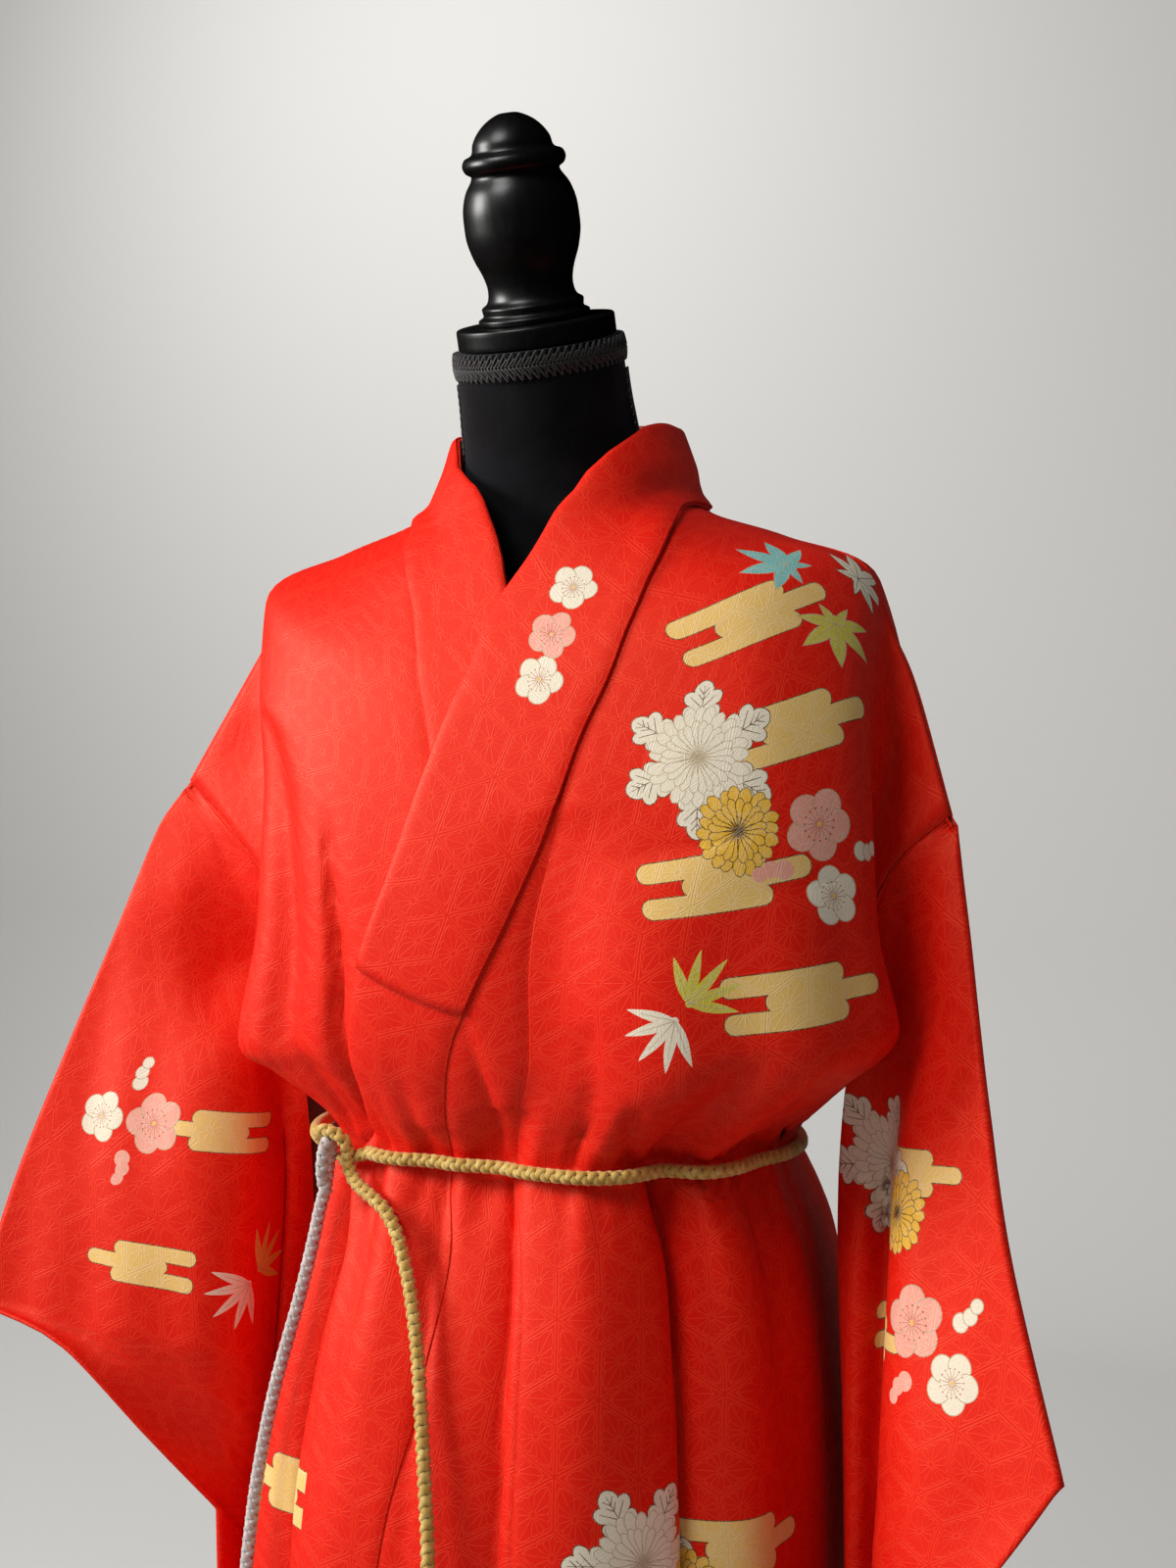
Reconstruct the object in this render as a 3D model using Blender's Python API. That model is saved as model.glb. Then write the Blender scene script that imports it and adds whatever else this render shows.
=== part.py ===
"""Silk kimono, wrapped left over right and tied with a braided cord, on a limbless dress form.

Metres, +Z up. The form's front faces -Y and the wearer's left is +X.

The body cloth is one shell round the form. A place on it is a level, which runs from 0 at the top
of the standing neckband to 17 at the hem, and a bearing in degrees, which is 0 at the centre
front, 90 at the left side, 180 at the centre back and negative on the right. LEVELS holds one row
of sizes for each whole level. The panels, the overlap strips and the neckband are cut from that
shell and moved out by the layers beneath them.
"""
import math
from typing import NamedTuple

import bmesh
import bpy
import numpy as np
from mathutils import Matrix, Vector

# Cloth and layers
CLOTH = 0.0016             # body cloth with its lining
BAND = 0.0022              # folded neckband
OVER = 0.0016              # over-collar on the band
SLEEVE_CLOTH = 0.0014
LINING_CLOTH = 0.0010
SEAM_GAP = 0.0005          # between two pieces sewn edge to edge
RIDGE_GAP = 0.0006         # half the gap where front and back meet
WRAP = 0.0070              # how far the left side lies outside the right side
WRAP_FULL, WRAP_NONE = 45.0, 75.0   # bearings between which the wrap eases to nothing
FRONT_ROUND, BACK_ROUND = 2.35, 2.40   # exponents of the level rings

# Levels
LEVEL_NECK = 2.0           # where the standing neckband meets the body
LEVEL_BELT = 11
LEVEL_OVERLAP_TOP = 5.0    # where the overlap strip begins beside the neckband
LEVEL_BAND_END = 15.4
LEVEL_OVER_COLLAR_END = 7.5

# Cord
CORD_DIAMETER = 0.009
CORD_CLEAR = 0.0010
KNOT_BEARING = -34.0
KNOT_SIZE = (0.0135, 0.0135, 0.0170)   # half sizes
KNOT_OUT, KNOT_DOWN = 0.0085, 0.006    # how far the knot sits outside and below the cord
KNOT_SPAN = 8.0                        # bearing between the knot's middle and the cord's ends
BELT_POINTS = 37

# Dress form
LEAN = math.radians(17.5)  # the neck cap and the finial lean forward
CAP_CENTRE = (0.0, -0.041, 1.584)
CAP_RADIUS = 0.0490
CAP_THICK = 0.013
POLE_RADIUS = 0.014
BASE_RADIUS = 0.175
BASE_HEIGHT = 0.045
TOUCH = 0.0004             # between pieces that rest on each other

CORD_NAMES = ("belt_", "tail_", "tassel_")


class Level(NamedTuple):
    """Sizes of one level ring: the centre front, the centre back and the four side folds."""
    name: str
    front_y: float
    front_z: float
    back_y: float
    back_z: float
    left: tuple
    right: tuple
    left_back: tuple
    right_back: tuple


def even(name, front_y, front_z, back_y, back_z, x, y, z):
    """A level whose sides are alike and where front and back meet at the side."""
    left, right = (x, y, z), (-x, y, z)
    return Level(name, front_y, front_z, back_y, back_z, left, right, left, right)


def skirt(name, front_y, back_y, left_x, right_x, z):
    """A flat level of the skirt."""
    left, right = (left_x, 0.0, z), (-right_x, 0.0, z)
    return Level(name, front_y, z, back_y, z, left, right, left, right)


LEVELS = (
    even("collar_top", -0.060, 1.500, 0.068, 1.540, 0.066, 0.005, 1.530),
    even("collar_mid", -0.072, 1.475, 0.074, 1.510, 0.076, 0.004, 1.505),
    even("neck_seam", -0.085, 1.450, 0.080, 1.478, 0.087, 0.002, 1.476),
    even("mid_shoulder", -0.103, 1.408, 0.098, 1.430, 0.145, 0.000, 1.455),
    even("shoulder_end", -0.120, 1.365, 0.112, 1.370, 0.200, -0.003, 1.430),
    Level("upper_chest", -0.131, 1.315, 0.118, 1.310,
          (0.206, -0.045, 1.365), (-0.188, -0.055, 1.365),
          (0.206, 0.045, 1.365), (-0.195, 0.045, 1.365)),
    Level("bust", -0.139, 1.260, 0.120, 1.245,
          (0.206, -0.060, 1.295), (-0.182, -0.070, 1.295),
          (0.206, 0.055, 1.295), (-0.190, 0.055, 1.295)),
    Level("under_bust", -0.141, 1.205, 0.120, 1.190,
          (0.212, -0.062, 1.225), (-0.183, -0.075, 1.225),
          (0.208, 0.055, 1.225), (-0.190, 0.055, 1.225)),
    Level("pouch", -0.136, 1.155, 0.116, 1.150,
          (0.229, -0.054, 1.165), (-0.197, -0.078, 1.155),
          (0.212, 0.050, 1.165), (-0.198, 0.050, 1.160)),
    Level("pouch_turn", -0.126, 1.125, 0.110, 1.120,
          (0.192, -0.040, 1.133), (-0.170, -0.058, 1.128),
          (0.183, 0.032, 1.133), (-0.172, 0.032, 1.130)),
    Level("above_belt", -0.115, 1.100, 0.104, 1.100,
          (0.150, -0.010, 1.103), (-0.148, -0.012, 1.101),
          (0.150, 0.010, 1.103), (-0.148, 0.010, 1.101)),
    skirt("belt", -0.111, 0.102, 0.143, 0.143, 1.0865),
    skirt("below_belt", -0.114, 0.104, 0.147, 0.146, 1.070),
    skirt("hip_top", -0.126, 0.113, 0.161, 0.149, 1.030),
    skirt("hip", -0.146, 0.124, 0.172, 0.168, 0.950),
    skirt("thigh", -0.163, 0.130, 0.177, 0.186, 0.820),
    skirt("knee", -0.168, 0.132, 0.180, 0.190, 0.550),
    skirt("hem", -0.172, 0.136, 0.184, 0.196, 0.055),
)


class BandRow(NamedTuple):
    """Where the neckband's outer seam and its free edge lie: a level and a bearing for each."""
    seam_level: float
    seam_bearing: float
    edge_level: float
    edge_bearing: float


LEFT_BAND = (                       # from the neck side down to the band's lower end
    BandRow(2.0, 90.0, 0.15, 68.0),
    BandRow(2.1, 79.0, 0.55, 43.0),
    BandRow(2.4, 62.0, 1.20, 27.0),
    BandRow(2.9, 42.0, 2.00, 15.8),
    BandRow(3.5, 28.5, 2.84, 3.2),
    BandRow(4.4, 19.0, 4.00, -0.5),
    BandRow(5.4, 13.2, 5.04, -5.0),
    BandRow(6.5, 6.3, 6.09, -11.2),
    BandRow(7.5, 0.8, 7.10, -18.2),
    BandRow(9.0, -3.0, 8.90, -22.0),
    BandRow(10.4, -5.0, 10.40, -31.0),
    BandRow(11.9, -5.5, 11.90, -35.5),
    BandRow(13.0, -3.2, 13.00, -33.0),
    BandRow(14.0, -5.6, 14.00, -31.0),
    BandRow(14.8, -9.5, 14.80, -28.0),
    BandRow(15.4, -11.0, 15.40, -27.0),
)
RIGHT_BAND = (
    BandRow(2.0, -90.0, 0.15, -68.0),
    BandRow(2.1, -62.0, 0.45, -38.0),
    BandRow(2.4, -38.0, 0.75, -17.5),
    BandRow(2.8, -22.0, 1.70, -4.0),
    BandRow(3.4, -12.0, 2.80, 3.2),
    BandRow(4.2, -7.0, 4.00, 12.0),
    BandRow(5.0, -4.5, 5.00, 18.0),
    BandRow(6.0, 0.0, 6.00, 24.0),
    BandRow(7.0, 4.0, 7.00, 28.0),
    BandRow(8.4, 7.0, 8.40, 30.0),
    BandRow(10.4, 9.0, 10.40, 35.0),
    BandRow(11.9, 10.0, 11.90, 37.0),
    BandRow(13.0, 10.0, 13.00, 35.0),
    BandRow(14.0, 10.5, 14.00, 33.0),
    BandRow(15.4, 12.0, 15.40, 30.0),
)
FREE_EDGE = ((15.4, 27.0), (17.0, 25.0))     # overlap strip's free edge below the band, both sides
LEFT_OVERLAP_SEAM = ((5.0, 16.5), (6.6, 9.5), (7.7, 8.2), (11.5, 7.0), (13.7, 11.0), (17.0, 12.0))
RIGHT_OVERLAP_SEAM = ((5.0, -5.5), (6.6, -7.5), (7.7, -8.0), (11.5, -7.0), (13.7, -9.0), (17.0, -10.0))


class Fold(NamedTuple):
    """A soft ridge (positive height) or trough of the shell that runs between two levels."""
    top: float
    bottom: float
    bearing_top: float
    bearing_bottom: float
    width_top: float
    width_bottom: float
    height: float


FOLDS = (
    Fold(9.5, 14.5, -8.0, -9.0, 4.5, 7.0, -0.0070),
    Fold(9.0, 14.0, 4.5, 1.0, 4.0, 7.0, -0.0080),
    Fold(9.5, 18.0, 24.0, 22.0, 9.0, 12.0, 0.0070),
    Fold(8.0, 17.5, 41.0, 47.0, 5.0, 12.0, -0.0150),
    Fold(11.2, 17.0, 50.0, 66.0, 6.0, 12.0, 0.0070),
    Fold(9.5, 17.0, 76.0, 74.0, 8.0, 12.0, -0.0050),
    Fold(5.5, 10.5, 14.0, 7.0, 8.0, 5.0, -0.0070),
    Fold(6.0, 10.8, 34.0, 24.0, 12.0, 9.0, 0.0070),
    Fold(6.5, 10.8, 58.0, 52.0, 10.0, 8.0, 0.0060),
    Fold(5.0, 10.8, -58.0, -31.0, 11.0, 8.0, -0.0120),
    Fold(11.2, 18.0, -52.0, -57.0, 8.0, 15.0, 0.0100),
    Fold(9.8, 15.0, -30.0, -27.0, 5.0, 8.0, -0.0050),
    Fold(11.2, 17.0, -18.0, -19.0, 7.0, 8.0, 0.0040),
    Fold(11.4, 18.0, 115.0, 112.0, 9.0, 14.0, 0.0090),
    Fold(9.0, 17.5, 138.0, 140.0, 6.0, 11.0, -0.0120),
    Fold(11.4, 18.0, 162.0, 160.0, 9.0, 13.0, 0.0080),
    Fold(11.4, 18.0, -113.0, -110.0, 9.0, 14.0, 0.0090),
    Fold(9.0, 17.5, -135.0, -141.0, 6.0, 11.0, -0.0120),
    Fold(11.4, 18.0, -164.0, -159.0, 9.0, 13.0, 0.0080),
    Fold(5.0, 10.5, 146.0, 160.0, 13.0, 8.0, -0.0100),
    Fold(5.0, 10.5, -148.0, -161.0, 13.0, 8.0, -0.0100),
)


class SideFold(NamedTuple):
    """Cloth past the arm-side fold: the bottom of its trough and the sleeve seam."""
    level: float
    trough: tuple
    seam: tuple


LEFT_FRONT_SIDE = (
    SideFold(4.0, (0.229, -0.010, 1.366), (0.255, -0.0255, 1.290)),
    SideFold(5.0, (0.219, -0.022, 1.312), (0.224, -0.028, 1.262)),
    SideFold(6.0, (0.207, -0.034, 1.258), (0.203, -0.028, 1.222)),
    SideFold(7.0, (0.200, -0.036, 1.203), (0.190, -0.026, 1.178)),
    SideFold(8.0, (0.200, -0.032, 1.152), (0.178, -0.022, 1.132)),
    SideFold(9.0, (0.180, -0.022, 1.123), (0.165, -0.013, 1.113)),
    SideFold(10.0, (0.1495, -0.006, 1.100), (0.1485, -0.004, 1.0985)),
)
LEFT_BACK_SIDE = (
    SideFold(4.0, (0.229, -0.008, 1.366), (0.255, -0.0245, 1.290)),
    SideFold(5.0, (0.220, 0.014, 1.312), (0.226, -0.003, 1.262)),
    SideFold(6.0, (0.208, 0.026, 1.258), (0.205, 0.012, 1.222)),
    SideFold(7.0, (0.200, 0.030, 1.203), (0.190, 0.018, 1.178)),
    SideFold(8.0, (0.195, 0.028, 1.152), (0.178, 0.018, 1.132)),
    SideFold(9.0, (0.175, 0.020, 1.123), (0.165, 0.012, 1.113)),
    SideFold(10.0, (0.1495, 0.006, 1.100), (0.1485, 0.004, 1.0985)),
)
RIGHT_FRONT_SIDE = (
    SideFold(4.0, (-0.236, -0.010, 1.370), (-0.272, -0.0205, 1.305)),
    SideFold(5.0, (-0.214, -0.026, 1.315), (-0.232, -0.028, 1.272)),
    SideFold(6.0, (-0.193, -0.040, 1.262), (-0.200, -0.030, 1.235)),
    SideFold(7.0, (-0.182, -0.046, 1.205), (-0.186, -0.030, 1.185)),
    SideFold(8.0, (-0.180, -0.046, 1.150), (-0.174, -0.025, 1.135)),
    SideFold(9.0, (-0.164, -0.032, 1.121), (-0.160, -0.015, 1.112)),
    SideFold(10.0, (-0.1475, -0.008, 1.099), (-0.1465, -0.005, 1.0975)),
)
RIGHT_BACK_SIDE = (
    SideFold(4.0, (-0.236, -0.008, 1.370), (-0.272, -0.0195, 1.305)),
    SideFold(5.0, (-0.218, 0.014, 1.315), (-0.234, -0.003, 1.272)),
    SideFold(6.0, (-0.200, 0.026, 1.262), (-0.202, 0.012, 1.235)),
    SideFold(7.0, (-0.188, 0.030, 1.205), (-0.187, 0.018, 1.185)),
    SideFold(8.0, (-0.184, 0.028, 1.150), (-0.175, 0.018, 1.135)),
    SideFold(9.0, (-0.166, 0.020, 1.121), (-0.160, 0.012, 1.112)),
    SideFold(10.0, (-0.1475, 0.006, 1.099), (-0.1465, 0.004, 1.0975)),
)


def cubic(x, y, at):
    """Smooth curve without overshoot through the values y at the places x, read at the places at."""
    x = np.asarray(x, float)
    y = np.asarray(y, float)
    at = np.clip(np.asarray(at, float), x[0], x[-1])
    chord = np.diff(y, axis=0) / np.diff(x).reshape(-1, *[1] * (y.ndim - 1))
    before, after = np.concatenate([chord[:1], chord]), np.concatenate([chord, chord[-1:]])
    steepest = 3 * np.minimum(np.abs(before), np.abs(after)) * (before * after > 0)
    slope = np.clip(np.gradient(y, x, axis=0), -steepest, steepest)
    i = np.clip(np.searchsorted(x, at, side="right") - 1, 0, len(x) - 2)
    step = x[i + 1] - x[i]
    f = (at - x[i]) / step
    if y.ndim == 2:
        f, step = f[..., None], step[..., None]
    ease = f * f * (3 - 2 * f)
    return ((1 - ease) * y[i] + ease * y[i + 1]
            + step * ((f ** 3 - 2 * f ** 2 + f) * slope[i] + (f ** 3 - f ** 2) * slope[i + 1]))


def at_level(field, level):
    """One column of LEVELS, read smoothly between its rows."""
    return cubic(range(len(LEVELS)), [getattr(row, field) for row in LEVELS], level)


def ease(x, start, end):
    """0 before start, 1 after end, smooth between; start may be the larger."""
    f = np.clip((x - start) / (end - start), 0, 1)
    return f * f * (3 - 2 * f)


def fold_height(level, bearing):
    """Height of all the soft folds at a place on the shell."""
    total = np.zeros(np.broadcast(level, bearing).shape)
    for fold in FOLDS:
        down = np.clip((level - fold.top) / (fold.bottom - fold.top), 0, 1)
        centre = fold.bearing_top + (fold.bearing_bottom - fold.bearing_top) * down
        width = fold.width_top + (fold.width_bottom - fold.width_top) * down
        across = np.exp(-((bearing - centre) / width) ** 2)
        total = total + fold.height * across * np.sin(np.pi * down ** 0.7) ** 0.8
    return total


def plain_shell(level, bearing):
    """Points of the body cloth's inside before folds; each ring is a superellipse."""
    level, bearing = np.broadcast_arrays(np.asarray(level, float), np.asarray(bearing, float))
    turn = np.radians(bearing)
    front = np.cos(turn) >= 0
    left = (bearing >= 0)[..., None]
    side_front = np.where(left, at_level("left", level), at_level("right", level))
    side_back = np.where(left, at_level("left_back", level), at_level("right_back", level))
    side = np.where(front[..., None], side_front, side_back)
    mid_y = np.where(front, at_level("front_y", level), at_level("back_y", level))
    mid_z = np.where(front, at_level("front_z", level), at_level("back_z", level))
    power = 2 / np.where(front, FRONT_ROUND, BACK_ROUND)
    x = side[..., 0] * np.abs(np.sin(turn)) ** power
    y = side[..., 1] + (mid_y - side[..., 1]) * np.abs(np.cos(turn)) ** power
    z = mid_z + (side[..., 2] - mid_z) * np.sin(turn) ** 2
    return np.stack([x, y, z], -1)


def shell(level, bearing, out=0.0, wrap=False):
    """Points of the body cloth, moved out along its normal; wrap puts them on the left layer."""
    level, bearing = np.broadcast_arrays(np.asarray(level, float), np.asarray(bearing, float))
    half = np.where(np.abs(bearing) > 90, 90.6, 89.4)
    inside = np.where(np.abs(np.abs(bearing) - 90) < 0.6, np.sign(bearing) * half, bearing)
    down = plain_shell(level + 0.05, inside) - plain_shell(level - 0.05, inside)
    round_ = plain_shell(level, inside + 0.5) - plain_shell(level, inside - 0.5)
    normal = np.cross(down, round_)
    normal /= np.linalg.norm(normal, axis=-1, keepdims=True)
    lift = out + fold_height(level, bearing)
    if wrap:
        lift = lift + WRAP * ease(bearing, WRAP_NONE, WRAP_FULL)
    return plain_shell(level, bearing) + normal * np.asarray(lift)[..., None]


# Scene and materials

def clear_scene():
    """Removes what the new file holds."""
    for item in list(bpy.data.objects):
        bpy.data.objects.remove(item)


def finish(name, colour, roughness, metallic=0.0):
    """A Principled BSDF material."""
    material = bpy.data.materials.new(name)
    material.use_nodes = True
    shader = material.node_tree.nodes["Principled BSDF"]
    shader.inputs["Base Color"].default_value = (*colour, 1.0)
    shader.inputs["Roughness"].default_value = roughness
    shader.inputs["Metallic"].default_value = metallic
    return material


RED = (0.66, 0.025, 0.018)
ROSE = (0.36, 0.13, 0.09)
BLACK = (0.006, 0.006, 0.008)


def add_object(name, mesh, colour, roughness, metallic=0.0):
    """Puts a mesh in the scene under its own material."""
    mesh.materials.append(finish(name, colour, roughness, metallic))
    item = bpy.data.objects.new(name, mesh)
    bpy.context.collection.objects.link(item)
    return item


def wall(name, points, faces, thickness, colour, roughness):
    """A cloth wall: the surface of the faces, grown outwards along its normals."""
    mesh = bpy.data.meshes.new(name)
    used = sorted({corner for face in faces for corner in face})
    place = {corner: index for index, corner in enumerate(used)}
    mesh.from_pydata([tuple(points[corner]) for corner in used], [],
                     [[place[corner] for corner in face] for face in faces])
    mesh.shade_smooth()
    item = add_object(name, mesh, colour, roughness)
    grow = item.modifiers.new("cloth thickness", "SOLIDIFY")
    grow.thickness = thickness
    grow.offset = 1.0
    grow.use_rim = True
    return item


def quad(i, j, columns):
    """Corners of one grid cell, down and then across."""
    return [i * columns + j, (i + 1) * columns + j, (i + 1) * columns + j + 1, i * columns + j + 1]


def pull_in(points, end, inner, gap=SEAM_GAP / 2):
    """Moves points[end] towards points[inner] by the gap."""
    step = points[inner] - points[end]
    points[end] = points[end] + step / np.linalg.norm(step) * gap


def smooth_path(points, count):
    """Evenly spaced points on a smooth curve through the given ones."""
    points = np.asarray(points, float)
    along = np.concatenate([[0], np.cumsum(np.linalg.norm(np.diff(points, axis=0), axis=1))])
    fine = cubic(along, points, np.linspace(0, along[-1], 8 * count))
    length = np.concatenate([[0], np.cumsum(np.linalg.norm(np.diff(fine, axis=0), axis=1))])
    even_ = np.linspace(0, length[-1], count)
    return np.stack([np.interp(even_, length, fine[:, k]) for k in range(3)], -1)


# Body panels

ROWS = (2.1, 2.4, 2.9, 3.4, 4.0, 4.5, 5.0, 5.5, 6.0, 6.5, 7.0, 7.5, 8.0, 8.5, 9.0, 9.5, 10.0,
        10.5, 11.0, 11.5, 12.0, 12.5, 13.0, 13.5, 14.0, 14.5, 15.0, 15.4, 16.0, 16.5, 17.0)
SIDE_TOP, SIDE_END = 4.0, 10.0     # levels between which cloth goes on past the arm-side fold
BACK_COLUMNS = 8
FRONT_SHARES = (0.0, 0.10, 0.20, 0.30, 0.37, 0.42, 0.48, 0.58, 0.70, 0.85, 1.0)
BACK_SHARES = tuple(np.linspace(0, 1, BACK_COLUMNS + 1))


def band_seam(side, level):
    """Bearing of the neckband's outer seam at a level; side is 1 on the left, -1 on the right."""
    band = LEFT_BAND if side > 0 else RIGHT_BAND
    return float(cubic([row.seam_level for row in band], [row.seam_bearing for row in band], level))


def band_edge(side, level):
    """Level and bearing of the neckband's free edge across from the seam at a level."""
    band = LEFT_BAND if side > 0 else RIGHT_BAND
    edges = [(row.edge_level, row.edge_bearing) for row in band]
    return cubic([row.seam_level for row in band], edges, level)


def overlap_seam(side, level):
    """Bearing of the seam between a front and its overlap strip."""
    levels, bearings = zip(*(LEFT_OVERLAP_SEAM if side > 0 else RIGHT_OVERLAP_SEAM))
    return float(cubic(levels, bearings, level))


def front_edge(side, level):
    """Bearing of a front's inner edge: the band's seam above, the overlap strip's seam below."""
    if level < LEVEL_OVERLAP_TOP:
        return band_seam(side, level)
    return overlap_seam(side, level)


def past_fold(table, level, corner):
    """Points past the arm-side fold at one level: through the trough to the sleeve seam."""
    levels = [row.level for row in table]
    trough = cubic(levels, [row.trough for row in table], level)
    seam = cubic(levels, [row.seam for row in table], level)
    return [(corner + trough) / 2, trough, seam]


def body_panel(name, side, inner_edge, rows, table, wrap=False, back=False):
    """One body length: shell columns from the inner edge to the side, then those past the fold."""
    points, faces = [], []
    side_bearing = side * (90.01 if back else 89.99)
    shares = np.array(BACK_SHARES if back else FRONT_SHARES)
    ring = len(shares)
    for level in rows:
        bearings = inner_edge(level) + (side_bearing - inner_edge(level)) * shares
        row = shell(level, bearings, wrap=wrap)
        pull_in(row, 0, 1)
        if not SIDE_TOP < level <= SIDE_END:
            pull_in(row, -1, -2, RIDGE_GAP)
        past = past_fold(table, level, row[-1]) if SIDE_TOP <= level <= SIDE_END else [row[-1]] * 3
        points += [*row, *past]
    width = ring + 3
    for i, level in enumerate(rows[:-1]):
        faces += [quad(i, j, width) for j in range(ring - 1)]
        if SIDE_TOP <= level < SIDE_END:
            faces += [quad(i, j, width) for j in range(ring - 1, width - 1)]
        elif level == SIDE_END:
            below = (i + 1) * width + ring - 1
            faces += [[i * width + j, below, i * width + j + 1] for j in range(ring - 1, width - 1)]
    if (side > 0) == back:
        faces = [face[::-1] for face in faces]
    wall(name, points, faces, CLOTH, RED, 0.5)


def overlap_strip(name, side):
    """The strip sewn to a front's inner edge, from beside the band down to the hem."""
    rows = [level for level in ROWS if level >= LEVEL_OVERLAP_TOP]
    levels, bearings = zip(*FREE_EDGE)
    points, faces = [], []
    for level in rows:
        outer = overlap_seam(side, level)
        if level <= LEVEL_BAND_END:
            slant = band_seam(side, level)
        else:
            slant = band_seam(side, LEVEL_BAND_END)
        free = -side * float(cubic(levels, bearings, max(level, LEVEL_BAND_END)))
        main = slant + (outer - slant) * np.linspace(0, 1, 4)
        row = shell(level, [free, (free + slant) / 2, *main], wrap=side > 0)
        pull_in(row, -1, -2)
        if level <= LEVEL_BAND_END:
            pull_in(row, 2, 3)
        points += [*row]
    width = 6
    for i, level in enumerate(rows[:-1]):
        first = 0 if level >= LEVEL_BAND_END else 2
        faces += [quad(i, j, width) for j in range(first, width - 1)]
    if side < 0:
        faces = [face[::-1] for face in faces]
    wall(name, points, faces, CLOTH, RED, 0.5)


def band_stations(lowest):
    """Stations of the neckband from the left end round the back of the neck to the right end."""
    rows = [level for level in ROWS if level <= lowest]
    left = [(1, level, band_seam(1, level), *band_edge(1, level)) for level in reversed(rows)]
    right = [(-1, level, band_seam(-1, level), *band_edge(-1, level)) for level in rows]
    neck = []
    for share in np.linspace(0, 1, 2 * BACK_COLUMNS - 1):
        bearing = 90 + 180 * share
        side = 1 if bearing <= 180 else -1
        height = 0.15 * abs(share - 0.5) * 2
        reach = 68 + 22 * ease(min(share, 1 - share), 0, 0.15)
        edge = reach if bearing == 90 else (360 - reach if bearing == 270 else bearing)
        turn = bearing if side > 0 else bearing - 360
        edge = edge if side > 0 else edge - 360
        neck.append((side, LEVEL_NECK, turn, height, edge))
    return left + neck + right


def band(name, lowest, out, thickness, columns):
    """A strip along the neckband, moved out from the shell; it stands on the panels at the neck."""
    points, faces = [], []
    share = np.linspace(0, 1, columns + 1)
    for side, level, seam, edge_level, edge in band_stations(lowest):
        row = shell(edge_level + (level - edge_level) * share, edge + (seam - edge) * share,
                    out=out, wrap=side > 0)
        pull_in(row, -1, -2)
        stand = (CLOTH + SEAM_GAP) * float(ease(level, 3.6, 2.4))
        up = shell(level + 0.35, seam, 1.0) - shell(level + 0.35, seam)
        row[-1] += up * stand
        points += [*row]
    width = columns + 1
    count = len(points) // width
    for j in range(width):
        pull_in(points, j, j + width)
        pull_in(points, -1 - j, -1 - j - width)
    for i in range(count - 1):
        faces += [quad(i, j, width)[::-1] for j in range(columns)]
    wall(name, points, faces, thickness, RED, 0.5)


def body():
    """The four body panels, the two overlap strips, the neckband and the over-collar."""
    body_panel("front_left", 1, lambda level: front_edge(1, level), ROWS,
               LEFT_FRONT_SIDE, wrap=True)
    body_panel("front_right", -1, lambda level: front_edge(-1, level), ROWS,
               RIGHT_FRONT_SIDE)
    back_rows = (LEVEL_NECK + 0.02, *ROWS[1:])
    body_panel("back_left", 1, lambda level: 180.0, back_rows, LEFT_BACK_SIDE, back=True)
    body_panel("back_right", -1, lambda level: -180.0, back_rows, RIGHT_BACK_SIDE, back=True)
    overlap_strip("okumi_left", 1)
    overlap_strip("okumi_right", -1)
    band("collar", LEVEL_BAND_END, 0.0, BAND, 3)
    band("over_collar", LEVEL_OVER_COLLAR_END, BAND + SEAM_GAP, OVER, 3)


# Sleeves

class SleeveRow(NamedTuple):
    """One run of cloth across a sleeve, from the body side to the outer side and back again.

    outer and inner carry a height; the runs between them slope evenly. A cuff row has its own
    back_outer, because the sleeve is open there; back_inner is empty where the bag is sewn shut.
    """
    inner: tuple
    flute: tuple
    valley: tuple
    fold: tuple
    outer: tuple
    back_outer: tuple
    back_mid: tuple
    back_flute: tuple
    back_inner: tuple


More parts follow.
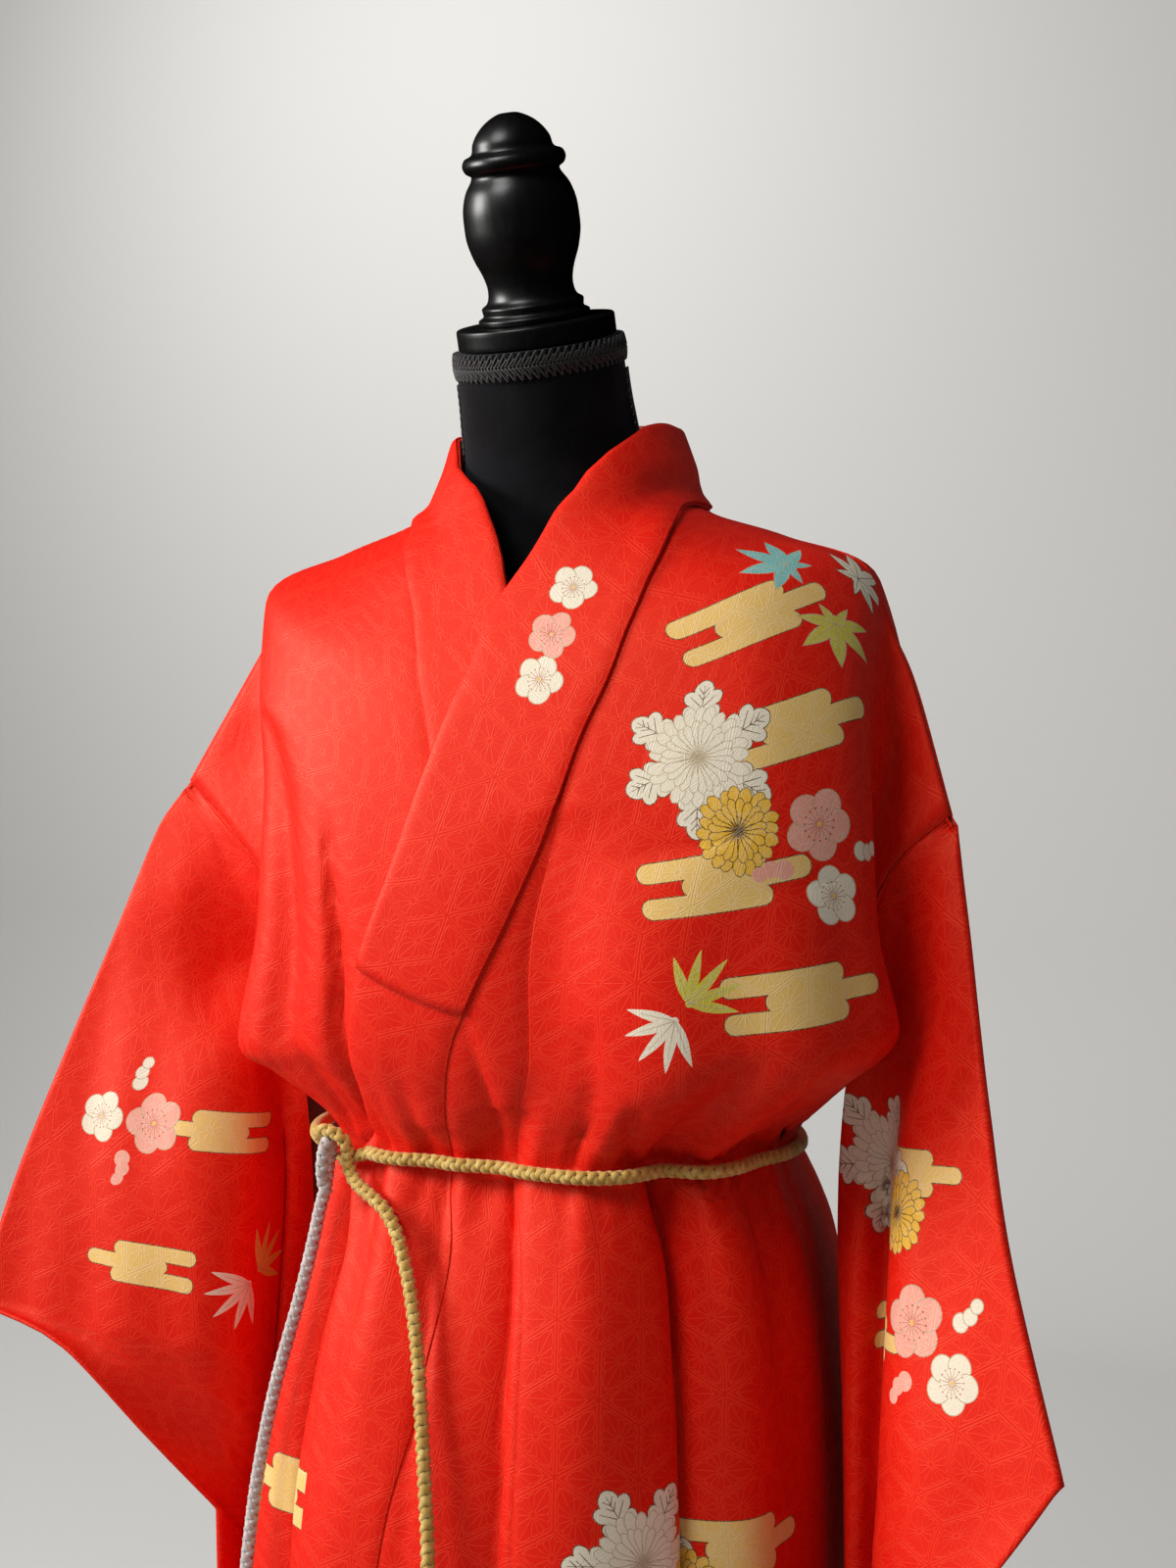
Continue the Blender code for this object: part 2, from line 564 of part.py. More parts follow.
LEFT_SLEEVE = (
    SleeveRow((0.2535, -0.0245, 1.2865), (0.254, -0.025), (0.2545, -0.025), (0.256, -0.026),
              (0.2585, -0.0265, 1.2835), (), (0.2575, -0.0245), (0.2555, -0.0240),
              (0.2540, -0.0230, 1.2865)),
    SleeveRow((0.2258, -0.0280, 1.2615), (0.234, -0.028), (0.243, -0.030), (0.254, -0.033),
              (0.262, -0.034, 1.262), (), (0.256, -0.022), (0.243, -0.010),
              (0.2285, -0.0060, 1.262)),
    SleeveRow((0.2065, -0.0225, 1.222), (0.221, -0.022), (0.238, -0.030), (0.256, -0.042),
              (0.270, -0.045, 1.222), (), (0.257, -0.022), (0.234, -0.004),
              (0.2090, 0.0060, 1.222)),
    SleeveRow((0.1965, -0.0130, 1.178), (0.214, -0.012), (0.235, -0.025), (0.256, -0.046),
              (0.278, -0.057, 1.178), (), (0.262, -0.024), (0.231, 0.002),
              (0.1965, 0.0120, 1.178)),
    SleeveRow((0.1870, -0.0090, 1.120), (0.206, -0.010), (0.222, -0.018), (0.238, -0.045),
              (0.287, -0.070, 1.132), (), (0.268, -0.028), (0.229, 0.010),
              (0.1850, 0.0180, 1.120)),
    SleeveRow((0.1830, -0.0060, 1.040), (0.201, -0.022), (0.213, -0.008), (0.231, -0.052),
              (0.303, -0.087, 1.056), (), (0.277, -0.034), (0.229, 0.018),
              (0.1820, 0.0400, 1.040)),
    SleeveRow((0.1870, -0.0090, 0.935), (0.202, -0.036), (0.214, -0.018), (0.230, -0.070),
              (0.335, -0.120, 0.965), (), (0.288, -0.046), (0.232, 0.020),
              (0.1850, 0.0450, 0.935)),
    SleeveRow((0.1890, -0.0110, 0.870), (0.204, -0.042), (0.215, -0.024), (0.229, -0.078),
              (0.314, -0.121, 0.910), (0.319, -0.084, 0.905), (0.281, -0.042), (0.232, 0.018),
              (0.1880, 0.0400, 0.870)),
    SleeveRow((0.1910, -0.0130, 0.810), (0.205, -0.044), (0.216, -0.028), (0.228, -0.080),
              (0.284, -0.112, 0.860), (0.290, -0.074, 0.855), (0.268, -0.038), (0.230, 0.014),
              (0.1920, 0.0300, 0.810)),
    SleeveRow((0.1950, 0.0000, 0.750), (0.206, -0.044), (0.217, -0.032), (0.228, -0.078),
              (0.262, -0.096, 0.810), (), (0.256, -0.036), (0.228, 0.010), ()),
    SleeveRow((0.2000, -0.0050, 0.620), (0.208, -0.042), (0.218, -0.034), (0.227, -0.070),
              (0.246, -0.078, 0.680), (), (0.244, -0.034), (0.225, 0.006), ()),
    SleeveRow((0.2060, -0.0120, 0.480), (0.211, -0.036), (0.218, -0.032), (0.225, -0.054),
              (0.237, -0.056, 0.520), (), (0.235, -0.030), (0.220, -0.004), ()),
    SleeveRow((0.2130, -0.0260, 0.415), (0.216, -0.031), (0.220, -0.032), (0.225, -0.038),
              (0.231, -0.040, 0.430), (), (0.226, -0.036), (0.219, -0.030), ()),
)
RIGHT_SLEEVE = (
    SleeveRow((-0.2705, -0.0195, 1.3015), (-0.271, -0.020), (-0.2715, -0.020), (-0.273, -0.021),
              (-0.2755, -0.0215, 1.2985), (), (-0.2745, -0.0195), (-0.2725, -0.0190),
              (-0.2710, -0.0180, 1.3015)),
    SleeveRow((-0.2338, -0.0280, 1.2715), (-0.246, -0.026), (-0.259, -0.027), (-0.273, -0.029),
              (-0.283, -0.030, 1.275), (), (-0.275, -0.018), (-0.257, -0.008),
              (-0.2365, -0.0060, 1.272)),
    SleeveRow((-0.2035, -0.0245, 1.235), (-0.222, -0.024), (-0.245, -0.030), (-0.270, -0.039),
              (-0.293, -0.042, 1.237), (), (-0.275, -0.018), (-0.243, -0.002),
              (-0.2060, 0.0060, 1.235)),
    SleeveRow((-0.1925, -0.0170, 1.185), (-0.211, -0.014), (-0.238, -0.026), (-0.268, -0.045),
              (-0.307, -0.056, 1.187), (), (-0.280, -0.020), (-0.238, 0.004),
              (-0.1930, 0.0120, 1.185)),
    SleeveRow((-0.1860, -0.0120, 1.110), (-0.196, -0.012), (-0.203, -0.018), (-0.214, -0.046),
              (-0.324, -0.074, 1.128), (), (-0.286, -0.026), (-0.236, 0.012),
              (-0.1840, 0.0190, 1.110)),
    SleeveRow((-0.1850, -0.0050, 1.030), (-0.193, -0.022), (-0.199, -0.012), (-0.203, -0.052),
              (-0.347, -0.097, 1.046), (), (-0.300, -0.036), (-0.240, 0.018),
              (-0.1860, 0.0360, 1.030)),
    SleeveRow((-0.1920, -0.0040, 0.920), (-0.199, -0.026), (-0.204, -0.014), (-0.206, -0.056),
              (-0.370, -0.120, 0.965), (), (-0.312, -0.046), (-0.246, 0.020),
              (-0.1920, 0.0420, 0.920)),
    SleeveRow((-0.1950, -0.0050, 0.860), (-0.201, -0.028), (-0.206, -0.016), (-0.209, -0.056),
              (-0.300, -0.119, 0.944), (-0.318, -0.082, 0.938), (-0.286, -0.044), (-0.243, 0.018),
              (-0.1950, 0.0380, 0.860)),
    SleeveRow((-0.1970, -0.0060, 0.805), (-0.203, -0.028), (-0.208, -0.018), (-0.211, -0.054),
              (-0.252, -0.102, 0.893), (-0.272, -0.066), (-0.260, -0.036), (-0.238, 0.012),
              (-0.1980, 0.0280, 0.805)),
    SleeveRow((-0.2000, 0.0000, 0.750), (-0.205, -0.028), (-0.210, -0.018), (-0.213, -0.052),
              (-0.230, -0.080, 0.840), (), (-0.246, -0.030), (-0.234, 0.008), ()),
    SleeveRow((-0.2040, -0.0040, 0.620), (-0.208, -0.028), (-0.213, -0.020), (-0.217, -0.050),
              (-0.234, -0.066, 0.700), (), (-0.246, -0.028), (-0.232, 0.004), ()),
    SleeveRow((-0.2100, -0.0080, 0.480), (-0.213, -0.026), (-0.217, -0.022), (-0.221, -0.042),
              (-0.235, -0.050, 0.530), (), (-0.238, -0.026), (-0.226, -0.002), ()),
    SleeveRow((-0.2150, -0.0200, 0.415), (-0.217, -0.026), (-0.219, -0.028), (-0.223, -0.034),
              (-0.230, -0.036, 0.430), (), (-0.228, -0.030), (-0.220, -0.024), ()),
)
SLEEVE_COLUMNS = 9
LINING_COLUMNS = 5
LINING_TOP = 1.13          # only rows lower than this carry the lining strip
LINING_GAP = 0.0034


def sloped(start, middle, end):
    """Points from start through the middle places to end, with heights spread evenly."""
    flat = np.array([start[:2], *middle, end[:2]])
    along = np.concatenate([[0], np.cumsum(np.linalg.norm(np.diff(flat, axis=0), axis=1))])
    height = start[2] + (end[2] - start[2]) * along / along[-1]
    return np.column_stack([flat, height])


def sleeve_runs(row):
    """Front and back run of one sleeve row, each from the body side to the outer side."""
    back_outer = row.back_outer or row.outer
    if len(back_outer) == 2:
        back_outer = (*back_outer, row.outer[2] - 0.005)
    back_inner = row.back_inner or row.inner
    front = sloped(row.inner, (row.flute, row.valley, row.fold), row.outer)
    back = sloped(back_inner, (row.back_flute, row.back_mid), back_outer)
    return smooth_path(front, SLEEVE_COLUMNS), smooth_path(back, SLEEVE_COLUMNS)


def sleeve(name, table):
    """A sleeve bag: folded along its outer ridge, open at the cuff and beside the body."""
    points, index, faces = [], {}, []
    last = len(table) - 1
    for i, row in enumerate(table):
        front, back = sleeve_runs(row)
        for j in range(SLEEVE_COLUMNS):
            index["front", i, j] = len(points)
            points.append(front[j])
        for j in range(SLEEVE_COLUMNS):
            shut_outer = j == SLEEVE_COLUMNS - 1 and not row.back_outer
            shut_inner = j == 0 and not row.back_inner
            if i == last or shut_outer or shut_inner:
                index["back", i, j] = index["front", i, j]
                continue
            index["back", i, j] = len(points)
            points.append(back[j])
    for i in range(last):
        for j in range(SLEEVE_COLUMNS - 1):
            corners = ((i, j), (i + 1, j), (i + 1, j + 1), (i, j + 1))
            faces.append([index["front", *corner] for corner in corners])
            faces.append([index["back", *corner] for corner in corners][::-1])
    if table is RIGHT_SLEEVE:
        faces = [face[::-1] for face in faces]
    wall(name, points, faces, SLEEVE_CLOTH, RED, 0.5)


def sleeve_lining(name, table):
    """The strip of lining along a sleeve's open inner edge, laid on the inside of its back layer."""
    rows = [row for row in table if row.back_inner and row.back_inner[2] < LINING_TOP]
    points = []
    for row in rows:
        back = sleeve_runs(row)[1][:LINING_COLUMNS]
        inward = np.cross(back[-1] - back[0], (0.0, 0.0, 1.0))
        inward *= -np.sign(inward[1]) / np.linalg.norm(inward)
        points += [*(back + inward * LINING_GAP)]
    faces = [quad(i, j, LINING_COLUMNS)
             for i in range(len(rows) - 1) for j in range(LINING_COLUMNS - 1)]
    if table is RIGHT_SLEEVE:
        faces = [face[::-1] for face in faces]
    wall(name, points, faces, LINING_CLOTH, ROSE, 0.5)


def sleeves():
    """Both sleeves and the lining that shows in them."""
    sleeve("sleeve_left", LEFT_SLEEVE)
    sleeve("sleeve_right", RIGHT_SLEEVE)
    sleeve_lining("sleeve_lining_left", LEFT_SLEEVE)
    sleeve_lining("sleeve_lining_right", RIGHT_SLEEVE)


# Cord belt

# Hand-chosen route of each tail from the knot down, metres
SILVER_ROUTE = (
    (-0.1120, -0.1040, 1.0600), (-0.1150, -0.1045, 1.0500), (-0.1178, -0.1065, 1.0340),
    (-0.1205, -0.1105, 1.0150), (-0.1240, -0.1150, 0.9940), (-0.1285, -0.1190, 0.9730),
    (-0.1335, -0.1220, 0.9520), (-0.1375, -0.1255, 0.9300), (-0.1405, -0.1295, 0.9070),
    (-0.1425, -0.1340, 0.8830), (-0.1430, -0.1390, 0.8590), (-0.1430, -0.1440, 0.8350),
)
GOLD_ROUTE = (
    (-0.0790, -0.1205, 1.0680), (-0.0680, -0.1255, 1.0640), (-0.0560, -0.1295, 1.0580),
    (-0.0470, -0.1330, 1.0490), (-0.0395, -0.1370, 1.0360), (-0.0325, -0.1415, 1.0210),
    (-0.0260, -0.1470, 1.0030), (-0.0200, -0.1528, 0.9830), (-0.0150, -0.1586, 0.9610),
    (-0.0100, -0.1645, 0.9380), (-0.0055, -0.1697, 0.9140), (-0.0015, -0.1740, 0.8890),
    (0.0010, -0.1778, 0.8630), (0.0025, -0.1813, 0.8360), (0.0035, -0.1850, 0.8090),
    (0.0040, -0.1890, 0.7820), (0.0045, -0.1935, 0.7550),
)
GOLD = (0.60, 0.42, 0.12)
SILVER = (0.62, 0.60, 0.56)
STRAND_ROWS = 5
TASSEL_RADIUS, TASSEL_HEAD, TASSEL_LENGTH, TASSEL_SPREAD = 0.0080, 0.014, 0.064, 1.6


def cord(name, points, colour):
    """A round cord along its points: a curve with a bevel and filled caps."""
    curve = bpy.data.curves.new(name, "CURVE")
    curve.dimensions = "3D"
    curve.bevel_depth = CORD_DIAMETER / 2
    curve.bevel_resolution = 2
    curve.use_fill_caps = True
    spline = curve.splines.new("POLY")
    spline.points.add(len(points) - 1)
    for target, point in zip(spline.points, points):
        target.co = (*point, 1.0)
    curve.materials.append(finish(name, colour, 0.45))
    item = bpy.data.objects.new(name, curve)
    bpy.context.collection.objects.link(item)


def belt_point(bearing):
    """Centre of the cord round the waist at a bearing."""
    out = BAND + CLOTH + CORD_CLEAR + CORD_DIAMETER / 2
    point = shell(LEVEL_BELT, bearing, wrap=True)
    waist = LEVELS[LEVEL_BELT]
    outward = np.array([point[0] / waist.left[0] ** 2, point[1] / waist.front_y ** 2, 0.0])
    point = point + outward / np.linalg.norm(outward) * out
    return np.array([point[0], point[1], waist.front_z])


def rounded_lump(name, centre, half, colour):
    """A small knot: an icosphere stretched to its half sizes."""
    mesh = bpy.data.meshes.new(name)
    shape = bmesh.new()
    bmesh.ops.create_icosphere(shape, subdivisions=2, radius=1.0)
    bmesh.ops.scale(shape, vec=half, verts=shape.verts)
    bmesh.ops.translate(shape, vec=centre, verts=shape.verts)
    shape.to_mesh(mesh)
    shape.free()
    mesh.shade_smooth()
    add_object(name, mesh, colour, 0.45)


def tassel(name, top, colour):
    """A tassel: strands fused into the underside of a domed head and hanging apart."""
    shape = bmesh.new()
    half = TASSEL_RADIUS
    bmesh.ops.create_grid(shape, x_segments=STRAND_ROWS, y_segments=STRAND_ROWS, size=half * 0.8)
    for vertex in shape.verts:
        x, y = vertex.co.x / (half * 0.8), vertex.co.y / (half * 0.8)
        vertex.co.x = half * x * math.sqrt(1 - y * y / 2)
        vertex.co.y = half * y * math.sqrt(1 - x * x / 2)
    strands = list(shape.faces)
    rim = [edge for edge in shape.edges if edge.is_boundary]
    for height, scale in ((0.005, 1.05), (0.010, 0.85), (TASSEL_HEAD, 0.45)):
        made = bmesh.ops.extrude_edge_only(shape, edges=rim)["geom"]
        ring = [item for item in made if isinstance(item, bmesh.types.BMVert)]
        rim = [item for item in made if isinstance(item, bmesh.types.BMEdge)]
        for vertex in ring:
            flat = Vector((vertex.co.x, vertex.co.y, 0.0)).normalized() * half * scale
            vertex.co = (flat.x, flat.y, height)
    bmesh.ops.contextual_create(shape, geom=rim)
    bmesh.ops.inset_individual(shape, faces=strands, thickness=half * 0.055, depth=0.0)
    bmesh.ops.recalc_face_normals(shape, faces=shape.faces)
    for face in bmesh.ops.extrude_discrete_faces(shape, faces=strands)["faces"]:
        centre = face.calc_center_median()
        for vertex in face.verts:
            offset = vertex.co - centre
            vertex.co = Vector((centre.x * TASSEL_SPREAD, centre.y * TASSEL_SPREAD, -TASSEL_LENGTH))
            vertex.co += Vector((offset.x, offset.y, 0.0))
    bmesh.ops.recalc_face_normals(shape, faces=shape.faces)
    shape.transform(Matrix.Translation(top) @ Matrix.Translation((0, 0, -TASSEL_HEAD)))
    mesh = bpy.data.meshes.new(name)
    shape.to_mesh(mesh)
    shape.free()
    add_object(name, mesh, colour, 0.5)


def belt():
    """The cord round the waist, its knot, and its two tails with their tassels."""
    start, end = KNOT_BEARING + KNOT_SPAN, KNOT_BEARING + 360 - KNOT_SPAN
    round_ = [belt_point(bearing if bearing <= 180 else bearing - 360)
              for bearing in np.linspace(start, end, BELT_POINTS)]
    cord("belt_round", round_, GOLD)
    centre = belt_point(KNOT_BEARING)
    outward = np.array([centre[0], centre[1], 0.0]) / np.hypot(centre[0], centre[1])
    centre = centre + outward * KNOT_OUT - (0.0, 0.0, KNOT_DOWN)
    rounded_lump("belt_knot", centre, KNOT_SIZE, GOLD)
    for name, route, colour in (("silver", SILVER_ROUTE, SILVER), ("gold", GOLD_ROUTE, GOLD)):
        cord(f"tail_{name}", smooth_path(route, len(route) + 3), colour)
        end = Vector(route[-1]) - Vector((0, 0, 2 * TOUCH))
        tassel(f"tassel_{name}", end, colour)


# Dress form

class Section(NamedTuple):
    """One ring of the dress form: height, centre, half width, front and back depth, tilt."""
    height: float
    centre_y: float
    half_width: float
    front: float
    back: float
    tilt: float


TORSO = (
    Section(0.820, 0.000, 0.146, 0.112, 0.105, 0.0),
    Section(0.880, 0.000, 0.152, 0.115, 0.108, 0.0),
    Section(1.000, 0.000, 0.138, 0.100, 0.098, 0.0),
    Section(1.085, 0.000, 0.120, 0.090, 0.086, 0.0),
    Section(1.160, 0.000, 0.128, 0.100, 0.092, 0.0),
    Section(1.240, 0.000, 0.143, 0.117, 0.096, 0.0),
    Section(1.300, 0.000, 0.150, 0.119, 0.098, 0.0),
    Section(1.350, 0.000, 0.162, 0.103, 0.098, 0.0),
    Section(1.385, 0.000, 0.183, 0.088, 0.090, 0.0),
    Section(1.405, 0.000, 0.187, 0.078, 0.082, 0.0),
    Section(1.420, 0.000, 0.180, 0.070, 0.074, 0.0),
    Section(1.433, 0.000, 0.160, 0.062, 0.067, 0.0),
    Section(1.445, 0.000, 0.134, 0.056, 0.062, 0.0),
    Section(1.456, 0.000, 0.106, 0.053, 0.058, 0.0),
    Section(1.470, -0.003, 0.078, 0.051, 0.056, 0.0),
    Section(1.495, -0.012, 0.060, 0.050, 0.053, 4.0),
    Section(1.535, -0.026, 0.0520, 0.0492, 0.0492, 13.0),
    Section(1.5775, -0.0389, 0.0505, 0.0480, 0.0480, 17.5),
)
TORSO_SIDES = 24
TORSO_ROUND = 2.2


def loft(name, rings, colour, roughness, metallic=0.0):
    """A closed solid through rings of points listed bottom to top, counterclockwise from above."""
    mesh = bpy.data.meshes.new(name)
    count = len(rings[0])
    faces = [(k * count + j, k * count + (j + 1) % count, (k + 1) * count + (j + 1) % count,
              (k + 1) * count + j) for k in range(len(rings) - 1) for j in range(count)]
    top = (len(rings) - 1) * count
    faces += [tuple(range(count))[::-1], tuple(range(top, top + count))]
    mesh.from_pydata([tuple(point) for ring in rings for point in ring], [], faces)
    mesh.shade_smooth()
    mesh.set_sharp_from_angle(angle=math.radians(40))
    return add_object(name, mesh, colour, roughness, metallic)


def turned(name, profile, sides, colour, roughness, place=None):
    """A turned solid from (radius, height) pairs listed bottom to top, put in its place."""
    turn = 2 * math.pi / sides
    rings = [[Vector((radius * math.cos(turn * j), radius * math.sin(turn * j), height))
              for j in range(sides)] for radius, height in profile]
    if place:
        rings = [[place @ point for point in ring] for ring in rings]
    return loft(name, rings, colour, roughness)


def sleeve_ring(name, inner, outer, low, high, sides, colour, roughness, place):
    """A turned band with a bore, such as the braid round the neck."""
    turn = 2 * math.pi / sides
    profile = ((inner, low), (outer, low + 0.001), (outer + 0.0008, (low + high) / 2),
               (outer, high - 0.001), (inner, high))
    count = len(profile)
    points = [place @ Vector((radius * math.cos(turn * j), radius * math.sin(turn * j), height))
              for j in range(sides) for radius, height in profile]
    faces = [(j * count + k, ((j + 1) % sides) * count + k, ((j + 1) % sides) * count + (k + 1) % count,
              j * count + (k + 1) % count) for j in range(sides) for k in range(count)]
    mesh = bpy.data.meshes.new(name)
    mesh.from_pydata([tuple(point) for point in points], [], faces)
    return add_object(name, mesh, colour, roughness)


FINIAL = ((0.0335, 0.0), (0.0345, 0.003), (0.0310, 0.006), (0.0315, 0.010), (0.0280, 0.013),
          (0.0262, 0.021), (0.0275, 0.028), (0.0325, 0.041), (0.0352, 0.055), (0.0350, 0.066),
          (0.0318, 0.079), (0.0268, 0.088), (0.0300, 0.0905), (0.0315, 0.0945), (0.0300, 0.0985),
          (0.0252, 0.1010), (0.0235, 0.107), (0.0180, 0.115), (0.0105, 0.1205), (0.0035, 0.1228))
FINIAL_SIDES = 16


def dress_form():
    """Torso, neck braid, cap, finial, pole and base, bottom to top."""
    rings = []
    for section in TORSO:
        turn = np.linspace(0, 2 * np.pi, TORSO_SIDES, endpoint=False)
        across = np.sign(np.cos(turn)) * np.abs(np.cos(turn)) ** (2 / TORSO_ROUND)
        deep = np.sign(np.sin(turn)) * np.abs(np.sin(turn)) ** (2 / TORSO_ROUND)
        y = deep * np.where(deep < 0, section.front, section.back)
        slope = math.tan(math.radians(section.tilt))
        rings.append(np.stack([across * section.half_width, section.centre_y + y,
                               section.height + y * slope], -1))
    loft("form_torso", rings, BLACK, 0.9)
    lean = Matrix.Rotation(LEAN, 4, "X")
    cap = Matrix.Translation(CAP_CENTRE) @ lean
    half = CAP_THICK / 2
    turned("form_cap", ((CAP_RADIUS - 0.001, TOUCH - half), (CAP_RADIUS, 0.0015 - half),
                        (CAP_RADIUS, half - 0.0015), (CAP_RADIUS - 0.001, half)),
           28, BLACK, 0.3, cap)
    turned("form_finial", FINIAL, FINIAL_SIDES, BLACK, 0.3,
           cap @ Matrix.Translation((0, 0, half + TOUCH)))
    sleeve_ring("form_braid", 0.0528, 0.0542, -0.0205, -0.0072, 28, BLACK, 0.7, cap)
    pole_top = TORSO[0].height - TOUCH
    turned("form_pole", ((POLE_RADIUS, BASE_HEIGHT + TOUCH), (POLE_RADIUS, pole_top)), 12,
           BLACK, 0.35)
    turned("form_base", ((BASE_RADIUS - 0.004, 0.0), (BASE_RADIUS, 0.004), (BASE_RADIUS, 0.018),
                         (BASE_RADIUS - 0.010, 0.024), (0.060, 0.030), (0.030, 0.036),
                         (0.026, BASE_HEIGHT)), 32, BLACK, 0.35)


def centre_part():
    """Moves the part so that its box without the cords is centred on the origin, base at 0."""
    bpy.context.view_layer.update()
    depsgraph = bpy.context.evaluated_depsgraph_get()
    corners = []
    for item in bpy.data.objects:
        if not item.name.startswith(CORD_NAMES):
            mesh = item.evaluated_get(depsgraph).to_mesh()
            corners += [vertex.co.copy() for vertex in mesh.vertices]
    corners = np.array(corners)
    low, high = corners.min(axis=0), corners.max(axis=0)
    shift = Matrix.Translation((-(low[0] + high[0]) / 2, -(low[1] + high[1]) / 2, -low[2]))
    for item in bpy.data.objects:
        item.data.transform(shift)


def main():
    """Builds the kimono and the dress form."""
    clear_scene()
    body()
    sleeves()
    belt()
    dress_form()
    centre_part()


main()
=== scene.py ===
"""Looks of a silk kimono, wrapped left over right and corded, on a limbless dress form.

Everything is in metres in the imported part's frame: +Z up, the garment's front faces -Y and the
wearer's left is +X. A place on the body cloth is a level, 0 at the neckband's top and 17 at the
hem, and a bearing in degrees, 0 at the centre front and 90 at the left side. Each cloth piece is
a dense grid worked out from those two numbers. Its flat length and width, in metres, are its UV
map, so weave and painting keep their real size on it.
"""
from __future__ import annotations

import logging
import math
from collections.abc import Callable, Iterable, Sequence
from dataclasses import dataclass, field
from enum import Enum
from typing import NamedTuple

import bmesh
import bpy
import numpy as np
from mathutils import Matrix, Vector
from mathutils.geometry import delaunay_2d_cdt

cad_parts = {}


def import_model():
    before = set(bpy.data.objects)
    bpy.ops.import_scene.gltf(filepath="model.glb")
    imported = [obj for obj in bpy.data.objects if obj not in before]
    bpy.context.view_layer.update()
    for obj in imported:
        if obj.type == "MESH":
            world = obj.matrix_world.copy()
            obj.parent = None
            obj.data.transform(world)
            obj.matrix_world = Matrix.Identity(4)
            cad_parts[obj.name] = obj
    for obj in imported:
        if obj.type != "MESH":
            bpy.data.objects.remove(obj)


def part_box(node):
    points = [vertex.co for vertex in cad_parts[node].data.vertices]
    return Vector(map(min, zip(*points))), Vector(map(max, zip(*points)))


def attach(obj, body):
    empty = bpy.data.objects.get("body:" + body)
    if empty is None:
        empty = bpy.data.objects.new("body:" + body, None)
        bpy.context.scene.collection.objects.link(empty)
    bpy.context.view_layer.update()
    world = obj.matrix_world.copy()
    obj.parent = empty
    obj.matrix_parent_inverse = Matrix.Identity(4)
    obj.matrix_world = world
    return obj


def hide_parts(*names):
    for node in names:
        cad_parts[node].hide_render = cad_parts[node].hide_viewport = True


LOG = logging.getLogger("kimono")
Array = np.ndarray
Colour = tuple[float, float, float]

CLOTH = 0.0016
BAND = 0.0022
OVER = 0.0016
SLEEVE_CLOTH = 0.0014
LINING_CLOTH = 0.0010
LINING_GAP = 0.0034
LINING_TOP = 1.13
SEAM_GAP = 0.0005
WRAP = 0.0070
WRAP_FULL, WRAP_NONE = 45.0, 75.0
FRONT_ROUND, BACK_ROUND = 2.35, 2.40
LEVEL_NECK, LEVEL_BELT = 2.0, 11
LEVEL_OVERLAP_TOP, LEVEL_BAND_END, LEVEL_OVER_COLLAR_END = 5.0, 15.4, 7.5
SIDE_TOP, SIDE_END = 4.0, 10.0
CORD_DIAMETER = 0.009
CORD_CLEAR = 0.0010
KNOT_BEARING = -34.0
KNOT_OUT, KNOT_DOWN, KNOT_SPAN = 0.0085, 0.006, 8.0
LEAN = math.radians(17.5)
CAP_CENTRE = (0.0, -0.041, 1.584)
CAP_RADIUS, CAP_THICK = 0.0490, 0.013
POLE_RADIUS, BASE_RADIUS, BASE_HEIGHT = 0.014, 0.175, 0.045


class Slot(Enum):
    """Material slots of the part."""

    SILK = "silk"
    LINING = "lining"
    CORD_GOLD = "cord_gold"
    CORD_SILVER = "cord_silver"
    VELVET = "velvet"
    TRIM = "trim"
    BLACK_WOOD = "black_wood"
    BLACK_METAL = "black_metal"


class Level(NamedTuple):
    """Sizes of one level ring: the centre front, the centre back and the four side folds."""
    name: str
    front_y: float
    front_z: float
    back_y: float
    back_z: float
    left: tuple
    right: tuple
    left_back: tuple
    right_back: tuple


def even(name, front_y, front_z, back_y, back_z, x, y, z):
    """A level whose sides are alike and where front and back meet at the side."""
    left, right = (x, y, z), (-x, y, z)
    return Level(name, front_y, front_z, back_y, back_z, left, right, left, right)


def skirt(name, front_y, back_y, left_x, right_x, z):
    """A flat level of the skirt."""
    left, right = (left_x, 0.0, z), (-right_x, 0.0, z)
    return Level(name, front_y, z, back_y, z, left, right, left, right)


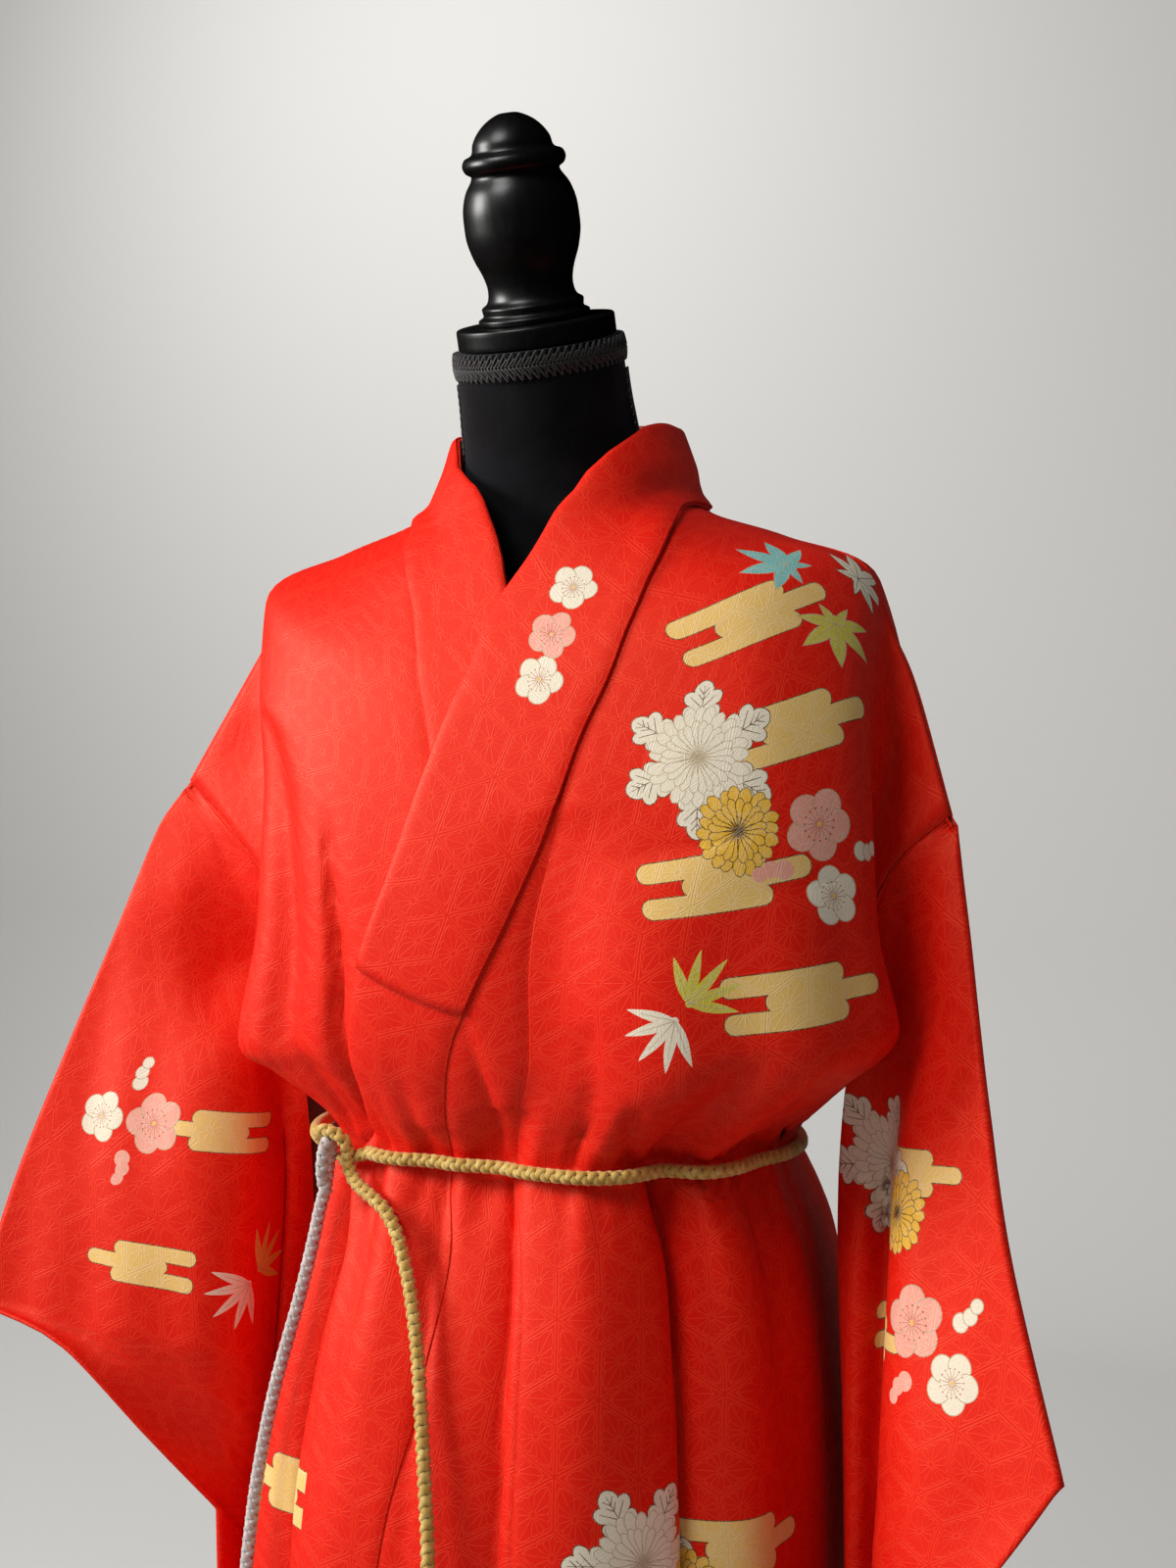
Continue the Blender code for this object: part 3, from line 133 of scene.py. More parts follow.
LEVELS = (
    even("collar_top", -0.060, 1.500, 0.068, 1.540, 0.066, 0.005, 1.530),
    even("collar_mid", -0.072, 1.475, 0.074, 1.510, 0.076, 0.004, 1.505),
    even("neck_seam", -0.085, 1.450, 0.080, 1.478, 0.087, 0.002, 1.476),
    even("mid_shoulder", -0.103, 1.408, 0.098, 1.430, 0.145, 0.000, 1.455),
    even("shoulder_end", -0.120, 1.365, 0.112, 1.370, 0.200, -0.003, 1.430),
    Level("upper_chest", -0.131, 1.315, 0.118, 1.310,
          (0.212, -0.045, 1.365), (-0.180, -0.055, 1.365),
          (0.206, 0.045, 1.365), (-0.195, 0.045, 1.365)),
    Level("bust", -0.139, 1.260, 0.120, 1.245,
          (0.218, -0.060, 1.295), (-0.169, -0.070, 1.295),
          (0.206, 0.055, 1.295), (-0.190, 0.055, 1.295)),
    Level("under_bust", -0.141, 1.205, 0.120, 1.190,
          (0.223, -0.062, 1.225), (-0.170, -0.075, 1.222),
          (0.208, 0.055, 1.225), (-0.190, 0.055, 1.225)),
    Level("pouch", -0.136, 1.155, 0.116, 1.150,
          (0.232, -0.054, 1.172), (-0.184, -0.078, 1.146),
          (0.212, 0.050, 1.165), (-0.198, 0.050, 1.160)),
    Level("pouch_turn", -0.126, 1.125, 0.110, 1.120,
          (0.192, -0.040, 1.133), (-0.170, -0.058, 1.128),
          (0.183, 0.032, 1.133), (-0.172, 0.032, 1.130)),
    Level("above_belt", -0.115, 1.100, 0.104, 1.100,
          (0.150, -0.010, 1.103), (-0.148, -0.012, 1.101),
          (0.150, 0.010, 1.103), (-0.148, 0.010, 1.101)),
    skirt("belt", -0.111, 0.102, 0.143, 0.143, 1.0865),
    skirt("below_belt", -0.114, 0.104, 0.147, 0.146, 1.070),
    skirt("hip_top", -0.126, 0.113, 0.161, 0.149, 1.030),
    skirt("hip", -0.146, 0.124, 0.172, 0.168, 0.950),
    skirt("thigh", -0.163, 0.130, 0.177, 0.186, 0.820),
    skirt("knee", -0.168, 0.132, 0.180, 0.190, 0.550),
    skirt("hem", -0.172, 0.136, 0.184, 0.196, 0.055),
)


class BandRow(NamedTuple):
    """Where the neckband's outer seam and its free edge lie: a level and a bearing for each."""
    seam_level: float
    seam_bearing: float
    edge_level: float
    edge_bearing: float


LEFT_BAND = (                       # from the neck side down to the band's lower end
    BandRow(2.0, 90.0, 0.15, 68.0),
    BandRow(2.1, 79.0, 0.55, 43.0),
    BandRow(2.4, 62.0, 1.20, 27.0),
    BandRow(2.9, 42.0, 2.00, 15.8),
    BandRow(3.5, 28.5, 2.84, 3.2),
    BandRow(4.4, 19.0, 4.00, -0.5),
    BandRow(5.4, 13.2, 5.04, -5.0),
    BandRow(6.5, 6.3, 6.09, -11.2),
    BandRow(7.5, 0.8, 7.10, -18.2),
    BandRow(9.0, -3.0, 8.90, -22.0),
    BandRow(10.4, -5.0, 10.40, -31.0),
    BandRow(11.9, -5.5, 11.90, -35.5),
    BandRow(13.0, -3.2, 13.00, -33.0),
    BandRow(14.0, -5.6, 14.00, -31.0),
    BandRow(14.8, -9.5, 14.80, -28.0),
    BandRow(15.4, -11.0, 15.40, -27.0),
)
RIGHT_BAND = (
    BandRow(2.0, -90.0, 0.15, -68.0),
    BandRow(2.1, -62.0, 0.45, -38.0),
    BandRow(2.4, -38.0, 0.75, -17.5),
    BandRow(2.8, -22.0, 1.70, -4.0),
    BandRow(3.4, -12.0, 2.80, 3.2),
    BandRow(4.2, -7.0, 4.00, 12.0),
    BandRow(5.0, -4.5, 5.00, 18.0),
    BandRow(6.0, 0.0, 6.00, 24.0),
    BandRow(7.0, 4.0, 7.00, 28.0),
    BandRow(8.4, 7.0, 8.40, 30.0),
    BandRow(10.4, 9.0, 10.40, 35.0),
    BandRow(11.9, 10.0, 11.90, 37.0),
    BandRow(13.0, 10.0, 13.00, 35.0),
    BandRow(14.0, 10.5, 14.00, 33.0),
    BandRow(15.4, 12.0, 15.40, 30.0),
)
FREE_EDGE = ((15.4, 27.0), (17.0, 25.0))     # overlap strip's free edge below the band, both sides
LEFT_OVERLAP_SEAM = ((5.0, 16.5), (6.6, 9.5), (7.7, 8.2), (11.5, 7.0), (13.7, 11.0), (17.0, 12.0))
RIGHT_OVERLAP_SEAM = ((5.0, -5.5), (6.6, -7.5), (7.7, -8.0), (11.5, -7.0), (13.7, -9.0), (17.0, -10.0))


class Fold(NamedTuple):
    """A soft ridge (positive height) or trough of the shell that runs between two levels."""
    top: float
    bottom: float
    bearing_top: float
    bearing_bottom: float
    width_top: float
    width_bottom: float
    height: float


FOLDS = (
    Fold(9.5, 14.5, -8.0, -9.0, 4.5, 7.0, -0.0070),
    Fold(9.0, 14.0, 4.5, 1.0, 4.0, 7.0, -0.0080),
    Fold(9.5, 18.0, 24.0, 22.0, 9.0, 12.0, 0.0070),
    Fold(8.0, 17.5, 41.0, 47.0, 5.0, 12.0, -0.0150),
    Fold(11.2, 17.0, 50.0, 66.0, 6.0, 12.0, 0.0070),
    Fold(9.5, 17.0, 76.0, 74.0, 8.0, 12.0, -0.0050),
    Fold(5.5, 10.5, 14.0, 7.0, 8.0, 5.0, -0.0070),
    Fold(6.0, 10.8, 34.0, 24.0, 12.0, 9.0, 0.0070),
    Fold(6.5, 10.8, 58.0, 52.0, 10.0, 8.0, 0.0060),
    Fold(5.0, 10.8, -58.0, -31.0, 11.0, 8.0, -0.0120),
    Fold(11.2, 18.0, -52.0, -57.0, 8.0, 15.0, 0.0100),
    Fold(9.8, 15.0, -30.0, -27.0, 5.0, 8.0, -0.0050),
    Fold(11.2, 17.0, -18.0, -19.0, 7.0, 8.0, 0.0040),
    Fold(11.4, 18.0, 115.0, 112.0, 9.0, 14.0, 0.0090),
    Fold(9.0, 17.5, 138.0, 140.0, 6.0, 11.0, -0.0120),
    Fold(11.4, 18.0, 162.0, 160.0, 9.0, 13.0, 0.0080),
    Fold(11.4, 18.0, -113.0, -110.0, 9.0, 14.0, 0.0090),
    Fold(9.0, 17.5, -135.0, -141.0, 6.0, 11.0, -0.0120),
    Fold(11.4, 18.0, -164.0, -159.0, 9.0, 13.0, 0.0080),
    Fold(5.0, 10.5, 146.0, 160.0, 13.0, 8.0, -0.0100),
    Fold(5.0, 10.5, -148.0, -161.0, 13.0, 8.0, -0.0100),
)


class Crease(NamedTuple):
    """A sharp valley: levels, bearings at its top, middle and end, widths beside it, depth."""
    top: float
    bottom: float
    bearings: tuple[float, float, float]
    before: float
    after: float
    depth: float
    bias: float = 0.7


CREASES = (
    Crease(8.6, 11.4, (26.0, 31.0, 36.2), 1.6, 4.0, 0.0080),
    Crease(10.6, 17.4, (35.6, 44.0, 51.0), 1.3, 6.5, 0.0215, 0.55),
    Crease(7.6, 11.2, (16.6, 19.5, 21.0), 3.4, 2.4, 0.0060),
    Crease(10.7, 17.8, (4.2, 8.4, 10.0), 4.4, 0.9, 0.0110, 0.55),
    Crease(7.6, 11.3, (1.0, 3.2, 4.4), 2.6, 1.4, 0.0050),
    Crease(10.8, 16.5, (-7.5, -6.0, -3.5), 1.8, 2.2, 0.0045),
    Crease(9.2, 12.6, (46.0, 52.0, 58.0), 2.5, 4.5, 0.0060),
    Crease(9.6, 14.6, (66.0, 70.0, 73.0), 2.5, 5.0, 0.0060),
    Crease(9.0, 13.8, (-20.0, -22.5, -23.0), 1.8, 3.4, 0.0050),
    Crease(5.6, 11.2, (-31.0, -24.5, -34.0), 1.5, 4.5, 0.0100, 0.9),
    Crease(10.7, 17.6, (-35.0, -40.0, -27.0), 7.0, 1.3, 0.0200, 0.55),
    Crease(10.4, 15.0, (-62.0, -66.0, -70.0), 3.0, 4.0, 0.0070),
    Crease(9.3, 16.5, (152.0, 149.0, 147.0), 1.8, 6.0, 0.0130),
    Crease(9.3, 16.5, (-153.0, -149.0, -146.0), 6.0, 1.8, 0.0130),
    Crease(9.6, 15.5, (118.0, 121.0, 124.0), 1.8, 5.0, 0.0090),
    Crease(9.6, 15.5, (-119.0, -122.0, -124.0), 5.0, 1.8, 0.0090),
)


class SideFold(NamedTuple):
    """Cloth past the arm-side fold: the bottom of its trough and the sleeve seam."""
    level: float
    trough: tuple
    seam: tuple


LEFT_FRONT_SIDE = (
    SideFold(4.0, (0.229, -0.010, 1.366), (0.255, -0.0255, 1.290)),
    SideFold(5.0, (0.219, -0.022, 1.312), (0.224, -0.028, 1.262)),
    SideFold(6.0, (0.207, -0.034, 1.258), (0.203, -0.028, 1.222)),
    SideFold(7.0, (0.200, -0.036, 1.203), (0.190, -0.026, 1.178)),
    SideFold(8.0, (0.200, -0.032, 1.152), (0.178, -0.022, 1.132)),
    SideFold(9.0, (0.180, -0.022, 1.123), (0.165, -0.013, 1.113)),
    SideFold(10.0, (0.1495, -0.006, 1.100), (0.1485, -0.004, 1.0985)),
)
LEFT_BACK_SIDE = (
    SideFold(4.0, (0.229, -0.008, 1.366), (0.255, -0.0245, 1.290)),
    SideFold(5.0, (0.220, 0.014, 1.312), (0.226, -0.003, 1.262)),
    SideFold(6.0, (0.208, 0.026, 1.258), (0.205, 0.012, 1.222)),
    SideFold(7.0, (0.200, 0.030, 1.203), (0.190, 0.018, 1.178)),
    SideFold(8.0, (0.195, 0.028, 1.152), (0.178, 0.018, 1.132)),
    SideFold(9.0, (0.175, 0.020, 1.123), (0.165, 0.012, 1.113)),
    SideFold(10.0, (0.1495, 0.006, 1.100), (0.1485, 0.004, 1.0985)),
)
RIGHT_FRONT_SIDE = (
    SideFold(4.0, (-0.236, -0.010, 1.370), (-0.272, -0.0205, 1.305)),
    SideFold(5.0, (-0.214, -0.026, 1.315), (-0.232, -0.028, 1.272)),
    SideFold(6.0, (-0.193, -0.040, 1.262), (-0.200, -0.030, 1.235)),
    SideFold(7.0, (-0.182, -0.046, 1.205), (-0.186, -0.030, 1.185)),
    SideFold(8.0, (-0.180, -0.046, 1.150), (-0.174, -0.025, 1.135)),
    SideFold(9.0, (-0.164, -0.032, 1.121), (-0.160, -0.015, 1.112)),
    SideFold(10.0, (-0.1475, -0.008, 1.099), (-0.1465, -0.005, 1.0975)),
)
RIGHT_BACK_SIDE = (
    SideFold(4.0, (-0.236, -0.008, 1.370), (-0.272, -0.0195, 1.305)),
    SideFold(5.0, (-0.218, 0.014, 1.315), (-0.234, -0.003, 1.272)),
    SideFold(6.0, (-0.200, 0.026, 1.262), (-0.202, 0.012, 1.235)),
    SideFold(7.0, (-0.188, 0.030, 1.205), (-0.187, 0.018, 1.185)),
    SideFold(8.0, (-0.184, 0.028, 1.150), (-0.175, 0.018, 1.135)),
    SideFold(9.0, (-0.166, 0.020, 1.121), (-0.160, 0.012, 1.112)),
    SideFold(10.0, (-0.1475, 0.006, 1.099), (-0.1465, 0.004, 1.0975)),
)


class SleeveRow(NamedTuple):
    """One run of cloth across a sleeve, from the body side to the outer side and back again.

    outer and inner carry a height; the runs between them slope evenly. A cuff row has its own
    back_outer, because the sleeve is open there; back_inner is empty where the bag is sewn shut.
    """
    inner: tuple
    flute: tuple
    valley: tuple
    fold: tuple
    outer: tuple
    back_outer: tuple
    back_mid: tuple
    back_flute: tuple
    back_inner: tuple


LEFT_SLEEVE = (
    SleeveRow((0.2535, -0.0245, 1.2865), (0.254, -0.025), (0.2545, -0.025), (0.256, -0.026),
              (0.2585, -0.0265, 1.2835), (), (0.2575, -0.0245), (0.2555, -0.0240),
              (0.2540, -0.0230, 1.2865)),
    SleeveRow((0.2258, -0.0280, 1.2615), (0.234, -0.028), (0.243, -0.030), (0.254, -0.033),
              (0.262, -0.034, 1.262), (), (0.256, -0.022), (0.243, -0.010),
              (0.2285, -0.0060, 1.262)),
    SleeveRow((0.2065, -0.0225, 1.222), (0.221, -0.022), (0.238, -0.030), (0.256, -0.042),
              (0.270, -0.045, 1.222), (), (0.257, -0.022), (0.234, -0.004),
              (0.2090, 0.0060, 1.222)),
    SleeveRow((0.1965, -0.0130, 1.178), (0.214, -0.012), (0.235, -0.025), (0.256, -0.046),
              (0.278, -0.057, 1.178), (), (0.262, -0.024), (0.231, 0.002),
              (0.1965, 0.0120, 1.178)),
    SleeveRow((0.1870, -0.0090, 1.120), (0.206, -0.010), (0.222, -0.018), (0.238, -0.045),
              (0.287, -0.070, 1.132), (), (0.268, -0.028), (0.229, 0.010),
              (0.1850, 0.0180, 1.120)),
    SleeveRow((0.1830, -0.0060, 1.040), (0.201, -0.022), (0.213, -0.008), (0.231, -0.052),
              (0.303, -0.087, 1.056), (), (0.277, -0.034), (0.229, 0.018),
              (0.1820, 0.0400, 1.040)),
    SleeveRow((0.1870, -0.0090, 0.935), (0.202, -0.036), (0.214, -0.018), (0.230, -0.070),
              (0.338, -0.120, 0.953), (), (0.288, -0.046), (0.232, 0.020),
              (0.1850, 0.0450, 0.935)),
    SleeveRow((0.1890, -0.0110, 0.870), (0.204, -0.042), (0.215, -0.024), (0.229, -0.078),
              (0.308, -0.121, 0.908), (0.300, -0.084, 0.908), (0.278, -0.042), (0.232, 0.018),
              (0.1880, 0.0400, 0.870)),
    SleeveRow((0.1910, -0.0130, 0.810), (0.205, -0.044), (0.216, -0.028), (0.228, -0.080),
              (0.276, -0.112, 0.862), (0.272, -0.074, 0.860), (0.268, -0.038), (0.230, 0.014),
              (0.1920, 0.0300, 0.810)),
    SleeveRow((0.1950, 0.0000, 0.750), (0.206, -0.044), (0.217, -0.032), (0.228, -0.078),
              (0.262, -0.096, 0.810), (), (0.256, -0.036), (0.228, 0.010), ()),
    SleeveRow((0.2000, -0.0050, 0.620), (0.208, -0.042), (0.218, -0.034), (0.227, -0.070),
              (0.246, -0.078, 0.680), (), (0.244, -0.034), (0.225, 0.006), ()),
    SleeveRow((0.2060, -0.0120, 0.480), (0.211, -0.036), (0.218, -0.032), (0.225, -0.054),
              (0.237, -0.056, 0.520), (), (0.235, -0.030), (0.220, -0.004), ()),
    SleeveRow((0.2130, -0.0260, 0.415), (0.216, -0.031), (0.220, -0.032), (0.225, -0.038),
              (0.231, -0.040, 0.430), (), (0.226, -0.036), (0.219, -0.030), ()),
)
RIGHT_SLEEVE = (
    SleeveRow((-0.2705, -0.0195, 1.3015), (-0.271, -0.020), (-0.2715, -0.020), (-0.273, -0.021),
              (-0.2755, -0.0215, 1.2985), (), (-0.2745, -0.0195), (-0.2725, -0.0190),
              (-0.2710, -0.0180, 1.3015)),
    SleeveRow((-0.2338, -0.0280, 1.2715), (-0.246, -0.026), (-0.259, -0.027), (-0.273, -0.029),
              (-0.289, -0.030, 1.275), (), (-0.275, -0.018), (-0.257, -0.008),
              (-0.2365, -0.0060, 1.272)),
    SleeveRow((-0.2035, -0.0245, 1.235), (-0.222, -0.024), (-0.245, -0.030), (-0.270, -0.039),
              (-0.300, -0.042, 1.237), (), (-0.275, -0.018), (-0.243, -0.002),
              (-0.2060, 0.0060, 1.235)),
    SleeveRow((-0.1925, -0.0170, 1.185), (-0.211, -0.014), (-0.238, -0.026), (-0.268, -0.045),
              (-0.315, -0.056, 1.187), (), (-0.280, -0.020), (-0.238, 0.004),
              (-0.1930, 0.0120, 1.185)),
    SleeveRow((-0.1860, -0.0120, 1.110), (-0.196, -0.012), (-0.203, -0.018), (-0.206, -0.046),
              (-0.332, -0.074, 1.128), (), (-0.286, -0.026), (-0.236, 0.012),
              (-0.1840, 0.0190, 1.110)),
    SleeveRow((-0.1850, -0.0050, 1.030), (-0.193, -0.022), (-0.199, -0.012), (-0.196, -0.052),
              (-0.355, -0.097, 1.046), (), (-0.300, -0.036), (-0.240, 0.018),
              (-0.1860, 0.0360, 1.030)),
    SleeveRow((-0.1920, -0.0040, 0.920), (-0.199, -0.026), (-0.204, -0.014), (-0.199, -0.058),
              (-0.370, -0.120, 0.965), (), (-0.312, -0.046), (-0.246, 0.020),
              (-0.1920, 0.0420, 0.920)),
    SleeveRow((-0.1950, -0.0050, 0.860), (-0.201, -0.028), (-0.206, -0.016), (-0.203, -0.058),
              (-0.300, -0.119, 0.944), (-0.304, -0.082, 0.942), (-0.282, -0.044), (-0.243, 0.018),
              (-0.1950, 0.0380, 0.860)),
    SleeveRow((-0.1970, -0.0060, 0.805), (-0.203, -0.028), (-0.208, -0.018), (-0.211, -0.054),
              (-0.248, -0.102, 0.890), (-0.252, -0.066), (-0.246, -0.036), (-0.238, 0.012),
              (-0.1980, 0.0280, 0.805)),
    SleeveRow((-0.2000, 0.0000, 0.750), (-0.205, -0.028), (-0.210, -0.018), (-0.213, -0.052),
              (-0.212, -0.074, 0.838), (), (-0.229, -0.030), (-0.234, 0.008), ()),
    SleeveRow((-0.2040, -0.0040, 0.620), (-0.208, -0.028), (-0.213, -0.020), (-0.217, -0.050),
              (-0.217, -0.062, 0.700), (), (-0.230, -0.028), (-0.232, 0.004), ()),
    SleeveRow((-0.2100, -0.0080, 0.480), (-0.213, -0.026), (-0.217, -0.022), (-0.221, -0.042),
              (-0.224, -0.048, 0.530), (), (-0.231, -0.026), (-0.226, -0.002), ()),
    SleeveRow((-0.2150, -0.0200, 0.415), (-0.217, -0.026), (-0.219, -0.028), (-0.223, -0.034),
              (-0.230, -0.036, 0.430), (), (-0.228, -0.030), (-0.220, -0.024), ()),
)


# Route of each tail from the knot down, metres
SILVER_ROUTE = (
    (-0.1120, -0.1040, 1.0600), (-0.1150, -0.1045, 1.0500), (-0.1178, -0.1065, 1.0340),
    (-0.1205, -0.1105, 1.0150), (-0.1240, -0.1150, 0.9940), (-0.1285, -0.1190, 0.9730),
    (-0.1335, -0.1220, 0.9520), (-0.1375, -0.1255, 0.9300), (-0.1405, -0.1295, 0.9070),
    (-0.1425, -0.1340, 0.8830), (-0.1430, -0.1390, 0.8590), (-0.1430, -0.1440, 0.8350),
)
GOLD_ROUTE = (
    (-0.0790, -0.1205, 1.0680), (-0.0680, -0.1255, 1.0640), (-0.0560, -0.1295, 1.0580),
    (-0.0470, -0.1330, 1.0490), (-0.0395, -0.1370, 1.0360), (-0.0325, -0.1415, 1.0210),
    (-0.0260, -0.1470, 1.0030), (-0.0200, -0.1528, 0.9830), (-0.0150, -0.1586, 0.9610),
    (-0.0100, -0.1645, 0.9380), (-0.0055, -0.1697, 0.9140), (-0.0015, -0.1740, 0.8890),
    (0.0010, -0.1778, 0.8630), (0.0025, -0.1813, 0.8360), (0.0035, -0.1850, 0.8090),
    (0.0040, -0.1890, 0.7820), (0.0045, -0.1935, 0.7550),
)


class Section(NamedTuple):
    """One ring of the dress form: height, centre, half width, front and back depth, tilt."""
    height: float
    centre_y: float
    half_width: float
    front: float
    back: float
    tilt: float


TORSO = (
    Section(0.820, 0.000, 0.146, 0.112, 0.105, 0.0),
    Section(0.880, 0.000, 0.152, 0.115, 0.108, 0.0),
    Section(1.000, 0.000, 0.138, 0.100, 0.098, 0.0),
    Section(1.085, 0.000, 0.120, 0.090, 0.086, 0.0),
    Section(1.160, 0.000, 0.128, 0.100, 0.092, 0.0),
    Section(1.240, 0.000, 0.143, 0.117, 0.096, 0.0),
    Section(1.300, 0.000, 0.150, 0.119, 0.098, 0.0),
    Section(1.350, 0.000, 0.162, 0.103, 0.098, 0.0),
    Section(1.385, 0.000, 0.183, 0.088, 0.090, 0.0),
    Section(1.405, 0.000, 0.187, 0.078, 0.082, 0.0),
    Section(1.420, 0.000, 0.180, 0.070, 0.074, 0.0),
    Section(1.433, 0.000, 0.160, 0.062, 0.067, 0.0),
    Section(1.445, 0.000, 0.134, 0.056, 0.062, 0.0),
    Section(1.456, 0.000, 0.106, 0.053, 0.058, 0.0),
    Section(1.470, -0.003, 0.078, 0.051, 0.056, 0.0),
    Section(1.495, -0.012, 0.060, 0.050, 0.053, 4.0),
    Section(1.535, -0.026, 0.0520, 0.0492, 0.0492, 13.0),
    Section(1.5775, -0.0389, 0.0505, 0.0480, 0.0480, 17.5),
)


FINIAL = ((0.0335, 0.0), (0.0345, 0.003), (0.0310, 0.006), (0.0315, 0.010), (0.0280, 0.013),
          (0.0262, 0.021), (0.0275, 0.028), (0.0325, 0.041), (0.0352, 0.055), (0.0350, 0.066),
          (0.0318, 0.079), (0.0268, 0.088), (0.0300, 0.0905), (0.0315, 0.0945), (0.0300, 0.0985),
          (0.0252, 0.1010), (0.0235, 0.107), (0.0180, 0.115), (0.0105, 0.1205), (0.0035, 0.1228))

# The knot's cords: finish, solid, and places along the waist, outwards and up, millimetres.
KNOT_ROUTES = {
    "knot_gold": (Slot.CORD_GOLD, "belt_knot", (
        (-18, -4, 6), (-14, 3, 9), (-8, 8, 14), (0, 7, 18), (7, 1, 16), (10, -4, 9),
        (9, -5, 1), (12, -6, -7), (20, -8, -12.5))),
    "knot_silver": (Slot.CORD_SILVER, "", (
        (-15.7, 1.5, -20.5), (-13, 1, -11), (-9, 1, -1), (-4, 1, 7), (1, 5, 11), (6, 9, 7),
        (6, 10, -2), (4, 9, -10), (4, 7, -19))),
    "knot_round": (Slot.CORD_GOLD, "", (
        (18, -16, 6), (13, -13, 4), (7, -10, 2), (1, -7, 0), (-4, -4, -1))),
}
GIMP_LOOPS, GIMP_LEAN, GIMP_SIDE = 70, 0.055, 0.25
GIMP_RADIUS, GIMP_HEIGHT, GIMP_HALF = 0.0526, -0.0150, 0.0072


# Curves and the body shell

def cubic(x: Sequence[float] | Array, y: Sequence | Array, at: Array | float) -> Array:
    """Smooth curve without overshoot through the values y at the places x.

    Each span is a Hermite cubic. Its end slopes are the mean slopes, held to three times the
    smaller neighbouring chord, and to nothing where the chords change sign.

    Args:
        x: Rising places, n of them.
        y: Values, of shape (n,), (n, k) or (n, m, k); the last is read along its first axis.
        at: Places to read. For y of shape (n, m, k) there are m of them, one for each curve.

    Returns:
        The values at those places.
    """
    x, y = np.asarray(x, float), np.asarray(y, float)
    at = np.clip(np.asarray(at, float), x[0], x[-1])
    chord = np.diff(y, axis=0) / np.diff(x).reshape(-1, *[1] * (y.ndim - 1))
    before, after = np.concatenate([chord[:1], chord]), np.concatenate([chord, chord[-1:]])
    steepest = 3 * np.minimum(np.abs(before), np.abs(after)) * (before * after > 0)
    slope = np.clip(np.gradient(y, x, axis=0), -steepest, steepest)
    i = np.clip(np.searchsorted(x, at, side="right") - 1, 0, len(x) - 2)
    step = x[i + 1] - x[i]
    f = (at - x[i]) / step
    if y.ndim == 3:
        here = (i, np.arange(y.shape[1]))
        there = (i + 1, np.arange(y.shape[1]))
    else:
        here, there = (i,), (i + 1,)
    if y.ndim >= 2:
        f, step = f[..., None], step[..., None]
    blend = f * f * (3 - 2 * f)
    return ((1 - blend) * y[here] + blend * y[there]
            + step * ((f ** 3 - 2 * f ** 2 + f) * slope[here] + (f ** 3 - f ** 2) * slope[there]))


def ease(x: Array | float, start: float, end: float) -> Array:
    """0 before start, 1 after end, smooth between; start may be the larger."""
    f = np.clip((np.asarray(x, float) - start) / (end - start), 0, 1)
    return f * f * (3 - 2 * f)


def lengths(points: Array, axis: int) -> Array:
    """Running length of the lines through a grid of points along one of its axes."""
    step = np.linalg.norm(np.diff(points, axis=axis), axis=-1)
    first = np.zeros_like(np.take(step, [0], axis=axis))
    return np.concatenate([first, np.cumsum(step, axis=axis)], axis=axis)


def along_path(points: Array, share: Array) -> Array:
    """Points at shares of the length of a smooth curve through the given ones.

    Args:
        points: The curve's points, (n, 3).
        share: Shares of its length, any shape.

    Returns:
        One point for each share.
    """
    points = np.asarray(points, float)
    rough = lengths(points, 0)
    fine = cubic(rough, points, np.linspace(0, rough[-1], 24 * len(points)))
    run = lengths(fine, 0)
    wanted = np.asarray(share, float) * run[-1]
    return np.stack([np.interp(wanted, run, fine[:, k]) for k in range(3)], -1)


def clustered(count: int, edge: float = 0.012) -> Array:
    """Shares from 0 to 1 with extra ones close to the ends, for the roll at a seam."""
    extra = edge * np.array([0.25, 0.55, 1.0])
    inner = np.linspace(2 * edge, 1 - 2 * edge, count)
    return np.concatenate([[0.0], extra, inner, 1 - extra[::-1], [1.0]])


class Waves:
    """Slow unevenness of hanging silk: a sum of long sine waves in fixed directions."""

    def __init__(self, seed: int, wavelength: float, count: int = 7, stretch: float = 3.0) -> None:
        """Draws the waves.

        Args:
            seed: Seed of the draw.
            wavelength: Mean wavelength across the cloth, metres.
            count: Number of waves.
            stretch: How much longer the waves run down the cloth than across it.
        """
        draw = np.random.default_rng(seed)
        scale = 2 * np.pi / wavelength
        self.across = scale * draw.uniform(0.5, 1.5, count) * draw.choice([-1, 1], count)
        self.down = scale / stretch * draw.uniform(0.3, 1.4, count)
        self.phase = draw.uniform(0, 2 * np.pi, count)

    def at(self, across: Array, down: Array) -> Array:
        """Height between about -1 and 1: the mean of sin(across + down + phase)."""
        turn = (across[..., None] * self.across + down[..., None] * self.down + self.phase)
        return np.sin(turn).mean(axis=-1) * 1.6


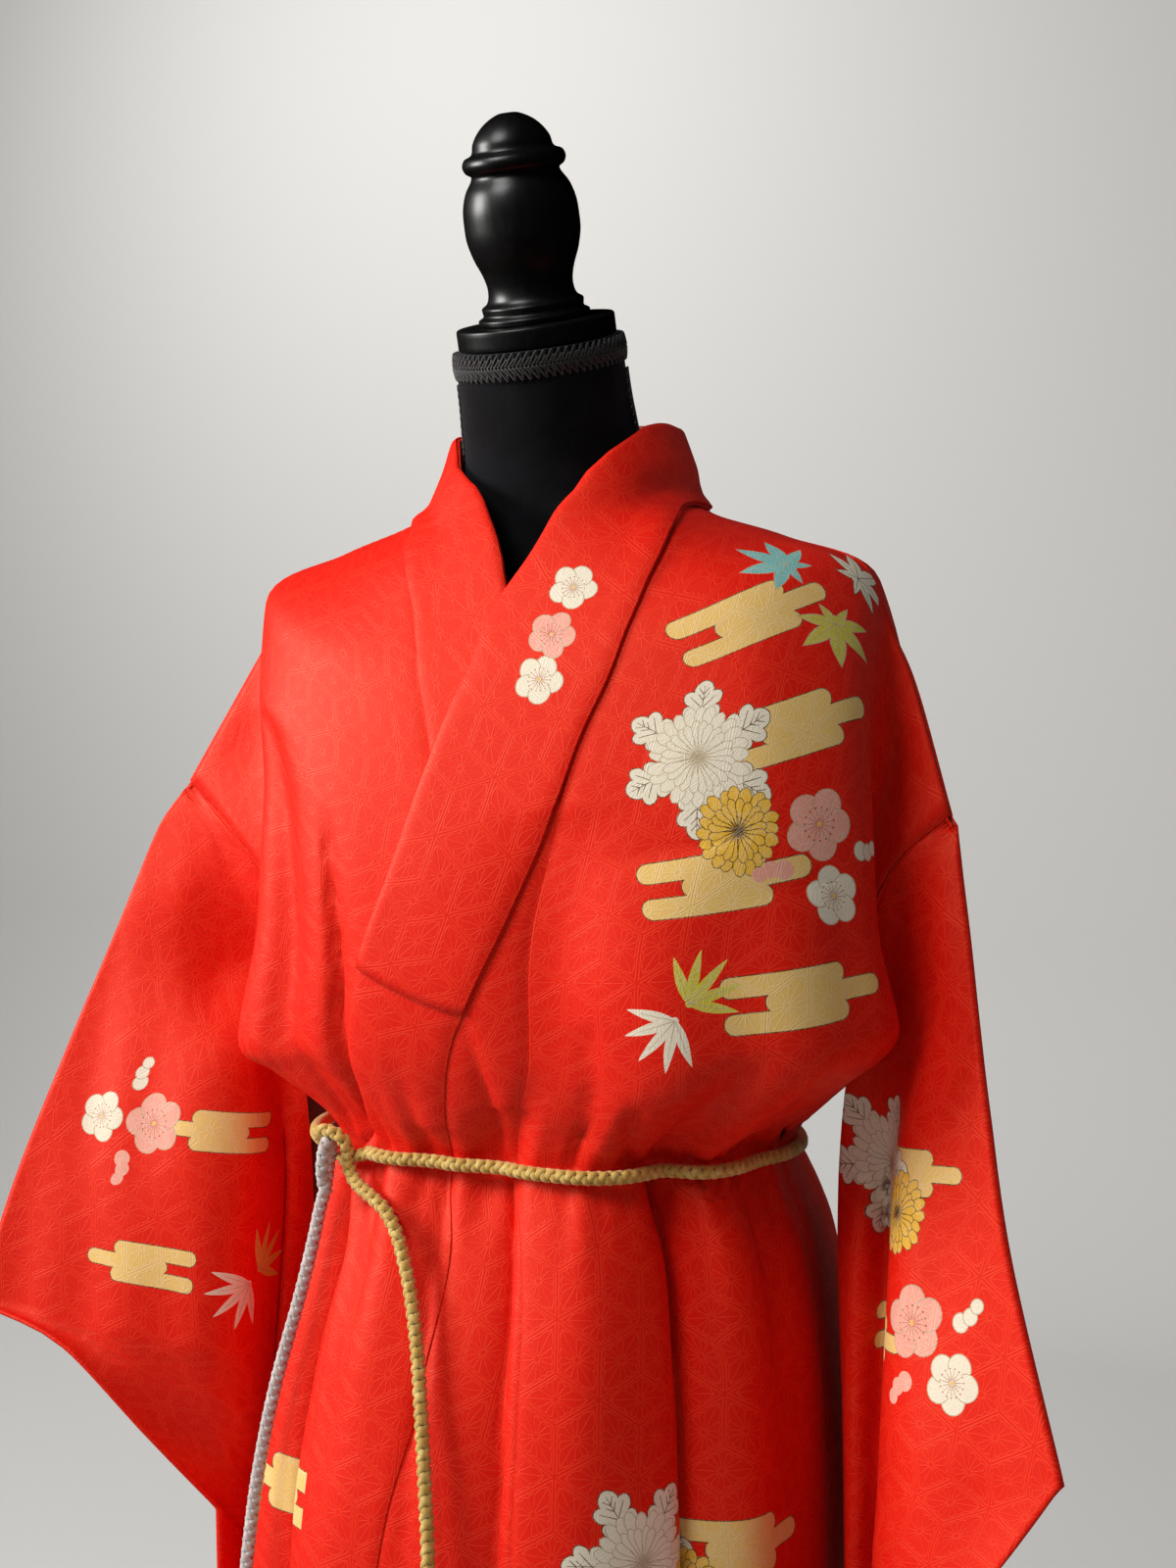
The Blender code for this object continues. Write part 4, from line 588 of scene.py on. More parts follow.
class Shell:
    """The inside of the body cloth, as part of the garment's cut round the form."""

    silk = Waves(11, 0.075)
    gathers = Waves(5, 0.021, count=5, stretch=9.0)
    gather_reach = 0.045      # metres above and below the cord
    gather_height = 0.0016

    @staticmethod
    def column(field_name: str, level: Array) -> Array:
        """One column of LEVELS, read smoothly between its rows."""
        return cubic(range(len(LEVELS)), [getattr(row, field_name) for row in LEVELS], level)

    @staticmethod
    def folds(level: Array, bearing: Array, fine: bool = True) -> Array:
        """Height of the folds: soft ones are Gaussians across, creases fall away on both sides."""
        total = np.zeros(np.broadcast(level, bearing).shape)
        for fold in FOLDS:
            down = np.clip((level - fold.top) / (fold.bottom - fold.top), 0, 1)
            centre = fold.bearing_top + (fold.bearing_bottom - fold.bearing_top) * down
            width = fold.width_top + (fold.width_bottom - fold.width_top) * down
            across = np.exp(-((bearing - centre) / width) ** 2)
            total = total + fold.height * across * np.sin(np.pi * down ** 0.7) ** 0.8
        for crease in CREASES if fine else ():
            down = np.clip((level - crease.top) / (crease.bottom - crease.top), 0, 1)
            centre = cubic([0, 0.5, 1], crease.bearings, down)
            beside = bearing - centre
            width = np.where(beside < 0, crease.before, crease.after) * (0.55 + 0.9 * down)
            depth = crease.depth * np.sin(np.pi * down ** crease.bias) ** 0.7
            total = total - depth * np.exp(-np.abs(beside) / width)
        return total

    @classmethod
    def plain(cls, level: Array, bearing: Array) -> Array:
        """Points before folds: each level ring is a superellipse in bearing."""
        level, bearing = np.broadcast_arrays(np.asarray(level, float), np.asarray(bearing, float))
        turn = np.radians(bearing)
        front = np.cos(turn) >= 0
        left = (bearing >= 0)[..., None]
        side_front = np.where(left, cls.column("left", level), cls.column("right", level))
        side_back = np.where(left, cls.column("left_back", level), cls.column("right_back", level))
        side = np.where(front[..., None], side_front, side_back)
        mid_y = np.where(front, cls.column("front_y", level), cls.column("back_y", level))
        mid_z = np.where(front, cls.column("front_z", level), cls.column("back_z", level))
        power = 2 / np.where(front, FRONT_ROUND, BACK_ROUND)
        x = side[..., 0] * np.abs(np.sin(turn)) ** power
        y = side[..., 1] + (mid_y - side[..., 1]) * np.abs(np.cos(turn)) ** power
        z = mid_z + (side[..., 2] - mid_z) * np.sin(turn) ** 2
        return np.stack([x, y, z], -1)

    @classmethod
    def at(cls, level: Array, bearing: Array, out: Array | float = 0.0, wrap: Array | bool = False,
           fine: bool = True) -> Array:
        """Points of the cloth, moved out along its normal.

        The lift is the folds' height, the wrap's on the left layer, and small waves with short
        gathers beside the cord.

        Args:
            level: Levels.
            bearing: Bearings, of a shape that broadcasts with the levels.
            out: Further distance out, metres.
            wrap: Whether the point is on the left, outer, layer.
            fine: Whether the small waves and gathers are added.

        Returns:
            The points, with one more axis of three.
        """
        level, bearing = np.broadcast_arrays(np.asarray(level, float), np.asarray(bearing, float))
        half = np.where(np.abs(bearing) > 90, 90.6, 89.4)
        inside = np.where(np.abs(np.abs(bearing) - 90) < 0.6, np.sign(bearing) * half, bearing)
        down = cls.plain(level + 0.05, inside) - cls.plain(level - 0.05, inside)
        round_ = cls.plain(level, inside + 0.5) - cls.plain(level, inside - 0.5)
        normal = np.cross(down, round_)
        normal /= np.linalg.norm(normal, axis=-1, keepdims=True)
        place = cls.plain(level, bearing)
        lift = out + cls.folds(level, bearing, fine)
        lift = lift + np.where(wrap, WRAP * ease(bearing, WRAP_NONE, WRAP_FULL), 0.0)
        if fine:
            arc = bearing * 0.0026
            calm = ease(level, 3.5, 6.5)
            lift = lift + 0.0009 * calm * cls.silk.at(arc, place[..., 2])
            near = np.exp(-((place[..., 2] - LEVELS[LEVEL_BELT].front_z) / cls.gather_reach) ** 2)
            lift = lift + cls.gather_height * near * cls.gathers.at(arc, place[..., 2])
        return place + normal * np.asarray(lift)[..., None]


SHELL = Shell()


def band_rows(side: int) -> tuple[BandRow, ...]:
    """The neckband's table on one side."""
    return LEFT_BAND if side > 0 else RIGHT_BAND


def band_seam(side: int, level: Array | float) -> Array:
    """Bearing of the neckband's outer seam at a level."""
    rows = band_rows(side)
    return cubic([row.seam_level for row in rows], [row.seam_bearing for row in rows], level)


def band_edge(side: int, level: Array | float) -> Array:
    """Level and bearing of the neckband's free edge across from the seam at a level."""
    rows = band_rows(side)
    return cubic([row.seam_level for row in rows],
                 [(row.edge_level, row.edge_bearing) for row in rows], level)


def overlap_seam(side: int, level: Array | float) -> Array:
    """Bearing of the seam between a front and its overlap strip, eased in from the band's seam."""
    levels, bearings = zip(*(LEFT_OVERLAP_SEAM if side > 0 else RIGHT_OVERLAP_SEAM))
    top = LEVEL_OVERLAP_TOP
    start = band_seam(side, np.array([top]))[0] - cubic(levels, bearings, np.array([top]))[0]
    return cubic(levels, bearings, level) + start * ease(level, top + 0.9, top)


def front_edge(side: int, level: Array) -> Array:
    """Bearing of a front's inner edge: the band's seam above, the overlap strip's seam below."""
    level = np.asarray(level, float)
    return np.where(level < LEVEL_OVERLAP_TOP, band_seam(side, level), overlap_seam(side, level))


# Mesh making

@dataclass
class Surface:
    """Points, faces and their flat places, gathered before they become one mesh."""

    points: list[Array] = field(default_factory=list)
    faces: list[Array] = field(default_factory=list)
    places: list[Array] = field(default_factory=list)
    paints: list[Array] = field(default_factory=list)
    count: int = 0

    def add(self, points: Array, faces: Array, places: Array | None = None,
            paints: Array | None = None) -> None:
        """Adds faces of one size.

        Args:
            points: Vertices, (n, 3).
            faces: Corner numbers, (m, 3) or (m, 4).
            places: Flat place of each vertex in metres, (n, 2).
            paints: Painted colour and cover of each face, (m, 4).
        """
        points = np.asarray(points, float).reshape(-1, 3)
        faces = np.asarray(faces, int)
        places = np.zeros((len(points), 2)) if places is None else np.asarray(places).reshape(-1, 2)
        paints = np.zeros((len(faces), 4)) if paints is None else paints
        self.points.append(points)
        self.faces.append(faces + self.count)
        self.places.append(places)
        self.paints.append(paints)
        self.count += len(points)

    def grid(self, points: Array, flip: bool = False, places: Array | None = None,
             wrap_rows: bool = False, wrap_columns: bool = False,
             paints: Array | None = None) -> None:
        """Adds a grid of quads.

        Args:
            points: Grid of points, (rows, columns, 3).
            flip: Whether the faces are turned over.
            places: Flat places, (rows, columns, 2).
            wrap_rows: Whether the last row joins the first.
            wrap_columns: Whether the last column joins the first.
            paints: Painted colour and cover of each face.
        """
        rows, columns = points.shape[:2]
        i = np.arange(rows if wrap_rows else rows - 1)[:, None]
        j = np.arange(columns if wrap_columns else columns - 1)[None, :]
        below, beside = (i + 1) % rows, (j + 1) % columns
        corners = np.stack([i * columns + j, below * columns + j, below * columns + beside,
                            i * columns + beside], -1).reshape(-1, 4)
        self.add(points, corners[:, ::-1] if flip else corners, places, paints)

    def mesh(self, name: str, shift: Array, painted: bool = False) -> bpy.types.Mesh:
        """Makes the Blender mesh, with its UV map and, if asked, its paint attribute.

        Args:
            name: Name of the mesh.
            shift: Move from the garment's own axis to the part's frame.
            painted: Whether the paint attribute is written.

        Returns:
            The mesh, smooth shaded.
        """
        points = np.concatenate(self.points) + shift
        loops = np.concatenate([faces.ravel() for faces in self.faces])
        sizes = np.concatenate([np.full(len(faces), faces.shape[1]) for faces in self.faces])
        starts = np.concatenate([[0], np.cumsum(sizes)[:-1]])
        mesh = bpy.data.meshes.new(name)
        mesh.vertices.add(len(points))
        mesh.vertices.foreach_set("co", points.astype(np.float32).ravel())
        mesh.loops.add(len(loops))
        mesh.loops.foreach_set("vertex_index", loops.astype(np.int32))
        mesh.polygons.add(len(sizes))
        mesh.polygons.foreach_set("loop_start", starts.astype(np.int32))
        mesh.polygons.foreach_set("loop_total", sizes.astype(np.int32))
        mesh.update(calc_edges=True)
        places = np.concatenate(self.places)[loops]
        mesh.uv_layers.new(name="cloth").data.foreach_set("uv", places.astype(np.float32).ravel())
        if painted:
            colours = np.repeat(np.concatenate(self.paints), sizes, axis=0).astype(np.float32)
            layer = mesh.attributes.new("paint", "FLOAT_COLOR", "CORNER")
            layer.data.foreach_set("color", colours.ravel())
        mesh.shade_smooth()
        mesh.validate()
        return mesh


@dataclass
class Workshop:
    """Where finished pieces are put: it knows the frame and the finishes."""

    shift: Array
    finishes: dict[Slot, bpy.types.Material]

    def put(self, name: str, mesh: bpy.types.Mesh, slot: Slot, nodes: Iterable[str] = (),
            inner: Slot | None = None) -> bpy.types.Object:
        """Makes a piece of a mesh, dresses it and lets it ride on the part.

        Args:
            name: The piece's name.
            mesh: Its mesh, in the part's frame.
            slot: The finish it takes.
            nodes: The solids it stands for.
            inner: The finish of the inside of a wall, if it differs.

        Returns:
            The piece.
        """
        mesh.materials.append(self.finishes[slot])
        if inner is not None:
            mesh.materials.append(self.finishes[inner])
        piece = bpy.data.objects.new(name, mesh)
        bpy.context.scene.collection.objects.link(piece)
        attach(piece, "root")
        if nodes:
            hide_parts(*nodes)
        LOG.info("%s: %d vertices", name, len(mesh.vertices))
        return piece


def weld(mesh: bpy.types.Mesh, distance: float = 2e-5) -> None:
    """Joins vertices that lie on each other, and takes out faces with no width."""
    shape = bmesh.new()
    shape.from_mesh(mesh)
    bmesh.ops.remove_doubles(shape, verts=shape.verts, dist=distance)
    bmesh.ops.dissolve_degenerate(shape, dist=distance, edges=shape.edges)
    shape.to_mesh(mesh)
    shape.free()


def thicken(piece: bpy.types.Object, thickness: float, inner: bool = False) -> None:
    """Gives cloth its wall: grown outwards, with the inside in the second finish if it has one."""
    wall = piece.modifiers.new("wall", "SOLIDIFY")
    wall.thickness = thickness
    wall.offset = 1.0
    wall.use_rim = True
    wall.use_quality_normals = True
    if inner:
        wall.material_offset = 1


# Painted motifs

class Paint(Enum):
    """Pigments: linear colour and cover."""

    BARE = (0.0, 0.0, 0.0, 0.0)
    BAND = (0.93, 0.62, 0.20, 1.0)
    WHITE = (0.90, 0.84, 0.68, 1.0)
    YELLOW = (0.93, 0.55, 0.055, 1.0)
    OLIVE = (0.70, 0.62, 0.075, 1.0)
    TURQUOISE = (0.20, 0.58, 0.58, 1.0)
    PINK = (0.93, 0.42, 0.33, 1.0)
    LINE = (0.115, 0.065, 0.022, 1.0)
    FAINT = (0.52, 0.43, 0.28, 1.0)
    ROSE = (0.42, 0.09, 0.07, 1.0)


Ring = tuple[Array, Paint]
Placer = Callable[[Array, Array], Array]
LINE_WIDTH = 0.00055
TIGHT = 7                 # grid columns beside an edge whose lines are kept
NEAR = 1e-4               # corners nearer than this are one
CROWD = 1.4e-3            # side of the cells that an outline keeps free of grid corners


def turned(points: Array, turn: float, at: Array | Sequence[float] = (0.0, 0.0)) -> Array:
    """Points turned clockwise on the cloth by an angle in degrees, then moved."""
    angle = math.radians(turn)
    across = np.array([[math.cos(angle), math.sin(angle)], [-math.sin(angle), math.cos(angle)]])
    return np.asarray(points, float) @ across + np.asarray(at)


def twice_area(ring: Array) -> float:
    """Twice the area inside an outline, negative where it runs clockwise."""
    after = np.roll(ring, -1, axis=0)
    return float((ring[:, 0] * after[:, 1] - ring[:, 1] * after[:, 0]).sum())


def inset(ring: Array, by: float) -> Array:
    """A closed outline moved inwards, or outwards where by is less than nothing.

    Each corner moves along the mean of its sides' normals, by the distance over the cosine of
    half the corner, which is held to two and a half.

    Args:
        ring: Corners, (n, 2).
        by: Distance.

    Returns:
        The moved corners.
    """
    ahead = np.roll(ring, -1, axis=0) - ring
    normal = np.stack([-ahead[:, 1], ahead[:, 0]], -1) * np.sign(twice_area(ring))
    normal /= np.linalg.norm(normal, axis=1, keepdims=True) + 1e-12
    mean = normal + np.roll(normal, 1, axis=0)
    size = np.linalg.norm(mean, axis=1, keepdims=True) + 1e-9
    return ring + mean / size * np.minimum(2 / size, 2.5) * by


def blade(length: float, half: float, peak: float = 0.5, blunt: float = 0.0,
          count: int = 9) -> Array:
    """A leaf or petal that points along +x from the origin.

    Half its width is half times sin(pi x^q), with q set so that the widest place is at the
    peak; blunt is how far the far end keeps its width.

    Args:
        length: Length.
        half: Half the greatest width.
        peak: Share of the length at which it is widest.
        blunt: 0 for a pointed end, 1 for a round one.
        count: Points on each side.

    Returns:
        The outline.
    """
    x = (1 - np.cos(np.linspace(0, np.pi, count))) / 2
    bend = x ** (math.log(0.5) / math.log(peak))
    pointed = np.sin(np.pi * bend)
    rounded = np.where(x > peak, np.sqrt(np.clip(1 - ((x - peak) / (1 - peak)) ** 2, 0, 1)),
                       pointed)
    width = half * (pointed * (1 - blunt) + rounded * blunt)
    upper = np.stack([x * length, width], -1)
    lower = (upper * (1, -1))[-2:0:-1]
    return np.concatenate([upper, lower])


def disc(radius: float, at: Sequence[float] = (0.0, 0.0), stretch: float = 1.0,
         count: int = 14) -> Array:
    """A round or oval outline."""
    turn = np.linspace(0, 2 * np.pi, count, endpoint=False)
    return np.stack([radius * stretch * np.cos(turn), radius * np.sin(turn)], -1) + at


def stroke(points: Array | Sequence, halves: Sequence[float] | Array, step: float = 0.0022,
           cap: int = 4) -> Array:
    """The outline of a brush stroke through points, with a half width at each.

    Args:
        points: Places it goes through, (n, 2).
        halves: Half widths there.
        step: Distance between outline points.
        cap: Points on each round end, or 0 for a square one.

    Returns:
        The outline.
    """
    points = np.asarray(points, float)
    rough = lengths(points, 0)
    count = max(3, int(rough[-1] / step))
    at = np.linspace(0, rough[-1], count)
    line = cubic(rough, points, at)
    half = cubic(rough, np.asarray(halves, float), at)[:, None]
    along = np.gradient(line, axis=0)
    along /= np.linalg.norm(along, axis=1, keepdims=True)
    aside = np.stack([-along[:, 1], along[:, 0]], -1)
    turn = np.linspace(0, np.pi, cap + 2)[1:-1, None]
    front = line[-1] + half[-1] * (np.cos(turn) * aside[-1] + np.sin(turn) * along[-1])
    rear = line[0] + half[0] * (-np.cos(turn) * aside[0] - np.sin(turn) * along[0])
    return np.concatenate([line + aside * half, front, (line - aside * half)[::-1], rear])


def joined(shapes: Iterable[Array], paint: Paint, line: Paint = Paint.LINE) -> list[Ring]:
    """Shapes that become one: all their outlines first, then all they hold."""
    shapes = list(shapes)
    return ([(inset(shape, -LINE_WIDTH), line) for shape in shapes]
            + [(shape, paint) for shape in shapes])


def veins(lines: Iterable[Sequence], paint: Paint = Paint.LINE, half: float = 0.00024
          ) -> list[Ring]:
    """Thin lines through points, tapering to their far ends."""
    return [(stroke(line, np.linspace(half, half * 0.6, len(line)), 0.004, 0), paint)
            for line in map(np.asarray, lines)]


@dataclass(frozen=True)
class Motif:
    """Something painted: its place as a row and column number, its turn and its size."""

    at: tuple[float, float] = (0.0, 0.0)
    turn: float = 0.0
    size: float = 0.03
    paint: Paint = Paint.WHITE
    line: Paint = Paint.LINE

    def shapes(self) -> list[Ring]:
        """Outlines round the origin, metres, lowest first."""
        raise NotImplementedError

    def rings(self, flat: Placer, place: Placer) -> list[Ring]:
        """Outlines on the flat cloth, drawn so that they are true to shape on the worn cloth.

        One step down and one across give the change from flat places to real ones; its inverse
        takes the outlines back to the flat cloth.

        Args:
            flat: Gives the flat place of a row and column number.
            place: Gives the point of a row and column number.

        Returns:
            Outlines and their pigments, lowest first.
        """
        row = self.at[0] + np.array([0.0, 0.04, 0.0])
        column = self.at[1] + np.array([0.0, 0.0, 0.02])
        if self.at[1] > 0.95:
            column -= 0.06
        middle = flat(np.array([self.at[0]]), np.array([self.at[1]]))[0]
        spots, points = flat(row, column), place(row, column)
        real = np.linalg.solve(spots[1:] - spots[0], points[1:] - points[0])
        along = real[0] / np.linalg.norm(real[0])
        down = real[1] - real[1] @ along * along
        back = np.linalg.inv(real @ np.stack([along, down / np.linalg.norm(down)], -1))
        return [(turned(shape, self.turn) @ back + middle, paint)
                for shape, paint in self.shapes()]


@dataclass(frozen=True)
class MapleLeaf(Motif):
    """Seven pointed lobes from one joint, the middle one along +x, each with a vein."""

    spread: float = 48.0

    def shapes(self) -> list[Ring]:
        """Lobe k turns k spreads from the middle; its length goes with (1 + cos(30 k)) / 2."""
        lobes, lines = [], []
        for k in (-3, 3, -2, 2, -1, 1, 0):
            length = self.size * (0.5 + 0.5 * math.cos(math.radians(30 * k)))
            turn = k * self.spread
            lobes.append(turned(blade(length, length * 0.165, 0.44), turn))
            lines.append(turned([(0, 0), (length * 0.4, length * 0.01), (length * 0.8, 0)], turn))
        hub = disc(self.size * 0.20)
        return joined([*lobes, hub], self.paint, self.line) + veins(lines, self.line)


@dataclass(frozen=True)
class BambooLeaf(Motif):
    """Narrow leaves that fan out from one joint."""

    count: int = 5

    def shapes(self) -> list[Ring]:
        """The leaves stand at even turns within 60 degrees; each is cos(turn / 2) long."""
        fan = [(turn, math.cos(math.radians(turn / 2))) for turn in np.linspace(-60, 60, self.count)]
        leaves = [turned(blade(self.size * share, self.size * 0.085, 0.42), turn)
                  for turn, share in fan]
        lines = [turned([(0, 0), (self.size * share * 0.75, 0)], turn) for turn, share in fan]
        return joined([*leaves, disc(self.size * 0.05)], self.paint, self.line) + veins(
            lines, Paint.FAINT)


@dataclass(frozen=True)
class Chrysanthemum(Motif):
    """Round-ended petals in two rings round a heart, each petal with its own outline."""

    petals: int = 22

    def shapes(self) -> list[Ring]:
        """The outer ring's petals are size long, the inner ring's two thirds, half a step on."""
        made: list[Ring] = []
        draw = np.random.default_rng(int(self.size * 1e5) + self.petals)
        for reach, shift in ((1.0, 0.0), (0.70, 0.5)):
            width = reach * self.size * math.pi / self.petals * 0.92
            for k in range(self.petals):
                length = self.size * reach * draw.uniform(0.90, 1.0)
                petal = turned(blade(length, width, 0.78, 0.75, count=8),
                               (k + shift) * 360 / self.petals + draw.uniform(-3, 3))
                made += [(inset(petal, -LINE_WIDTH * 0.8), self.line), (petal, self.paint)]
        return made + [(disc(self.size * 0.035), self.line)]


@dataclass(frozen=True)
class LobedLeaf(Motif):
    """A leaf of blunt lobes on both sides of a midrib, with feathered veins."""

    def shapes(self) -> list[Ring]:
        """Lobe pairs stand at 0.2 and 0.5 of the size, and one lobe ends the leaf."""
        s = self.size
        lobes = [turned(blade(s * 0.55, s * 0.19, 0.62, 0.8), 0, (s * 0.45, 0)),
                 blade(s * 0.9, s * 0.16, 0.55, 0.5)]
        lines = [[(0, 0), (s * 0.5, s * 0.01), (s * 0.9, 0)]]
        for foot, reach in ((0.16, 0.44), (0.44, 0.46)):
            for way in (-1, 1):
                at = (s * foot, 0)
                lobes.append(turned(blade(s * reach, s * 0.14, 0.62, 0.8), way * 48, at))
                lines.append(turned([(0, 0), (s * reach * 0.75, 0)], way * 46, at))
        for foot in (0.6, 0.72):
            for way in (-1, 1):
                lines.append(turned([(0, 0), (s * 0.17, 0)], way * 38, (s * foot, 0)))
        return joined(lobes, self.paint, self.line) + veins(lines, Paint.LINE, 0.0003)


@dataclass(frozen=True)
class PlumBlossom(Motif):
    """Five round petals, a ring of dots and fine stamens."""

    def shapes(self) -> list[Ring]:
        """Petals are ovals a half size out; dots stand at 0.38 of it."""
        s = self.size
        made: list[Ring] = []
        for k in range(5):
            petal = turned(disc(s * 0.40, (s * 0.52, 0), 0.98, 20), 72 * k)
            made += [(inset(petal, -LINE_WIDTH), self.line), (petal, self.paint)]
        made.append((disc(s * 0.42, count=20), self.paint))
        made += veins((turned([(s * 0.08, 0), (s * 0.36, 0)], 24 * k + 7) for k in range(15)),
                      Paint.ROSE, 0.0002)
        dots = [(turned(disc(s * 0.030, (s * 0.42, 0), count=6), 24 * k + 7), Paint.ROSE)
                for k in range(15)]
        return made + dots + [(disc(s * 0.06), Paint.YELLOW)]


@dataclass(frozen=True)
class Buds(Motif):
    """Round buds one beside the other on a row."""

    count: int = 3

    def shapes(self) -> list[Ring]:
        """Bud k stands k times 1.3 sizes along, a little to one side and the other."""
        made: list[Ring] = []
        for k in range(self.count):
            bud = disc(self.size * (1.0 - 0.12 * k), (1.35 * self.size * k, self.size * 0.3 * (k % 2)))
            made += [(inset(bud, -LINE_WIDTH), self.line), (bud, self.paint)]
        return made


@dataclass(frozen=True)
class Haze(Motif):
    """A haze band: level bars with round ends, each set aside from the one before it."""

    bars: int = 3

    def shapes(self) -> list[Ring]:
        """The size is half a bar's length; a bar is 0.38 of it high and lies 0.34 lower."""
        s = self.size
        made = []
        for k in range(self.bars):
            aside, level = s * (0.4 if k % 2 else -0.4), 0.34 * s * (k - (self.bars - 1) / 2)
            made.append(stroke([(aside - s, level), (aside, level), (aside + s, level)],
                               [0.19 * s] * 3, 0.004, 12))
        return joined(made, self.paint, self.line)


@dataclass(frozen=True)
class Bunch(Motif):
    """Motifs set together, each with its distance from the middle and its bearing."""

    parts: tuple[tuple[Motif, float, float], ...] = ()

    def shapes(self) -> list[Ring]:
        """Each part is turned on its own joint and moved out."""
        return [(turned(shape, part.turn, turned([(away, 0.0)], bearing)[0]), paint)
                for part, away, bearing in self.parts for shape, paint in part.shapes()]


class FlatMap:
    """The way between row and column numbers and flat places on one piece of cloth."""

    def __init__(self, rows: Array, columns: Array, places: Array) -> None:
        """Keeps the grid, with a column added far out on each side.

        Args:
            rows: Row numbers.
            columns: Column numbers.
            places: Flat places, (rows, columns, 2).
        """
        self.rows, self.down = rows, places[:, 0, 1]
        span = places[:, -1:, 0] - places[:, :1, 0]
        rate = span / (columns[-1] - columns[0])
        self.columns = np.concatenate([[columns[0] - 2], columns, [columns[-1] + 2]])
        self.across = np.concatenate([places[:, :1, 0] - 2 * rate, places[..., 0],
                                      places[:, -1:, 0] + 2 * rate], 1)

    def row_at(self, row: Array) -> Array:
        """Running lengths across at fractional rows, one line for each."""
        i = np.clip(np.searchsorted(self.rows, row, side="right") - 1, 0, len(self.rows) - 2)
        f = ((row - self.rows[i]) / (self.rows[i + 1] - self.rows[i]))[:, None]
        return (1 - f) * self.across[i] + f * self.across[i + 1]

    def flat(self, row: Array, column: Array) -> Array:
        """Flat places of row and column numbers."""
        line = self.row_at(row)
        j = np.clip(np.searchsorted(self.columns, column, side="right") - 1, 0, line.shape[1] - 2)
        g = (column - self.columns[j]) / (self.columns[j + 1] - self.columns[j])
        k = np.arange(len(row))
        return np.stack([(1 - g) * line[k, j] + g * line[k, j + 1],
                         np.interp(row, self.rows, self.down)], -1)

    def back(self, place: Array) -> tuple[Array, Array]:
        """Row and column numbers of flat places."""
        row = np.interp(place[:, 1], self.down, self.rows)
        line = self.row_at(row)
        j = np.clip((line <= place[:, :1]).sum(axis=1) - 1, 0, line.shape[1] - 2)
        k = np.arange(len(row))
        g = (place[:, 0] - line[k, j]) / (line[k, j + 1] - line[k, j])
        return row, self.columns[j] + g * (self.columns[j + 1] - self.columns[j])


def holds(ring: Array, places: Array) -> Array:
    """Which places an outline winds round.

    A side that rises with the place on its left adds a turn, and one that falls with the place
    on its right takes one; a place is inside where the turns are not nothing.

    Args:
        ring: Corners, (n, 2).
        places: Places, (m, 2).

    Returns:
        Truths, (m).
    """
    inside = np.zeros(len(places), bool)
    near = np.flatnonzero(((places > ring.min(0)) & (places < ring.max(0))).all(1))
    x, y = places[near, 0, None], places[near, 1, None]
    (x0, y0), (x1, y1) = ring.T, np.roll(ring, -1, axis=0).T
    aside = (x1 - x0) * (y - y0) - (x - x0) * (y1 - y0)
    rising = (y0 <= y) & (y1 > y) & (aside > 0)
    falling = (y0 > y) & (y1 <= y) & (aside < 0)
    inside[near] = rising.sum(1) != falling.sum(1)
    return inside


def shares_cell(places: Array, marks: Array, side: float) -> Array:
    """Which places share a cell with a mark, in one of four square nets set half a cell apart."""
    shared = np.zeros(len(places), bool)
    for shift in ((0.0, 0.0), (0.5, 0.0), (0.0, 0.5), (0.5, 0.5)):
        cells, taken = (np.floor(spots / side + shift).astype(int) @ (1, 1 << 20)
                        for spots in (places, marks))
        shared |= np.isin(cells, taken)
    return shared


@dataclass(frozen=True)
class Cut:
    """A triangulation of flat places that keeps given lines.

    Attributes:
        spots: Corners, (n, 2).
        triangles: Corner numbers, (m, 3).
        known: Number of the given place that each corner comes from, or -1.
        pigments: Pigment and cover of each triangle, (m, 4).
    """

    spots: Array
    triangles: Array
    known: Array
    pigments: Array

    @classmethod
    def of(cls, places: Array, edges: Array, border: Array, rings: Iterable[Ring]) -> "Cut":
        """Triangulates places and lines, within a border, and paints the triangles.

        Args:
            places: Flat places, (n, 2).
            edges: Pairs of their numbers, (m, 2).
            border: Outline of the cloth, (k, 2).
            rings: Outlines and pigments; the last round a triangle's middle gives its pigment.

        Returns:
            The triangulation.
        """
        made, _, faces, origins, _, _ = delaunay_2d_cdt(
            [Vector(place) for place in places.tolist()], edges.tolist(), [], 0, NEAR)
        spots, triangles = np.array([tuple(corner) for corner in made]), np.array(faces)
        middles = spots[triangles].mean(1)
        kept = holds(border, middles)
        triangles, middles = triangles[kept], middles[kept]
        pigments = np.tile(Paint.BARE.value, (len(triangles), 1))
        for ring, paint in rings:
            pigments[holds(ring, middles)] = paint.value
        known = np.array([origin[0] if origin else -1 for origin in origins])
        return cls(spots, triangles, known, pigments)

    def lines(self) -> Array:
        """Sides between triangles of different pigments, (n, 2)."""
        sides = np.sort(self.triangles[:, [[0, 1], [1, 2], [2, 0]]], -1).reshape(-1, 2)
        order = np.lexsort(sides.T)
        sides, owner = sides[order], order // 3
        pairs = np.flatnonzero((sides[1:] == sides[:-1]).all(1))
        differ = (self.pigments[owner[pairs]] != self.pigments[owner[pairs + 1]]).any(1)
        return sides[pairs[differ]]


